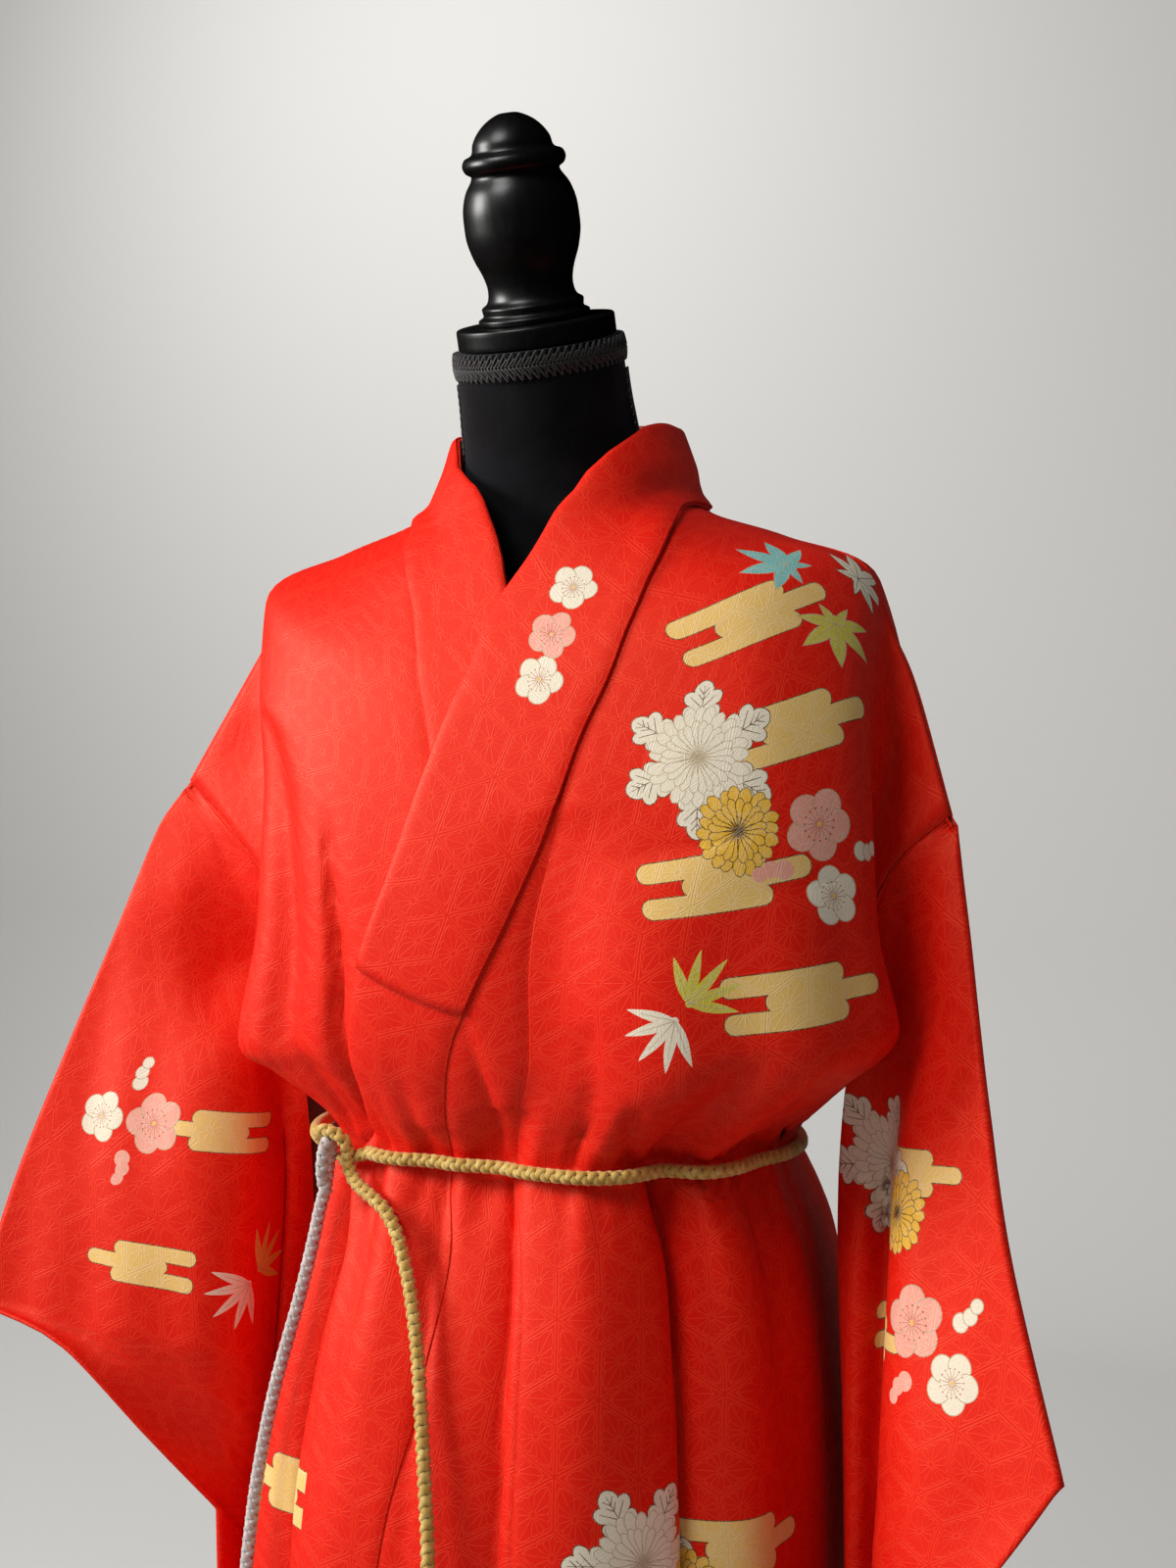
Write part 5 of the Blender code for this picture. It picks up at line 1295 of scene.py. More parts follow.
def paint_grid(surface: Surface, place: Placer, flip: bool, motifs: Iterable[Motif],
               rows: Array, columns: Array, places: Array) -> None:
    """Adds a grid of cloth with its motifs cut into it.

    The grid's places and the motifs' outlines are triangulated together on the flat cloth, once
    to find which parts of the outlines show, and once with these alone and without the places
    of the grid that crowd them. New corners are put back onto the cloth through their row and
    column numbers. The tight columns beside both edges keep the grid's own lines.

    Args:
        surface: What the triangles are added to.
        place: Gives the points of row and column numbers.
        flip: Whether the faces are turned over.
        motifs: What is painted, lowest first.
        rows: Row numbers of the grid.
        columns: Column numbers of the grid.
        places: Flat places, (rows, columns, 2).
    """
    flat_map = FlatMap(rows, columns, places)
    rings = [ring for motif in motifs for ring in motif.rings(flat_map.flat, place)]
    count_down, count_across = places.shape[:2]
    number = np.arange(count_down * count_across).reshape(count_down, count_across)
    border = np.concatenate([number[0, :-1], number[:-1, -1], number[-1, :0:-1],
                             number[:0:-1, 0]])
    tight = np.r_[0:TIGHT, count_across - TIGHT:count_across]
    across = np.r_[0:TIGHT - 1, count_across - TIGHT:count_across - 1]
    frame = np.concatenate([
        np.stack([border, np.roll(border, -1)], -1),
        np.stack([number[:-1, tight], number[1:, tight]], -1).reshape(-1, 2),
        np.stack([number[:, across], number[:, across + 1]], -1).reshape(-1, 2)])
    flat = places.reshape(-1, 2)
    sizes = np.array([len(ring) for ring, _ in rings])
    start = np.repeat(np.cumsum(sizes) - sizes, sizes)
    turn = np.arange(sizes.sum()) - start
    after = (turn + 1) % np.repeat(sizes, sizes) + start
    outlines = np.stack([turn + start, after], -1) + number.size
    first = Cut.of(np.concatenate([flat, *(ring for ring, _ in rings)]),
                   np.concatenate([frame, outlines]), flat[border], rings)
    corners, lines = np.unique(first.lines(), return_inverse=True)
    lines = lines.reshape(-1, 2)
    ends = first.spots[corners][lines]
    marks = ends[:, :1] + np.linspace(0.0, 1.0, 7)[:, None] * (ends[:, 1:] - ends[:, :1])
    crowded = shares_cell(flat, marks.reshape(-1, 2), CROWD)
    crowded[frame] = False
    stay = np.flatnonzero(~crowded)
    rank = np.cumsum(~crowded) - 1
    cut = Cut.of(np.concatenate([flat[stay], first.spots[corners]]),
                 np.concatenate([rank[frame], lines + len(stay)]), flat[border], rings)
    row, column = flat_map.back(cut.spots)
    on_grid = (cut.known >= 0) & (cut.known < len(stay))
    known = stay[cut.known[on_grid]]
    row[on_grid], column[on_grid] = rows[known // count_across], columns[known % count_across]
    points = place(row, np.clip(column, columns[0], columns[-1]))
    triangles = cut.triangles
    one, two = (cut.spots[triangles[:, k]] - cut.spots[triangles[:, 0]] for k in (1, 2))
    turn_over = (one[:, 0] * two[:, 1] > one[:, 1] * two[:, 0]) != flip
    triangles[turn_over] = triangles[turn_over][:, ::-1]
    surface.add(points, triangles, cut.spots, cut.pigments)


# The painting: haze bands and bunches by turns, at even steps down each piece

Place = tuple[float, float]


def maple_bunch(at: Place, turn: float) -> Motif:
    """Three maple leaves that point outwards at even turns."""
    paints = ((Paint.WHITE, Paint.LINE), (Paint.OLIVE, Paint.FAINT), (Paint.TURQUOISE, Paint.FAINT))
    return Bunch(at, turn, parts=tuple(
        (MapleLeaf(turn=120.0 * k, size=0.03, paint=paint, line=line), 0.027, 120.0 * k)
        for k, (paint, line) in enumerate(paints)))


def flower_bunch(at: Place, turn: float) -> Motif:
    """A white and a yellow chrysanthemum on leaves that stand at even turns."""
    leaves = tuple((LobedLeaf(turn=60.0 * k, size=0.03), 0.015, 60.0 * k) for k in range(6))
    white = Chrysanthemum(size=0.03, line=Paint.FAINT, petals=24)
    yellow = Chrysanthemum(size=0.024, paint=Paint.YELLOW, petals=20)
    return Bunch(at, turn, parts=(*leaves, (white, 0.0, 0.0), (yellow, 0.045, 30.0)))


def plum_bunch(at: Place, turn: float) -> Motif:
    """A pink and a white plum blossom with buds on both sides."""
    return Bunch(at, turn, parts=(
        (Buds(turn=90, size=0.005, paint=Paint.PINK, line=Paint.PINK), 0.025, 90.0),
        (Buds(turn=-90, size=0.005, line=Paint.FAINT), 0.025, -90.0),
        (PlumBlossom(size=0.022, paint=Paint.PINK, line=Paint.FAINT), 0.02, 180.0),
        (PlumBlossom(turn=36, size=0.018, line=Paint.FAINT), 0.02, 0.0)))


def bamboo_bunch(at: Place, turn: float) -> Motif:
    """Two fans of bamboo leaves, back to back."""
    return Bunch(at, turn, parts=(
        (BambooLeaf(turn=0, size=0.03, line=Paint.WHITE), 0.006, 0.0),
        (BambooLeaf(turn=180, size=0.03, paint=Paint.OLIVE, line=Paint.OLIVE), 0.006, 180.0)))


BUNCHES = (maple_bunch, flower_bunch, plum_bunch, bamboo_bunch)
ASIDE = 0.1               # how far haze stands from the middle column; bunches stand twice that


def scattered(top: float, bottom: float, count: int, first: int = 0, size: float = 0.03
              ) -> list[Motif]:
    """A haze band and a bunch at each of some even steps, changing sides from step to step.

    Args:
        top: Row number where the painting starts.
        bottom: Row number where it ends.
        count: Number of steps.
        first: Which kind of bunch comes first.
        size: Half the length of a haze bar.

    Returns:
        The motifs, lowest first.
    """
    haze, bunches = [], []
    for k in range(count):
        row = top + (bottom - top) * (k + 0.5) / count
        aside = ASIDE if (k + first) % 2 else -ASIDE
        haze.append(Haze((row, 0.5 + aside), size=size, paint=Paint.BAND))
        bunches.append(BUNCHES[(k + first) % len(BUNCHES)]((row, 0.5 - 2 * aside), 45.0 * k))
    return [*haze, *bunches]


HEM_DESIGN = scattered(14.0, 16.5, 2, 1)
OTHER_HEM_DESIGN = scattered(14.0, 16.5, 2, 2)
FRONT_DESIGN = scattered(3.5, 8.0, 4)
BACK_DESIGN = scattered(3.5, 6.5, 2, 2)
SLEEVE_DESIGN = scattered(4.0, 6.0, 2, 1, 0.024)
OTHER_SLEEVE_DESIGN = scattered(4.0, 6.0, 2, 2, 0.024)
OVERLAP_DESIGN = [Haze((15.0, 0.5), size=0.024, paint=Paint.BAND), plum_bunch((16.0, 0.5), 90.0)]
COLLAR_DESIGN = [PlumBlossom((row, 0.5), size=0.016, paint=paint, line=Paint.FAINT)
                 for row, paint in ((35.0, Paint.WHITE), (40.0, Paint.PINK), (45.0, Paint.WHITE))]


# Cloth pieces

def level_rows(start: float, stop: float, step: float, keep: Sequence[float] = ()) -> Array:
    """Levels from start to stop, about a step apart on the cloth, through every whole level.

    Args:
        start: First level.
        stop: Last level.
        step: Wanted distance, metres.
        keep: Other levels that must be among them.

    Returns:
        The levels, rising.
    """
    knots = sorted({start, stop, *range(math.ceil(start), math.floor(stop) + 1), *keep})
    marks = SHELL.plain(np.array(knots), np.full(len(knots), 45.0))
    gaps = np.linalg.norm(np.diff(marks, axis=0), axis=1)
    spans = [np.linspace(low, high, max(1, math.ceil(gap / step)), endpoint=False)
             for low, high, gap in zip(knots, knots[1:], gaps)]
    return np.concatenate([*spans, [stop]])


def dip(distance: Array, depth: float = 0.0009, reach: float = 0.0028) -> Array:
    """How far cloth sinks into a seam: a Gaussian of the distance from it."""
    return -depth * np.exp(-(distance / reach) ** 2)


@dataclass
class Cloth:
    """A piece of cloth: a surface in a row number t and a column number s, and a wall on it."""

    name: str
    nodes: tuple[str, ...]
    flat: tuple[float, float]
    thickness: float = CLOTH
    held: str = "draped"
    rests_on: tuple[str, ...] = ("form_torso",)
    inner: Slot | None = Slot.LINING
    slot: Slot = Slot.SILK
    motifs: list[Motif] = field(default_factory=list)
    step: float = 0.006
    flip: bool = False

    def rows(self) -> Array:
        """Row numbers of the grid, rising."""
        raise NotImplementedError

    def columns(self) -> Array:
        """Column numbers of the grid, rising."""
        raise NotImplementedError

    def surface(self, t: Array, s: Array) -> Array:
        """Points at row and column numbers of any shapes that broadcast."""
        raise NotImplementedError

    def more(self, surface: Surface) -> None:
        """Adds what the main grid leaves out."""

    def flat_places(self, points: Array) -> Array:
        """Flat places of a grid: running length across, and the mean running length down."""
        across = lengths(points, 1)
        down = np.broadcast_to(lengths(points, 0).mean(axis=1, keepdims=True), across.shape)
        return np.stack([across, down], -1)

    def build(self, shop: Workshop) -> bpy.types.Object:
        """Makes the piece.

        Args:
            shop: Where it is put.

        Returns:
            The finished piece.
        """
        t, s = self.rows(), self.columns()
        points = self.surface(t[:, None], s[None, :])
        places = self.flat_places(points)
        surface = Surface()
        if self.motifs:
            paint_grid(surface, self.surface, self.flip, self.motifs, t, s, places)
        else:
            surface.grid(points, self.flip, places)
        self.more(surface)
        mesh = surface.mesh(self.name, shop.shift, painted=True)
        weld(mesh)
        piece = shop.put(self.name, mesh, self.slot, self.nodes, self.inner)
        thicken(piece, self.thickness, self.inner is not None)
        list(self.rests_on)
        return piece


@dataclass
class BodyPanel(Cloth):
    """One body length, from its inner edge to the side and on past the fold under the arm."""

    side: int = 1
    back: bool = False
    past: tuple[SideFold, ...] = ()
    sunk: float = 0.009       # how much deeper the trough is than the solid's

    def rows(self) -> Array:
        """Levels from the neck to the hem."""
        return level_rows(LEVEL_NECK + (0.02 if self.back else 0.10), 17.0, self.step)

    def columns(self) -> Array:
        """Shares of the way from the inner edge to the side."""
        return clustered(46)

    def inner_bearing(self, level: Array) -> Array:
        """Bearing of the inner edge: the centre back, or the front's seam."""
        if self.back:
            return np.full(np.shape(level), 180.0 * self.side)
        return front_edge(self.side, level)

    def surface(self, t: Array, s: Array) -> Array:
        """Shell points at a level and a share of the way from the inner edge to the side."""
        start = self.inner_bearing(t)
        end = self.side * (90.01 if self.back else 89.99)
        bearing = start + (end - start) * s
        from_seam = np.abs(bearing - start) * 0.0026
        from_side = np.abs(end - bearing) * 0.0026
        sewn = np.where((t >= SIDE_END), 1.0, 0.0)
        out = dip(from_seam) + dip(from_side) * sewn
        return SHELL.at(t, bearing, out, wrap=self.side > 0 and not self.back)

    def past_fold(self, t: Array, s: Array) -> Array:
        """Points past the arm-side fold: 0 at the fold, 1 half way, 2 at the trough, 3 at the seam."""
        t, s = np.broadcast_arrays(np.asarray(t, float), np.asarray(s, float))
        level, at = t.ravel(), s.ravel()
        marks = [row.level for row in self.past]
        corner = self.surface(level, np.ones_like(level))
        trough = cubic(marks, [row.trough for row in self.past], level)
        seam = cubic(marks, [row.seam for row in self.past], level)
        behind = np.array([-0.4 * self.side, -0.8 if self.back else 0.8, 0.0])
        depth = self.sunk * ease(level, 3.9, 4.8) * ease(level, 9.5, 7.5)
        sunk = depth[:, None] * behind
        run = np.stack([corner, corner * 0.45 + trough * 0.55 + sunk, trough + sunk, seam])
        return cubic(range(4), run, at).reshape(*t.shape, 3)

    def more(self, surface: Surface) -> None:
        """Adds the cloth past the arm-side fold: fold, trough and sleeve seam on a smooth run."""
        levels = self.rows()
        levels = levels[(levels >= SIDE_TOP) & (levels <= SIDE_END)]
        at = np.linspace(0, 3, 22)
        points = self.past_fold(levels[:, None], at[None, :])
        places = self.flat_places(points)
        surface.grid(points, self.flip, places)


@dataclass
class OverlapStrip(Cloth):
    """The strip on a front's inner edge, beside the neckband and down to the hem."""

    side: int = 1

    def rows(self) -> Array:
        """Levels from beside the band to the hem."""
        return level_rows(LEVEL_OVERLAP_TOP, 17.0, self.step, keep=(LEVEL_BAND_END,))

    def columns(self) -> Array:
        """Shares of the way from the band's seam to the front's seam."""
        return clustered(16, 0.02)

    def slant(self, level: Array) -> Array:
        """Bearing of the band's seam, which goes straight down below the band's end."""
        return band_seam(self.side, np.minimum(level, LEVEL_BAND_END))

    def surface(self, t: Array, s: Array) -> Array:
        """Shell points between the band's seam and the front's seam."""
        start, end = self.slant(t), overlap_seam(self.side, t)
        bearing = start + (end - start) * s
        beside_band = np.where(t <= LEVEL_BAND_END, 1.0, 0.0)
        out = (dip(np.abs(bearing - end) * 0.0026)
               + dip(np.abs(bearing - start) * 0.0026) * beside_band)
        return SHELL.at(t, bearing, out, wrap=self.side > 0)

    def more(self, surface: Surface) -> None:
        """Adds the part below the band's end, out to the free edge."""
        levels = self.rows()
        levels = levels[levels >= LEVEL_BAND_END]
        marks, bearings = zip(*FREE_EDGE)
        free = -self.side * cubic(marks, bearings, levels)[:, None]
        slant = self.slant(levels)[:, None]
        bearing = free + (slant - free) * np.linspace(0, 1, 14)
        points = SHELL.at(levels[:, None], bearing, wrap=self.side > 0)
        points[:, -1] = self.surface(levels, np.zeros_like(levels))
        surface.grid(points, self.flip, self.flat_places(points))


@dataclass
class Neckband(Cloth):
    """A strip along the neckband, from one front's lower end round the neck to the other's."""

    lowest: float = LEVEL_BAND_END
    out: float = 0.0
    stations: Array | None = None

    def __post_init__(self) -> None:
        """Works out the stations: level and turn of the seam and of the free edge at each.

        A turn is a bearing on the left side and a bearing plus 360 on the right side.
        """
        levels = level_rows(2.1, self.lowest, self.step)
        halves = []
        for side, shift in ((1, 0.0), (-1, 360.0)):
            edge = band_edge(side, levels)
            halves.append(np.stack([levels, band_seam(side, levels) + shift,
                                    edge[:, 0], edge[:, 1] + shift], -1))
        share = np.linspace(0, 1, 71)
        turn = 90 + 180 * share
        reach = 68 + 22 * ease(np.minimum(share, 1 - share), 0, 0.15)
        low = np.where(share < 0.15, reach, np.where(share > 0.85, 360 - reach, turn))
        neck = np.stack([np.full_like(share, LEVEL_NECK), turn, 0.3 * np.abs(share - 0.5), low], -1)
        self.stations = np.concatenate([halves[0][::-1], neck, halves[1]])

    def rows(self) -> Array:
        """Station numbers."""
        return np.arange(len(self.stations), dtype=float)

    def columns(self) -> Array:
        """Shares of the way from the free edge to the seam."""
        return clustered(18, 0.03)

    def surface(self, t: Array, s: Array) -> Array:
        """Shell points between the free edge and the seam, standing on the panels at the neck."""
        number = np.arange(len(self.stations))
        level, turn, edge_level, edge_turn = (np.interp(t, number, self.stations[:, k])
                                              for k in range(4))
        at_level = edge_level + (level - edge_level) * s
        at_turn = edge_turn + (turn - edge_turn) * s
        bearing = (at_turn + 180) % 360 - 180
        width = 0.065
        stand = (CLOTH + SEAM_GAP) * ease(level, 3.6, 2.4) * ease(s, 0.7, 1.0)
        out = self.out + stand + dip(s * width, 0.0012, 0.002) + dip((1 - s) * width)
        return SHELL.at(at_level, bearing, out, wrap=at_turn < 180)


# Sleeves

@dataclass
class Sleeve(Cloth):
    """A sleeve bag: folded along its outer ridge, open at the cuff and beside the body."""

    table: tuple[SleeveRow, ...] = LEFT_SLEEVE
    corner: int = 6           # rows between which the cuff is open
    cuff_end: int = 9
    body: tuple[BodyPanel, ...] = ()
    drape = Waves(21, 0.060, stretch=5.0)

    def rows(self) -> Array:
        """Row numbers from the top of the sleeve to the bottom of the bag, whole ones kept."""
        heights = np.array([row.outer[2] for row in self.table])
        counts = np.maximum(2, np.ceil(np.abs(np.diff(heights)) / self.step)).astype(int)
        spans = [np.linspace(i, i + 1, count, endpoint=False) for i, count in enumerate(counts)]
        return np.concatenate([*spans, [len(heights) - 1.0]])

    def columns(self) -> Array:
        """Shares of the way from the body side to the outer ridge."""
        return clustered(46)

    @staticmethod
    def sloped(start: tuple, middle: tuple, end: tuple) -> Array:
        """Points from start through the middle places to end, with heights spread evenly."""
        flat = np.array([start[:2], *middle, end[:2]])
        along = lengths(flat, 0)
        return np.column_stack([flat, start[2] + (end[2] - start[2]) * along / along[-1]])

    def runs(self, layer: int) -> list[Array]:
        """Marks of each row's run across one layer: 0 is the front one and 1 the back one."""
        made = []
        for row in self.table:
            outer = row.back_outer or row.outer
            outer = outer if len(outer) == 3 else (*outer, row.outer[2] - 0.005)
            inner = row.back_inner or row.inner
            made.append(self.sloped(inner, (row.back_flute, row.back_mid), outer) if layer
                        else self.sloped(row.inner, (row.flute, row.valley, row.fold), row.outer))
        return made

    def layer(self, layer: int, t: Array, s: Array) -> Array:
        """Points of one layer: a smooth run across each row, and a smooth curve down the rows.

        The curve down is three pieces, with corners at the cuff's two ends.
        """
        across = np.stack([along_path(run, s) for run in self.runs(layer)])
        points = np.empty((len(t), len(s), 3))
        for low, high in ((0, self.corner), (self.corner, self.cuff_end),
                          (self.cuff_end, len(self.table) - 1)):
            inside = (t >= low) & (t <= high)
            part = across[low:high + 1]
            flat = part.reshape(len(part), -1)
            points[inside] = cubic(range(low, high + 1), flat, t[inside]).reshape(-1, len(s), 3)
        across = points[:, -1:] - points[:, :1]
        aside = np.cross(across, (0.0, 0.0, 1.0))
        aside *= (1.0 if layer else -1.0) * np.sign(aside[..., 1:2])
        aside /= np.linalg.norm(aside, axis=-1, keepdims=True) + 1e-9
        rolled = np.sqrt(np.clip(1 - np.clip((s - 0.988) / 0.012, 0, 1) ** 2, 0, 1))
        last = len(self.table) - 1
        free = (ease(t, 0.0, 1.0) * ease(t, last, last - 1))[:, None, None]
        points += aside * 0.0011 * (rolled * ease(s, 0.0, 0.03))[None, :, None] * free
        sway = 0.0016 * self.drape.at(points[..., 0], points[..., 2])
        calm = np.sin(np.pi * np.clip(s, 0, 1)) ** 0.5
        points[..., 1] += sway * calm * ease(t, 0.0, 2.0)[:, None]
        return points

    def surface(self, t: Array, s: Array) -> Array:
        """Points of the front layer at scattered row and column numbers."""
        t, s = np.broadcast_arrays(np.asarray(t, float), np.asarray(s, float))
        rows, columns = self.rows(), self.columns()
        grid = self.grid_points(0)
        i = np.clip(np.searchsorted(rows, t, side="right") - 1, 0, len(rows) - 2)
        j = np.clip(np.searchsorted(columns, s, side="right") - 1, 0, len(columns) - 2)
        f = ((t - rows[i]) / (rows[i + 1] - rows[i]))[..., None]
        g = ((s - columns[j]) / (columns[j + 1] - columns[j]))[..., None]
        return ((1 - f) * ((1 - g) * grid[i, j] + g * grid[i, j + 1])
                + f * ((1 - g) * grid[i + 1, j] + g * grid[i + 1, j + 1]))

    def grid_points(self, layer: int) -> Array:
        """The grid of one layer, kept once it is worked out."""
        kept = self.__dict__.setdefault("kept", {})
        if layer not in kept:
            kept[layer] = self.layer(layer, self.rows(), self.columns())
        return kept[layer]

    def more(self, surface: Surface) -> None:
        """Adds the back layer, and the strips that close the armhole's seam.

        The back layer meets the front one wherever the bag is shut. Each strip runs from the
        sleeve's top and inner edge to the nearest place on a body panel's sleeve edge.

        Args:
            surface: What they are added to.
        """
        points = self.grid_points(1)
        surface.grid(points, not self.flip, self.flat_places(points))
        for layer, panel in enumerate(self.body):
            grid = self.grid_points(layer)
            sewn = grid[:, 0][grid[:, 0, 2] > 1.175]
            edge = np.concatenate([grid[0, :0:-1], sewn])
            level = np.linspace(SIDE_TOP, SIDE_END, 600)
            seam = panel.past_fold(level, np.full(600, 3.0))
            gap = np.linalg.norm(edge[:, None] - seam[None], axis=-1)
            near = seam[gap.argmin(axis=1)]
            strip = edge[:, None] + (near - edge)[:, None] * np.linspace(0, 1, 5)[:, None]
            turned_over = self.flip != (layer == 0)
            surface.grid(strip, turned_over, self.flat_places(strip))


@dataclass
class SleeveLining(Cloth):
    """The strip of lining along a sleeve's open inner edge, on the inside of its back layer."""

    sleeve: Sleeve | None = None

    def rows(self) -> Array:
        """Row numbers of the sleeve that are open beside the body and low enough."""
        shown = [i for i, row in enumerate(self.sleeve.table)
                 if row.back_inner and row.back_inner[2] < LINING_TOP]
        t = self.sleeve.rows()
        return t[(t >= shown[0]) & (t <= shown[-1])]

    def columns(self) -> Array:
        """The half of the back layer that is nearer the body."""
        return np.linspace(0, 0.5, 24)

    def surface(self, t: Array, s: Array) -> Array:
        """The back layer, moved into the bag."""
        back = self.sleeve.layer(1, t.ravel(), s.ravel())
        inward = np.cross(back[:, -1] - back[:, 0], (0.0, 0.0, 1.0))
        inward *= (-np.sign(inward[:, 1]) / np.linalg.norm(inward, axis=1))[:, None]
        return back + inward[:, None] * LINING_GAP


# Cords, knot and tassels

def frames(path: Array, outward: Array | None = None) -> tuple[Array, Array, Array]:
    """Unit tangents of a path, and two unit normals to it.

    Args:
        path: Points, (n, 3).
        outward: Wanted direction of the first normal at each point; away from the form's axis
            if it is left out.

    Returns:
        Tangents, first normals and second normals, (n, 3) each.
    """
    tangent = np.gradient(path, axis=0)
    tangent /= np.linalg.norm(tangent, axis=1, keepdims=True)
    wanted = path * (1.0, 1.0, 0.0) if outward is None else np.broadcast_to(outward, path.shape)
    normal = wanted - (wanted * tangent).sum(1, keepdims=True) * tangent
    normal /= np.linalg.norm(normal, axis=1, keepdims=True)
    return tangent, normal, np.cross(tangent, normal)


def tube(surface: Surface, path: Array, radius: Array | float, sides: int = 8,
         flatten: float = 1.0, outward: Array | None = None, closed: bool = False) -> None:
    """Adds a tube: an ellipse carried along a path, with its ends drawn in to a point.

    Args:
        surface: What it is added to.
        path: Points, (n, 3).
        radius: Radius along the second normal, for each point or for all.
        sides: Points round it.
        flatten: Radius along the first normal, as a share of the other.
        outward: Wanted direction of the first normal.
        closed: Whether the path joins its own start.
    """
    if closed:
        _, normal, other = frames(np.concatenate([path[-1:], path, path[:1]]), outward)
        normal, other = normal[1:-1], other[1:-1]
    else:
        _, normal, other = frames(path, outward)
        ends = [0, *range(len(path)), -1]
        radius = np.concatenate([[1e-5], np.broadcast_to(radius, (len(path),)), [1e-5]])
        path, normal, other = path[ends], normal[ends], other[ends]
    turn = np.linspace(0, 2 * np.pi, sides, endpoint=False)
    ring = (np.cos(turn)[None, :, None] * other[:, None]
            + flatten * np.sin(turn)[None, :, None] * normal[:, None])
    points = path[:, None] + ring * np.broadcast_to(radius, (len(path),))[:, None, None]
    along = lengths(path[:, None], 0)[:, 0]
    across = turn * float(np.max(radius))
    places = np.stack(np.broadcast_arrays(across[None, :], along[:, None]), -1)
    surface.grid(points, True, places, wrap_rows=closed, wrap_columns=True)


@dataclass
class BraidedCord:
    """A round braid: half of the strands turn one way and half the other, over one, under one."""

    name: str
    path: Array
    slot: Slot
    nodes: tuple[str, ...]
    ways: int = 2                 # strands that turn each way
    pitch: float = 0.0122
    reach: float = 0.00248        # centre of the cord to the centre of a strand
    rise: float = 0.00050         # how far a strand moves out and in at the crossings
    strand_radius: float = 0.00225
    step: float = 0.00075
    sides: int = 8

    def surface(self) -> Surface:
        """Strand j is at the angle +-2 pi s / pitch + 2 pi j / ways + pi / 4.

        Its radius is reach +- rise cos(2 pi ways s / pitch), so that each crossing has one
        strand over the other.

        Returns:
            The strands.
        """
        length = float(lengths(self.path, 0)[-1])
        count = max(12, int(length / self.step))
        centre = along_path(self.path, np.linspace(0, 1, count))
        along = np.linspace(0, length, count)
        _, normal, other = frames(centre)
        surface = Surface()
        turn = 2 * np.pi * along / self.pitch
        for way in (1, -1):
            radius = self.reach + way * self.rise * np.cos(self.ways * turn)
            for strand in range(self.ways):
                angle = way * turn + strand * 2 * np.pi / self.ways + np.pi / 4
                out = np.cos(angle)[:, None] * normal + np.sin(angle)[:, None] * other
                tube(surface, centre + out * radius[:, None], self.strand_radius, self.sides,
                     0.66, out)
        return surface

    def build(self, shop: Workshop) -> bpy.types.Object:
        """Makes the cord's piece."""
        mesh = self.surface().mesh(self.name, shop.shift)
        return shop.put(self.name, mesh, self.slot, self.nodes)


BELT_SINK, BELT_SUNK_AT = 0.0036, 112.0      # how far the belt draws the cloth in, and where


def belt_point(bearing: float) -> Array:
    """Centre of the cord round the waist at a bearing."""
    out = BAND + CLOTH + CORD_CLEAR + CORD_DIAMETER / 2
    point = SHELL.at(LEVEL_BELT, bearing, wrap=True, fine=False)
    waist = LEVELS[LEVEL_BELT]
    outward = np.array([point[0] / waist.left[0] ** 2, point[1] / waist.front_y ** 2, 0.0])
    out -= BELT_SINK * np.exp(-((bearing - BELT_SUNK_AT) / 16.0) ** 2)
    point = point + outward / np.linalg.norm(outward) * out
    return np.array([point[0], point[1], waist.front_z])


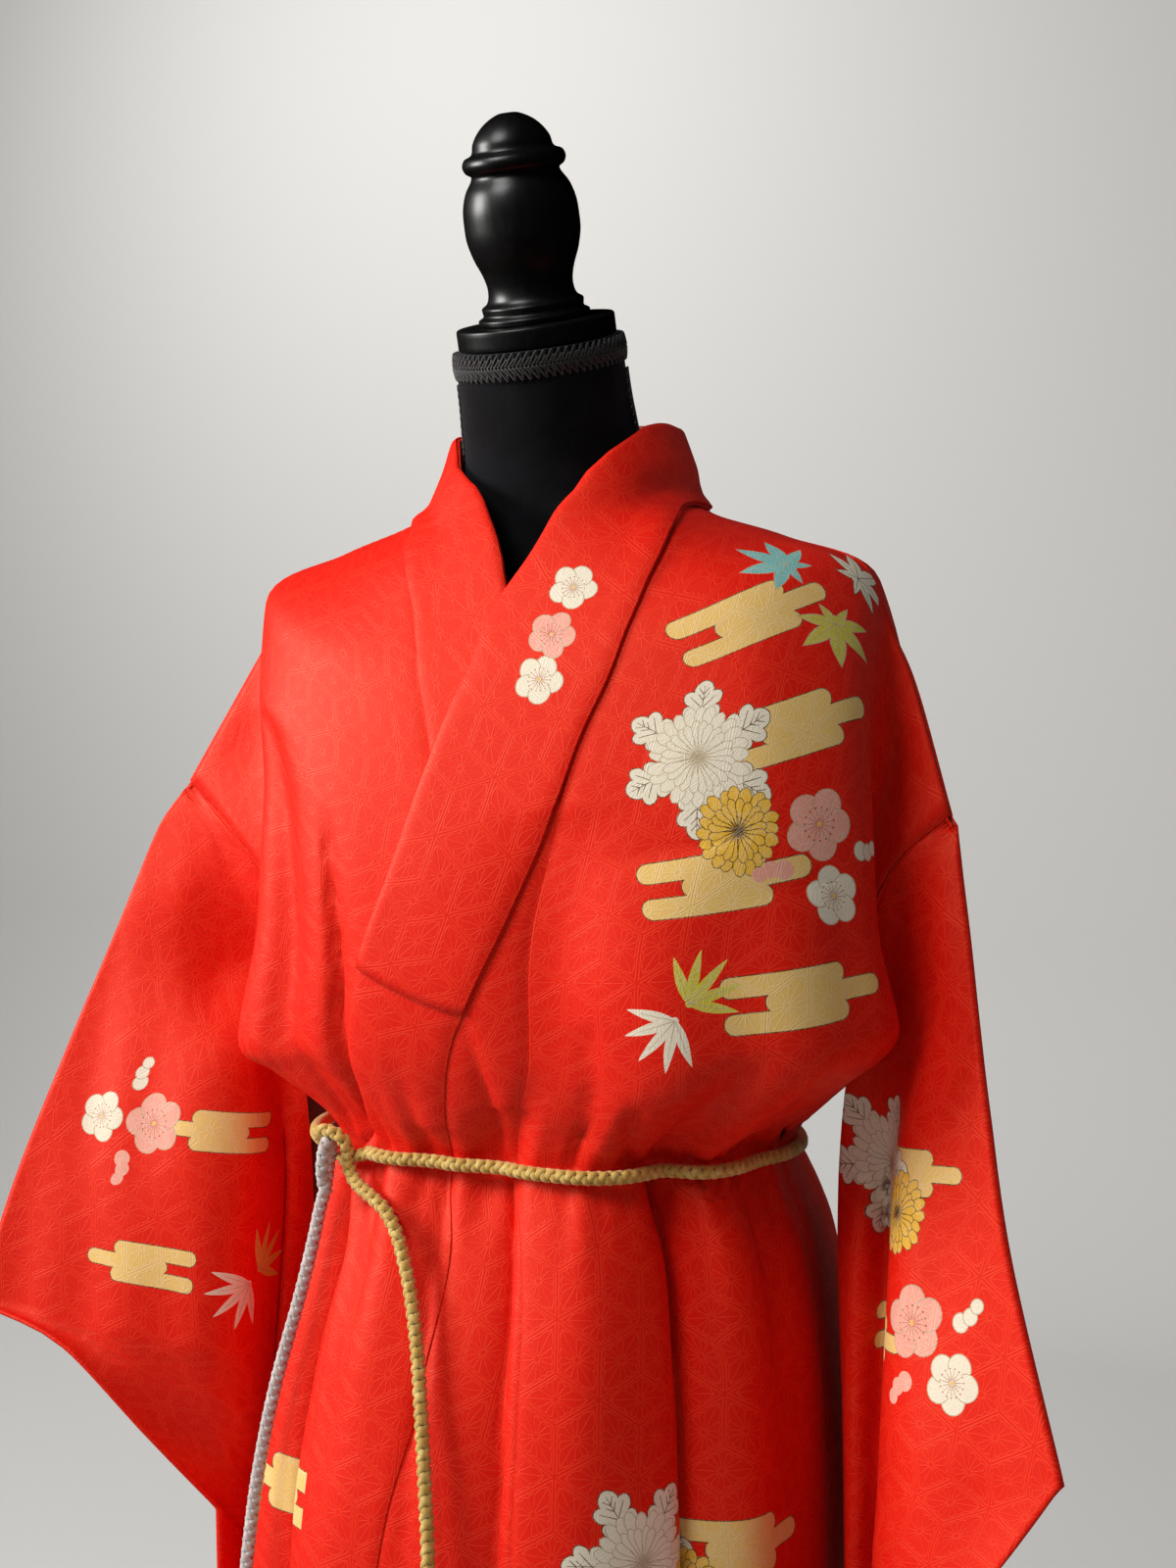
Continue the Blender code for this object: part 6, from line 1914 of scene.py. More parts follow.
@dataclass
class Tassel:
    """A tassel: a bound head on the cord's end, and a skirt of loose strands."""

    name: str
    node: str
    top: Array
    slot: Slot
    rows: int = 6
    strands: int = 15
    length: float = 0.076
    radius: float = 0.0078
    seed: int = 3

    def build(self, shop: Workshop) -> bpy.types.Object:
        """Head: a turned cap with three turns of binding. Strands hang in rings with a sway.

        Args:
            shop: Where it is put.

        Returns:
            The piece.
        """
        surface = Surface()
        draw = np.random.default_rng(self.seed)
        cap = np.array([(0.0012, 0.0), (0.0045, -0.0008), (0.0066, -0.0035), (0.0072, -0.0075),
                        (0.0064, -0.0110), (0.0070, -0.0140), (0.0060, -0.0170), (0.0010, -0.0185)])
        run = cubic(range(len(cap)), cap, np.linspace(0, len(cap) - 1, 36))
        turn = np.linspace(0, 2 * np.pi, 28, endpoint=False)
        wobble = 1 + 0.03 * np.cos(14 * turn)
        radius = run[:, :1] * wobble
        points = np.stack(np.broadcast_arrays(radius * np.cos(turn), radius * np.sin(turn),
                                              run[:, 1:]), -1) + self.top
        surface.grid(points, True, wrap_columns=True)
        for height in (-0.0100, -0.0113, -0.0126):
            ring = np.stack([0.0068 * np.cos(turn), 0.0068 * np.sin(turn),
                             np.full_like(turn, height)], -1) + self.top
            tube(surface, ring, 0.0008, 5, closed=True)
        for ring in range(self.rows):
            share = (ring + 0.6) / self.rows
            around = (np.arange(self.strands) + draw.uniform(0, 1)) * 2 * np.pi / self.strands
            start = np.stack([share * 0.0062 * np.cos(around), share * 0.0062 * np.sin(around),
                              np.full_like(around, -0.0150)], -1)
            spread = share * self.radius * draw.uniform(0.95, 1.45, self.strands)
            end_turn = around + draw.normal(0, 0.25, self.strands)
            drop = -self.length * draw.uniform(0.93, 1.0, self.strands)
            end = np.stack([spread * np.cos(end_turn), spread * np.sin(end_turn), drop], -1)
            down = np.linspace(0, 1, 9)[:, None, None]
            bulge = np.sin(np.pi * down) * 0.0012 * (start * (1, 1, 0)) / 0.0062
            paths = start + (end - start) * down + bulge + self.top
            for strand in range(self.strands):
                tube(surface, paths[:, strand], 0.00062, 4)
        mesh = surface.mesh(self.name, shop.shift)
        return shop.put(self.name, mesh, self.slot, (self.node,))


@dataclass
class CordBelt:
    """The cord round the waist, its knot at the wearer's right, and its two tails."""

    def build(self, shop: Workshop) -> None:
        """Makes the tails first, each with its tassel, then the round and the knot.

        Args:
            shop: Where the pieces are put.
        """
        for colour, route, slot in (("silver", SILVER_ROUTE, Slot.CORD_SILVER),
                                    ("gold", GOLD_ROUTE, Slot.CORD_GOLD)):
            route = np.array(route)
            path = along_path(route, np.linspace(0, 1, 60))
            tail = BraidedCord(f"tail_{colour}_braid", path, slot, (f"tail_{colour}",)).build(shop)
            top = route[-1] - (0.0, 0.0, 0.0008)
            tassel = Tassel(f"tassel_{colour}_strands", f"tassel_{colour}", top, slot,
                            seed=7 if colour == "gold" else 3).build(shop)
            length = round(float(lengths(path, 0)[-1]), 3)
            LOG.info("tail_%s: %.3f m", colour, length)
        start, end = KNOT_BEARING + KNOT_SPAN, KNOT_BEARING + 360 - KNOT_SPAN
        round_ = np.array([belt_point(bearing if bearing <= 180 else bearing - 360)
                           for bearing in np.linspace(start, end, 91)])
        BraidedCord("belt_braid", round_, Slot.CORD_GOLD, ("belt_round",)).build(shop)
        self.knot(shop)

    def knot(self, shop: Workshop) -> None:
        """The knot: the gold end comes over the top and goes on as its tail.

        The silver end comes up as an arch under it, and the round's other end goes in behind.

        Args:
            shop: Where the pieces are put.
        """
        centre = belt_point(KNOT_BEARING)
        outward = centre * (1, 1, 0) / np.linalg.norm(centre[:2])
        aside = np.array([-outward[1], outward[0], 0.0])
        up = np.array([0.0, 0.0, 1.0])
        middle = centre + outward * KNOT_OUT - up * KNOT_DOWN
        for name, (slot, node, marks) in KNOT_ROUTES.items():
            marks = np.array(marks) * 0.001
            path = middle + marks[:, :1] * aside + marks[:, 1:2] * outward + marks[:, 2:] * up
            rough = lengths(path[:, None], 0)[:, 0]
            path = cubic(rough, path, np.linspace(0, rough[-1], 60))
            BraidedCord(name, path, slot, (node,) if node else ()).build(shop)


# Dress form

@dataclass
class TurnedPiece:
    """A piece turned on a lathe: a smooth profile of radius and height, swept round an axis."""

    name: str
    node: str
    profile: tuple[tuple[float, float], ...]
    place: Matrix
    slot: Slot
    sides: int = 96
    fineness: int = 5

    def build(self, shop: Workshop) -> bpy.types.Object:
        """Sweeps the profile, closed at both poles.

        Args:
            shop: Where it is put.

        Returns:
            The piece.
        """
        marks = np.array([(0.0, self.profile[0][1]), *self.profile, (0.0, self.profile[-1][1])])
        run = lengths(marks[:, None], 0)[:, 0]
        extra = np.unique(np.concatenate([np.linspace(a, b, self.fineness)
                                          for a, b in zip(run, run[1:])]))
        profile = cubic(run, marks, extra)
        turn = np.linspace(0, 2 * np.pi, self.sides, endpoint=False)
        local = np.stack(np.broadcast_arrays(profile[:, :1] * np.cos(turn),
                                             profile[:, :1] * np.sin(turn), profile[:, 1:]), -1)
        turned = local @ np.array(self.place.to_3x3()).T + np.array(self.place.translation)
        surface = Surface()
        places = np.stack(np.broadcast_arrays(turn[None, :] * 0.03, extra[:, None]), -1)
        surface.grid(turned, True, places, wrap_columns=True)
        mesh = surface.mesh(self.name, shop.shift)
        weld(mesh, 1e-6)
        mesh.set_sharp_from_angle(angle=math.radians(50))
        return shop.put(self.name, mesh, self.slot, (self.node,))


@dataclass
class DressForm:
    """Torso and neck in velvet, gimp braid, cap, finial, pole and base."""

    round_power: float = 2.2

    def skin(self, turn: Array, height: Array, out: float = 0.0) -> Array:
        """Points on the torso: a superellipse ring for each height, tilted at the neck.

        Args:
            turn: Angles from +X towards +Y, radians.
            height: Nominal heights, of a shape that broadcasts with the angles.
            out: Distance out from the skin, metres.

        Returns:
            The points.
        """
        marks = [row.height for row in TORSO]
        centre_y, half, front, back, tilt = (
            cubic(marks, [getattr(row, name) for row in TORSO], height)
            for name in ("centre_y", "half_width", "front", "back", "tilt"))
        across = np.sign(np.cos(turn)) * np.abs(np.cos(turn)) ** (2 / self.round_power)
        deep = np.sign(np.sin(turn)) * np.abs(np.sin(turn)) ** (2 / self.round_power)
        y = deep * (np.where(deep < 0, front, back) + out)
        return np.stack(np.broadcast_arrays(across * (half + out), centre_y + y,
                                            height + y * np.tan(np.radians(tilt))), -1)

    def build(self, shop: Workshop) -> None:
        """Makes every piece of the form.

        Args:
            shop: Where the pieces are put.
        """
        heights = level_marks(TORSO)
        turn = np.linspace(0, 2 * np.pi, 120, endpoint=False)
        points = self.skin(turn[None, :], heights[:, None])
        surface = Surface()
        places = np.stack(np.broadcast_arrays(turn[None, :] * 0.08, heights[:, None]), -1)
        surface.grid(points, True, places, wrap_columns=True)
        for row, share in ((points[0], 0), (points[-1], 1)):
            middle = row.mean(axis=0)
            cap = middle + (row - middle) * np.array([1.0, 0.5, 1e-4])[:, None, None]
            surface.grid(cap if share else cap[::-1], True, wrap_columns=True)
        mesh = surface.mesh("torso_velvet", shop.shift)
        weld(mesh, 1e-6)
        mesh.set_sharp_from_angle(angle=math.radians(50))
        shop.put("torso_velvet", mesh, Slot.VELVET, ("form_torso",))
        self.gimp(shop)
        cap = Matrix.Translation(CAP_CENTRE) @ Matrix.Rotation(LEAN, 4, "X")
        half = CAP_THICK / 2
        TurnedPiece("cap_disc", "form_cap",
                    ((CAP_RADIUS - 0.0010, -half + 0.0004), (CAP_RADIUS, -half + 0.0014),
                     (CAP_RADIUS, half - 0.0014), (CAP_RADIUS - 0.0010, half)),
                    cap, Slot.BLACK_WOOD).build(shop)
        TurnedPiece("finial_turning", "form_finial", FINIAL,
                    cap @ Matrix.Translation((0, 0, half + 0.0004)), Slot.BLACK_WOOD).build(shop)
        TurnedPiece("stand_pole", "form_pole",
                    ((POLE_RADIUS, BASE_HEIGHT + 0.0004), (POLE_RADIUS, TORSO[0].height - 0.0004)),
                    Matrix.Identity(4), Slot.BLACK_METAL, sides=48).build(shop)
        TurnedPiece("stand_base", "form_base",
                    ((BASE_RADIUS - 0.004, 0.0), (BASE_RADIUS, 0.004), (BASE_RADIUS, 0.018),
                     (BASE_RADIUS - 0.010, 0.024), (0.060, 0.030), (0.030, 0.036),
                     (0.026, BASE_HEIGHT)),
                    Matrix.Identity(4), Slot.BLACK_WOOD, sides=128).build(shop)

    def gimp(self, shop: Workshop) -> None:
        """Gimp braid round the neck's top and down both sides: leaning loops in two rows.

        Round the neck a row's cord is at the height sign x half x (1 - cos w) / 2 from the
        middle and at the angle w / loops + lean x height, so its loops lean and the two rows
        meet as chevrons. A second, shorter cord fills each row half a loop on. The sides' runs
        are narrower.

        Args:
            shop: Where the piece is put.
        """
        surface = Surface()
        place = Matrix.Translation(CAP_CENTRE) @ Matrix.Rotation(LEAN, 4, "X")
        turn = np.linspace(0, 2 * np.pi, GIMP_LOOPS * 20, endpoint=False)
        for row in (-1, 1):
            for share, shift in ((1.0, 0.0), (0.55, np.pi)):
                swing = GIMP_LOOPS * turn + shift
                reach = share * (1 - np.cos(swing)) / 2
                angle = turn + GIMP_LEAN * reach
                radius = GIMP_RADIUS + 0.0009 * (1 - reach) + 0.0003 * np.sin(swing)
                height = GIMP_HEIGHT + row * (0.0005 + GIMP_HALF * reach)
                local = np.stack([radius * np.cos(angle), radius * np.sin(angle), height], -1)
                path = local @ np.array(place.to_3x3()).T + np.array(place.translation)
                tube(surface, path, 0.00072, 5, closed=True)
        down = np.linspace(1.5585, 1.440, 620)
        for side in (GIMP_SIDE, GIMP_SIDE + np.pi):
            for row in (-1, 1):
                swing = 2 * np.pi * down / 0.0046
                reach = (1 - np.cos(swing)) / 2
                angle = side + row * (0.0004 + 0.0040 * reach) / 0.055
                path = self.skin(angle, down - 0.0022 * reach, 0.0014 + 0.0005 * (1 - reach))
                tube(surface, path, 0.00072, 5)
        mesh = surface.mesh("neck_gimp", shop.shift)
        shop.put("neck_gimp", mesh, Slot.TRIM, ("form_braid",))


def level_marks(table: Sequence[Section]) -> Array:
    """Heights from the lowest section to the highest, about 4 mm apart."""
    return np.linspace(table[0].height, table[-1].height, 190)


# Finishes

Input = "Socket | float | Sequence[float]"


class Socket:
    """One output of a node. Arithmetic with it makes Math nodes."""

    def __init__(self, net: Network, socket: bpy.types.NodeSocket) -> None:
        """Keeps the output.

        Args:
            net: The tree it is in.
            socket: The output.
        """
        self.net, self.socket = net, socket

    def __add__(self, other: Input) -> Socket:
        """Sum."""
        return self.net.math("ADD", self, other)

    def __radd__(self, other: Input) -> Socket:
        """Sum."""
        return self.net.math("ADD", other, self)

    def __sub__(self, other: Input) -> Socket:
        """Difference."""
        return self.net.math("SUBTRACT", self, other)

    def __rsub__(self, other: Input) -> Socket:
        """Difference."""
        return self.net.math("SUBTRACT", other, self)

    def __mul__(self, other: Input) -> Socket:
        """Product."""
        return self.net.math("MULTIPLY", self, other)

    def __rmul__(self, other: Input) -> Socket:
        """Product."""
        return self.net.math("MULTIPLY", other, self)

    def __truediv__(self, other: Input) -> Socket:
        """Quotient."""
        return self.net.math("DIVIDE", self, other)

    def __rtruediv__(self, other: Input) -> Socket:
        """Quotient."""
        return self.net.math("DIVIDE", other, self)

    def __pow__(self, other: Input) -> Socket:
        """Power."""
        return self.net.math("POWER", self, other)

    def __neg__(self) -> Socket:
        """Negative."""
        return self.net.math("MULTIPLY", self, -1.0)

    def __abs__(self) -> Socket:
        """Size."""
        return self.net.math("ABSOLUTE", self)


class Network:
    """The node tree of one finish, and short ways to build it."""

    def __init__(self, name: str) -> None:
        """Starts a material with a Principled BSDF.

        Args:
            name: The material's name.
        """
        self.material = bpy.data.materials.new(name)
        self.material.use_nodes = True
        self.tree = self.material.node_tree
        self.shader = self.tree.nodes["Principled BSDF"]

    def feed(self, socket: bpy.types.NodeSocket, value: Input) -> None:
        """Links an output to an input, or sets the input's constant."""
        if isinstance(value, Socket):
            self.tree.links.new(value.socket, socket)
        elif socket.type == "RGBA":
            socket.default_value = (*value, 1.0)
        else:
            socket.default_value = value

    def node(self, kind: str, inputs: dict[str | int, Input], out: str | int = 0,
             **settings: str | bool | float) -> Socket:
        """Makes any node.

        Args:
            kind: Its type, without the word ShaderNode.
            inputs: What goes into each of its inputs.
            out: The output wanted.
            settings: Its own settings.

        Returns:
            That output.
        """
        made = self.tree.nodes.new("ShaderNode" + kind)
        for key, value in settings.items():
            setattr(made, key, value)
        for key, value in inputs.items():
            self.feed(made.inputs[key], value)
        return Socket(self, made.outputs[out])

    def math(self, operation: str, first: Input, second: Input = 0.0) -> Socket:
        """One Math node."""
        return self.node("Math", {0: first, 1: second}, operation=operation)

    def vector(self, operation: str, first: Input, second: Input = (0, 0, 0),
               out: str = "Vector") -> Socket:
        """One Vector Math node."""
        return self.node("VectorMath", {0: first, 1: second}, out, operation=operation)

    def parts(self, vector: Input) -> tuple[Socket, Socket]:
        """The first two numbers of a vector."""
        made = self.node("SeparateXYZ", {0: vector})
        return made, Socket(self, made.socket.node.outputs[1])

    def step(self, value: Input, low: float, high: float) -> Socket:
        """0 at low, 1 at high, smooth between; low may be the larger."""
        if low > high:
            return 1.0 - self.step(value, high, low)
        return self.node("MapRange", {0: value, 1: low, 2: high}, interpolation_type="SMOOTHSTEP")

    def mix(self, share: Input, first: Input, second: Input, how: str = "MIX") -> Socket:
        """Colour between two colours."""
        return self.node("Mix", {0: share, 6: first, 7: second}, 2, data_type="RGBA",
                         blend_type=how)

    def noise(self, place: Input, scale: float, detail: float = 2.0, rough: float = 0.5) -> Socket:
        """Noise between 0 and 1."""
        return self.node("TexNoise", {"Vector": place, "Scale": scale, "Detail": detail,
                                      "Roughness": rough})

    def finish(self, colour: Input, roughness: Input, bump: Input | None = None,
               distance: float = 0.0002, **constants: float | Sequence[float]) -> None:
        """Sets what the surface takes.

        Args:
            colour: Base colour.
            roughness: Roughness.
            bump: Height, 0 to 1.
            distance: The height that 1 stands for, metres.
            constants: Other inputs, by name with _ for a space.
        """
        self.feed(self.shader.inputs["Base Color"], colour)
        self.feed(self.shader.inputs["Roughness"], roughness)
        if bump is not None:
            normal = self.node("Bump", {"Height": bump, "Distance": distance, "Strength": 1.0})
            self.feed(self.shader.inputs["Normal"], normal)
        for name, value in constants.items():
            self.feed(self.shader.inputs[name.replace("_", " ")], value)


def hexagons(net: Network, place: Socket, cell: float) -> tuple[Socket, Socket]:
    """Place in the nearest cell of a honeycomb, and how far from its middle to its edge that is.

    Two square lattices are laid half a cell apart and the nearer centre is taken. The distance
    is the largest of x and x/2 + y sqrt(3)/2, doubled: 1 on the cell's edge.

    Args:
        net: The finish.
        place: Flat place, metres.
        cell: Width of a cell, metres.

    Returns:
        The place in the cell, in cells, and the distance.
    """
    size = (1.0, math.sqrt(3), 1.0)
    half = (0.5, math.sqrt(3) / 2, 0.0)
    spot = net.node("VectorMath", {0: place, 3: 1 / cell}, operation="SCALE")
    spot = net.vector("ADD", spot, (100.0, 100 * math.sqrt(3), 0.0))
    one = net.vector("SUBTRACT", net.vector("MODULO", spot, size), half)
    moved = net.vector("ADD", spot, half)
    two = net.vector("SUBTRACT", net.vector("MODULO", moved, size), half)
    nearer = net.math("LESS_THAN", net.vector("LENGTH", one, out="Value"),
                      net.vector("LENGTH", two, out="Value"))
    inside = net.node("Mix", {0: nearer, 4: two, 5: one}, 1, data_type="VECTOR")
    x, y = net.parts(net.vector("ABSOLUTE", inside))
    edge = net.math("MAXIMUM", x, x * 0.5 + y * (math.sqrt(3) / 2)) * 2.0
    return inside, edge


@dataclass(frozen=True)
class FiguredSilk:
    """Figured satin, with what is painted on it taken from the paint attribute."""

    name: str = "silk"
    ground: Colour = (0.86, 0.0070, 0.0024)
    deep: Colour = (0.72, 0.0040, 0.0012)
    # figure: the woven figure's lines, drawn lighter than the ground as painted sheen
    figure: Colour = (0.98, 0.050, 0.019)
    gleam: Colour = (1.0, 0.50, 0.26)
    cell: float = 0.047
    petals: int = 7

    def woven(self, net: Network, place: Socket) -> Socket:
        """The figure: 1 on its lines and 0 between them.

        Each hexagon is three rhombi round its middle, whose half diagonals are 0.289 and 0.5
        cells. A quarter of 1 - |x| / 0.289 - |y| / 0.5 is the distance from a rhombus's edge.
        A line beside every edge makes doubled lines, and each rhombus holds a flower of
        scalloped petals that spread from its middle.

        Args:
            net: The finish.
            place: Flat place, metres.

        Returns:
            The figure.
        """
        bend = net.vector("SUBTRACT", net.node("TexNoise", {"Vector": place, "Scale": 8.0}, 1),
                          (0.5, 0.5, 0.5))
        bent = net.node("VectorMath", {0: bend, 1: (0.008, 0.008, 0.0), 2: place},
                        operation="MULTIPLY_ADD")
        inside, _ = hexagons(net, bent, self.cell)
        x, y = net.parts(inside)
        third = math.radians(120)
        turn = net.math("MODULO", net.math("ARCTAN2", y, x) + math.radians(330), third) - third / 2
        reach = net.vector("LENGTH", inside, out="Value")
        x = reach * net.math("COSINE", turn) - 0.2887
        y = reach * net.math("SINE", turn)
        edge = (1.0 - abs(x) / 0.2887 - abs(y) / 0.5) * 0.25
        lines = net.step(abs(edge - 0.020), 0.013, 0.006)
        petal = abs(net.math("COSINE", net.math("ARCTAN2", y, x) * float(self.petals)))
        spread = net.math("SQRT", x * x + y * y)
        scallop = 0.066 - 0.022 * petal
        rim = net.step(abs(edge - scallop), 0.011, 0.005)
        ribs = net.step(spread * petal / self.petals, 0.0085, 0.0035)
        ribs = ribs * net.step(edge, 0.062, 0.070) * net.step(spread, 0.018, 0.04)
        return net.math("MAXIMUM", lines, net.math("MAXIMUM", rim, ribs))

    def make(self) -> bpy.types.Material:
        """Figure with its painted sheen, crepe grain with painted shade in its hollows, and paint.

        Returns:
            The material.
        """
        net = Network(self.name)
        place = net.node("UVMap", {}, uv_map="cloth")
        figure = self.woven(net, place) * (0.55 + 0.45 * net.noise(place, 700.0, 1.0))
        slow = net.noise(place, 5.0, 3.0)
        grain = net.noise(place, 760.0, 3.0, 0.65)
        red = net.mix(slow, self.deep, self.ground)
        # Painted sheen: the woven figure's lines take the lighter figure colour
        red = net.mix(figure * 0.55, red, self.figure)
        paint = net.node("Attribute", {}, "Color", attribute_name="paint")
        cover = net.node("Attribute", {}, "Alpha", attribute_name="paint")
        wash = net.mix(1.0, paint, net.mix(slow, (0.90, 0.86, 0.80), (1.0, 1.0, 1.0)), "MULTIPLY")
        # Painted sheen: the woven figure lightens the paint as well
        painted = net.mix(figure * 0.22, wash, (1.0, 0.93, 0.78))
        painted = net.mix(net.step(grain, 0.40, 0.80) * 0.22, painted,
                          net.mix(1.0, painted, (0.70, 0.60, 0.50), "MULTIPLY"))
        colour = net.mix(cover, red, painted)
        # Painted shade: where the crepe grain is low, in its hollows, the colour is darkened
        shade = net.mix(1.0, colour, (0.62, 0.50, 0.50), "MULTIPLY")
        colour = net.mix(net.step(grain, 0.62, 0.30) * 0.30, colour, shade)
        rough = 0.50 - 0.12 * figure + 0.10 * grain + 0.12 * cover
        height = 0.45 * figure + 0.55 * grain
        net.finish(colour, rough, height, 0.00022, Specular_IOR_Level=0.42,
                   Specular_Tint=self.gleam)
        return net.material


@dataclass(frozen=True)
class PlainWeave:
    """A plain cloth of two sets of threads: the lining."""

    name: str = "lining"
    colour: Colour = (0.30, 0.105, 0.075)
    other: Colour = (0.36, 0.15, 0.105)
    pitch: float = 0.0011

    def make(self) -> bpy.types.Material:
        """Height is the product of the sines along warp and weft, and noise varies the dye."""
        net = Network(self.name)
        place = net.node("UVMap", {}, uv_map="cloth")
        x, y = net.parts(place)
        turn = 2 * math.pi / self.pitch
        weave = net.math("SINE", x * turn) * net.math("SINE", y * turn) * 0.5 + 0.5
        cloudy = net.noise(place, 22.0, 4.0, 0.6)
        slub = net.noise(net.vector("MULTIPLY", place, (1.0, 14.0, 1.0)), 90.0, 2.0)
        colour = net.mix(cloudy, self.colour, self.other)
        colour = net.mix(slub * 0.25, colour, (0.16, 0.05, 0.035))
        net.finish(colour, 0.62 + 0.12 * slub, weave * 0.6 + slub * 0.4, 0.00018,
                   Sheen_Weight=0.2)
        return net.material


@dataclass(frozen=True)
class BraidYarn:
    """Silk floss in a braid or a tassel: fine threads along each strand."""

    name: str
    colour: Colour
    # shade: painted shade, for the grooves between the threads
    shade: Colour
    light: Colour

    def make(self) -> bpy.types.Material:
        """Threads are sines across the strand's UV, broken by noise along it."""
        net = Network(self.name)
        place = net.node("UVMap", {}, uv_map="cloth")
        x, y = net.parts(place)
        drift = net.noise(net.vector("MULTIPLY", place, (400.0, 60.0, 1.0)), 1.0, 2.0)
        thread = net.math("SINE", x * 9000.0 + y * 1400.0 + drift * 7.0) * 0.5 + 0.5
        patch = net.noise(net.node("TexCoord", {}, "Object"), 160.0, 3.0)
        # Painted shade: where the thread height is low, between threads, the colour turns to the shade
        # colour
        colour = net.mix(thread, self.shade, self.colour)
        colour = net.mix(net.step(patch, 0.45, 0.75) * 0.6, colour, self.light)
        net.finish(colour, 0.42 + 0.2 * patch, thread, 0.00012, Sheen_Weight=0.35,
                   Specular_IOR_Level=0.55)
        return net.material


@dataclass(frozen=True)
class Velvet:
    """Short black pile: darker facing, with a pale rim and brushed patches."""

    name: str = "velvet"
    colour: Colour = (0.0022, 0.0022, 0.0028)
    brushed: Colour = (0.0070, 0.0068, 0.0085)

    def make(self) -> bpy.types.Material:
        """Noise at two sizes: pile tufts and patches brushed another way."""
        net = Network(self.name)
        place = net.node("TexCoord", {}, "Object")
        patch = net.noise(place, 14.0, 4.0, 0.6)
        pile = net.noise(place, 900.0, 2.0, 0.7)
        colour = net.mix(net.step(patch, 0.38, 0.66), self.colour, self.brushed)
        colour = net.mix(pile * 0.4, colour, (0.002, 0.002, 0.003))
        net.finish(colour, 0.85 + 0.1 * pile, pile, 0.0004, Sheen_Weight=0.10,
                   Sheen_Roughness=0.4, Sheen_Tint=(0.75, 0.75, 0.85), Specular_IOR_Level=0.12)
        return net.material


@dataclass(frozen=True)
class GimpYarn:
    """Black twisted trimming cord."""

    name: str = "trim"
    colour: Colour = (0.018, 0.016, 0.015)

    def make(self) -> bpy.types.Material:
        """Twist is a sine along the cord's UV, slanted round it."""
        net = Network(self.name)
        x, y = net.parts(net.node("UVMap", {}, uv_map="cloth"))
        twist = net.math("SINE", y * 5200.0 + x * 1800.0) * 0.5 + 0.5
        fluff = net.noise(net.node("TexCoord", {}, "Object"), 700.0, 2.0)
        # Painted shade: the twist's grooves, where its height is low, are darker, with random fluff
        # noise mixed in
        colour = net.mix(twist * 0.7 + fluff * 0.3, (0.005, 0.0045, 0.0045), self.colour)
        net.finish(colour, 0.5 + 0.25 * fluff, twist, 0.00015, Sheen_Weight=0.3)
        return net.material


@dataclass(frozen=True)
class SatinBlack:
    """Black-stained wood or painted metal with a satin coat, dust and fine scratches."""

    name: str
    colour: Colour = (0.0030, 0.0028, 0.0028)
    worn: Colour = (0.0085, 0.0078, 0.0072)
    roughness: float = 0.24
    grain: float = 1.0

    def make(self) -> bpy.types.Material:
        """Grain is noise stretched upright; roughness varies with smudges."""
        net = Network(self.name)
        place = net.node("TexCoord", {}, "Object")
        fibre = net.noise(net.vector("MULTIPLY", place, (1.0, 1.0, 0.12)), 260.0, 3.0, 0.6)
        smudge = net.noise(place, 28.0, 4.0, 0.6)
        speck = net.step(net.noise(place, 1500.0, 1.0), 0.70, 0.80)
        colour = net.mix(net.step(fibre, 0.4, 0.75) * 0.5 * self.grain, self.colour, self.worn)
        colour = net.mix(speck * 0.12, colour, (0.10, 0.095, 0.09))
        rough = self.roughness + 0.14 * smudge + 0.05 * fibre
        net.finish(colour, rough, fibre * 0.6 + smudge * 0.4, 0.00010, Specular_IOR_Level=0.42)
        return net.material


FINISHES = {
    Slot.SILK: FiguredSilk(),
    Slot.LINING: PlainWeave(),
    Slot.CORD_GOLD: BraidYarn("cord_gold", (0.78, 0.50, 0.075), (0.42, 0.22, 0.020),
                              (0.92, 0.72, 0.22)),
    Slot.CORD_SILVER: BraidYarn("cord_silver", (0.68, 0.60, 0.57), (0.38, 0.31, 0.29),
                                (0.80, 0.77, 0.72)),
    Slot.VELVET: Velvet(),
    Slot.TRIM: GimpYarn(),
    Slot.BLACK_WOOD: SatinBlack("black_wood"),
    Slot.BLACK_METAL: SatinBlack("black_metal", (0.010, 0.010, 0.011), (0.02, 0.02, 0.02), 0.38,
                                 0.3),
}


# Studio

@dataclass(frozen=True)
class Lamp:
    """One large soft light, aimed at a point."""

    name: str
    at: tuple[float, float, float]
    aim: tuple[float, float, float]
    size: float
    power: float
    colour: Colour = (1.0, 1.0, 1.0)
    spread: float = 180.0     # degrees


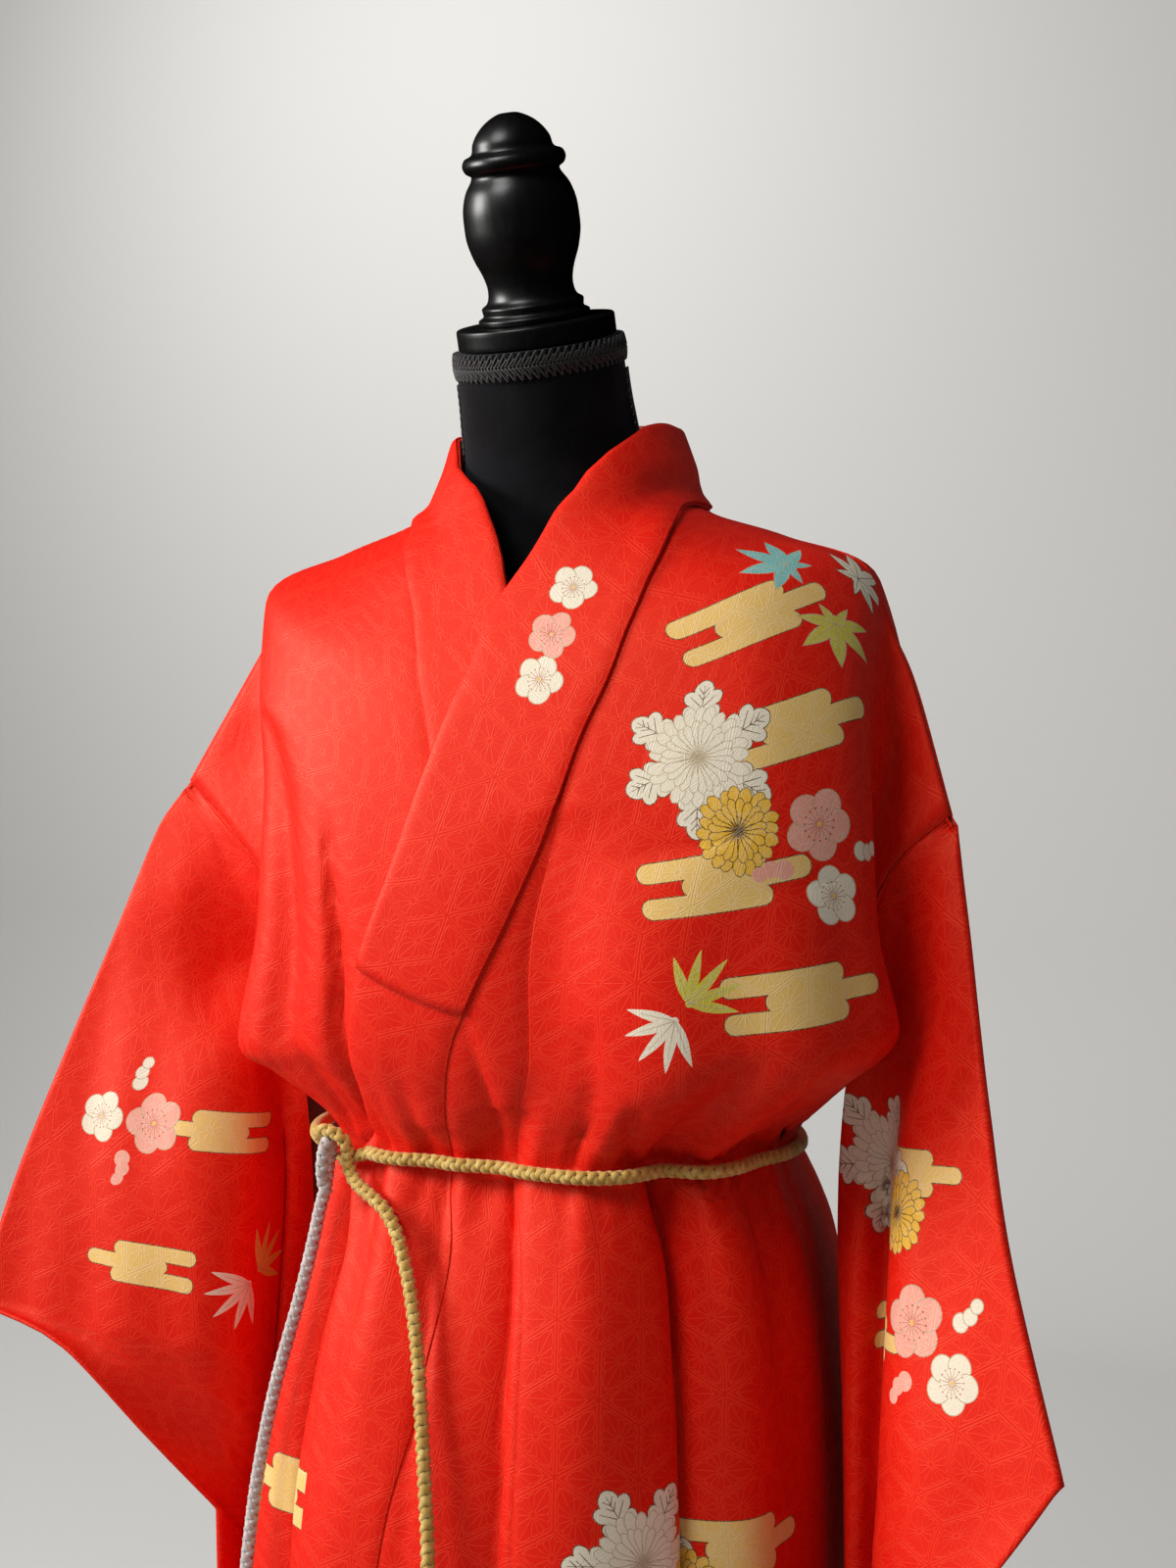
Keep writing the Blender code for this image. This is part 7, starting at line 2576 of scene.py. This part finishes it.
@dataclass(frozen=True)
class Studio:
    """Camera, lights, floor and wall."""

    lens: float = 47.2
    bearing: float = 25.0
    distance: float = 1.3
    height: float = 1.336
    aside: float = 0.0143
    shift_y: float = -50 / 1600
    lamps: tuple[Lamp, ...] = (
        Lamp("window", (-2.5, -1.35, 2.2), (0.0, 0.0, 1.25), 1.2, 97.0, (1.0, 0.99, 0.97)),
        Lamp("above", (-0.5, -1.5, 2.75), (0.04, -0.1, 1.42), 0.9, 5.0, (1.0, 0.99, 0.98), 80.0),
        Lamp("wall", (-2.4, 2.0, 3.5), (-2.2, 4.0, 1.9), 2.2, 44.0, (1.0, 0.99, 0.98)),
    )
    air: Colour = (0.90, 0.92, 0.95)
    air_power: float = 0.20

    def camera(self, axis: Array) -> None:
        """Puts the camera level, at a bearing off the garment's front.

        Args:
            axis: Middle of the form's base.
        """
        turn = math.radians(self.bearing)
        right = Vector((math.cos(turn), math.sin(turn), 0.0))
        ahead = Vector((-math.sin(turn), math.cos(turn), 0.0))
        camera = bpy.data.objects.new("camera", bpy.data.cameras.new("camera"))
        camera.data.lens, camera.data.sensor_width = self.lens, 36.0
        camera.data.shift_y = self.shift_y
        camera.location = (Vector((axis[0], axis[1], 0.0)) + self.aside * right
                           - self.distance * ahead + Vector((0.0, 0.0, self.height)))
        camera.rotation_euler = Matrix(((right.x, 0, -ahead.x), (right.y, 0, -ahead.y),
                                        (0, 1, 0))).to_euler()
        bpy.context.scene.collection.objects.link(camera)
        bpy.context.scene.camera = camera

    def light(self) -> None:
        """Makes the lamps, the sky's plain light, the floor and the wall."""
        scene = bpy.context.scene
        for lamp in self.lamps:
            data = bpy.data.lights.new(lamp.name, "AREA")
            data.size, data.energy, data.color = lamp.size, lamp.power, lamp.colour
            data.spread = math.radians(lamp.spread)
            light = bpy.data.objects.new(lamp.name, data)
            light.location = lamp.at
            aim = Vector(lamp.aim) - Vector(lamp.at)
            light.rotation_euler = aim.to_track_quat("-Z", "Y").to_euler()
            scene.collection.objects.link(light)
        world = bpy.data.worlds.new("air")
        scene.world = world
        world.use_nodes = True
        ground = world.node_tree.nodes["Background"]
        ground.inputs["Color"].default_value = (*self.air, 1.0)
        ground.inputs["Strength"].default_value = self.air_power
        world.cycles_visibility.glossy = False
        scene.view_settings.view_transform = "Standard"
        self.backdrop()

    @staticmethod
    def backdrop() -> None:
        """A pale floor that rises to a wall behind the object in a quarter circle."""
        turn = np.linspace(0, np.pi / 2, 24)
        radius, back = 0.8, 3.2
        y = np.concatenate([[-9.0], back + radius * np.sin(turn), [back + radius]])
        z = np.concatenate([[0.0], radius * (1 - np.cos(turn)), [7.0]])
        x = np.array([-12.0, 12.0])
        points = np.stack(np.broadcast_arrays(x[None, :], y[:, None], z[:, None]), -1)
        surface = Surface()
        surface.grid(points)
        mesh = surface.mesh("backdrop", np.array([0.0, 0.0, -0.0005]))
        net = Network("backdrop")
        net.finish((0.78, 0.77, 0.745), 0.9)
        mesh.materials.append(net.material)
        wall = bpy.data.objects.new("backdrop", mesh)
        wall.visible_glossy = False
        bpy.context.scene.collection.objects.link(wall)


# The whole

def write_size() -> None:
    """Brings the view layer up to date."""
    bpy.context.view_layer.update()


def garment() -> list[Cloth]:
    """Every cloth piece, with its flat cut."""
    body = dict(rests_on=("form_torso",))
    front_left = BodyPanel("front_left_silk", ("front_left",), (0.25, 1.50), **body, side=1,
                           past=LEFT_FRONT_SIDE, motifs=[*FRONT_DESIGN, *HEM_DESIGN])
    front_right = BodyPanel("front_right_silk", ("front_right",), (0.25, 1.50), **body, side=-1,
                            flip=True, past=RIGHT_FRONT_SIDE, motifs=OTHER_HEM_DESIGN)
    back_left = BodyPanel("back_left_silk", ("back_left",), (0.27, 1.50), **body, side=1,
                          back=True, flip=True, past=LEFT_BACK_SIDE,
                          motifs=[*BACK_DESIGN, *HEM_DESIGN])
    back_right = BodyPanel("back_right_silk", ("back_right",), (0.27, 1.50), **body, side=-1,
                           back=True, past=RIGHT_BACK_SIDE,
                           motifs=OTHER_HEM_DESIGN)
    left_sleeve = Sleeve("sleeve_left_silk", ("sleeve_left",), (0.25, 0.90), SLEEVE_CLOTH, "hung",
                         table=LEFT_SLEEVE, motifs=SLEEVE_DESIGN,
                         body=(front_left, back_left))
    right_sleeve = Sleeve("sleeve_right_silk", ("sleeve_right",), (0.25, 0.92), SLEEVE_CLOTH,
                          "hung", flip=True, table=RIGHT_SLEEVE, motifs=OTHER_SLEEVE_DESIGN,
                          body=(front_right, back_right))
    return [
        front_left, front_right, back_left, back_right,
        OverlapStrip("okumi_left_silk", ("okumi_left",), (0.105, 1.28), **body, side=1,
                     motifs=OVERLAP_DESIGN),
        OverlapStrip("okumi_right_silk", ("okumi_right",), (0.105, 1.28), **body, side=-1,
                     flip=True),
        Neckband("collar_silk", ("collar",), (0.075, 2.0), BAND, flip=True),
        Neckband("over_collar_silk", ("over_collar",), (0.078, 1.05), OVER,
                 rests_on=("collar_silk",), flip=True, lowest=LEVEL_OVER_COLLAR_END, out=BAND + 0.0004,
                 motifs=COLLAR_DESIGN),
        left_sleeve, right_sleeve,
        SleeveLining("sleeve_left_lining", ("sleeve_lining_left",), (0.10, 0.30), LINING_CLOTH,
                     "hung", ("sleeve_left_silk",), None, Slot.LINING, sleeve=left_sleeve),
        SleeveLining("sleeve_right_lining", ("sleeve_lining_right",), (0.10, 0.30), LINING_CLOTH,
                     "hung", ("sleeve_right_silk",), None, Slot.LINING, flip=True,
                     sleeve=right_sleeve),
    ]


def main() -> None:
    """Loads the frame and makes everything in order."""
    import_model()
    write_size()
    low, high = (np.array(corner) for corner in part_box("form_base"))
    shift = (low + high) / 2 * (1.0, 1.0, 0.0)
    studio = Studio()
    studio.camera(shift)
    shop = Workshop(shift, {slot: finish.make() for slot, finish in FINISHES.items()})
    CordBelt().build(shop)
    for cloth in garment():
        cloth.build(shop)
    DressForm().build(shop)
    studio.light()


if __name__ == "__main__":
    logging.basicConfig(level=logging.INFO, format="%(name)s: %(message)s")
    main()
    write_size()
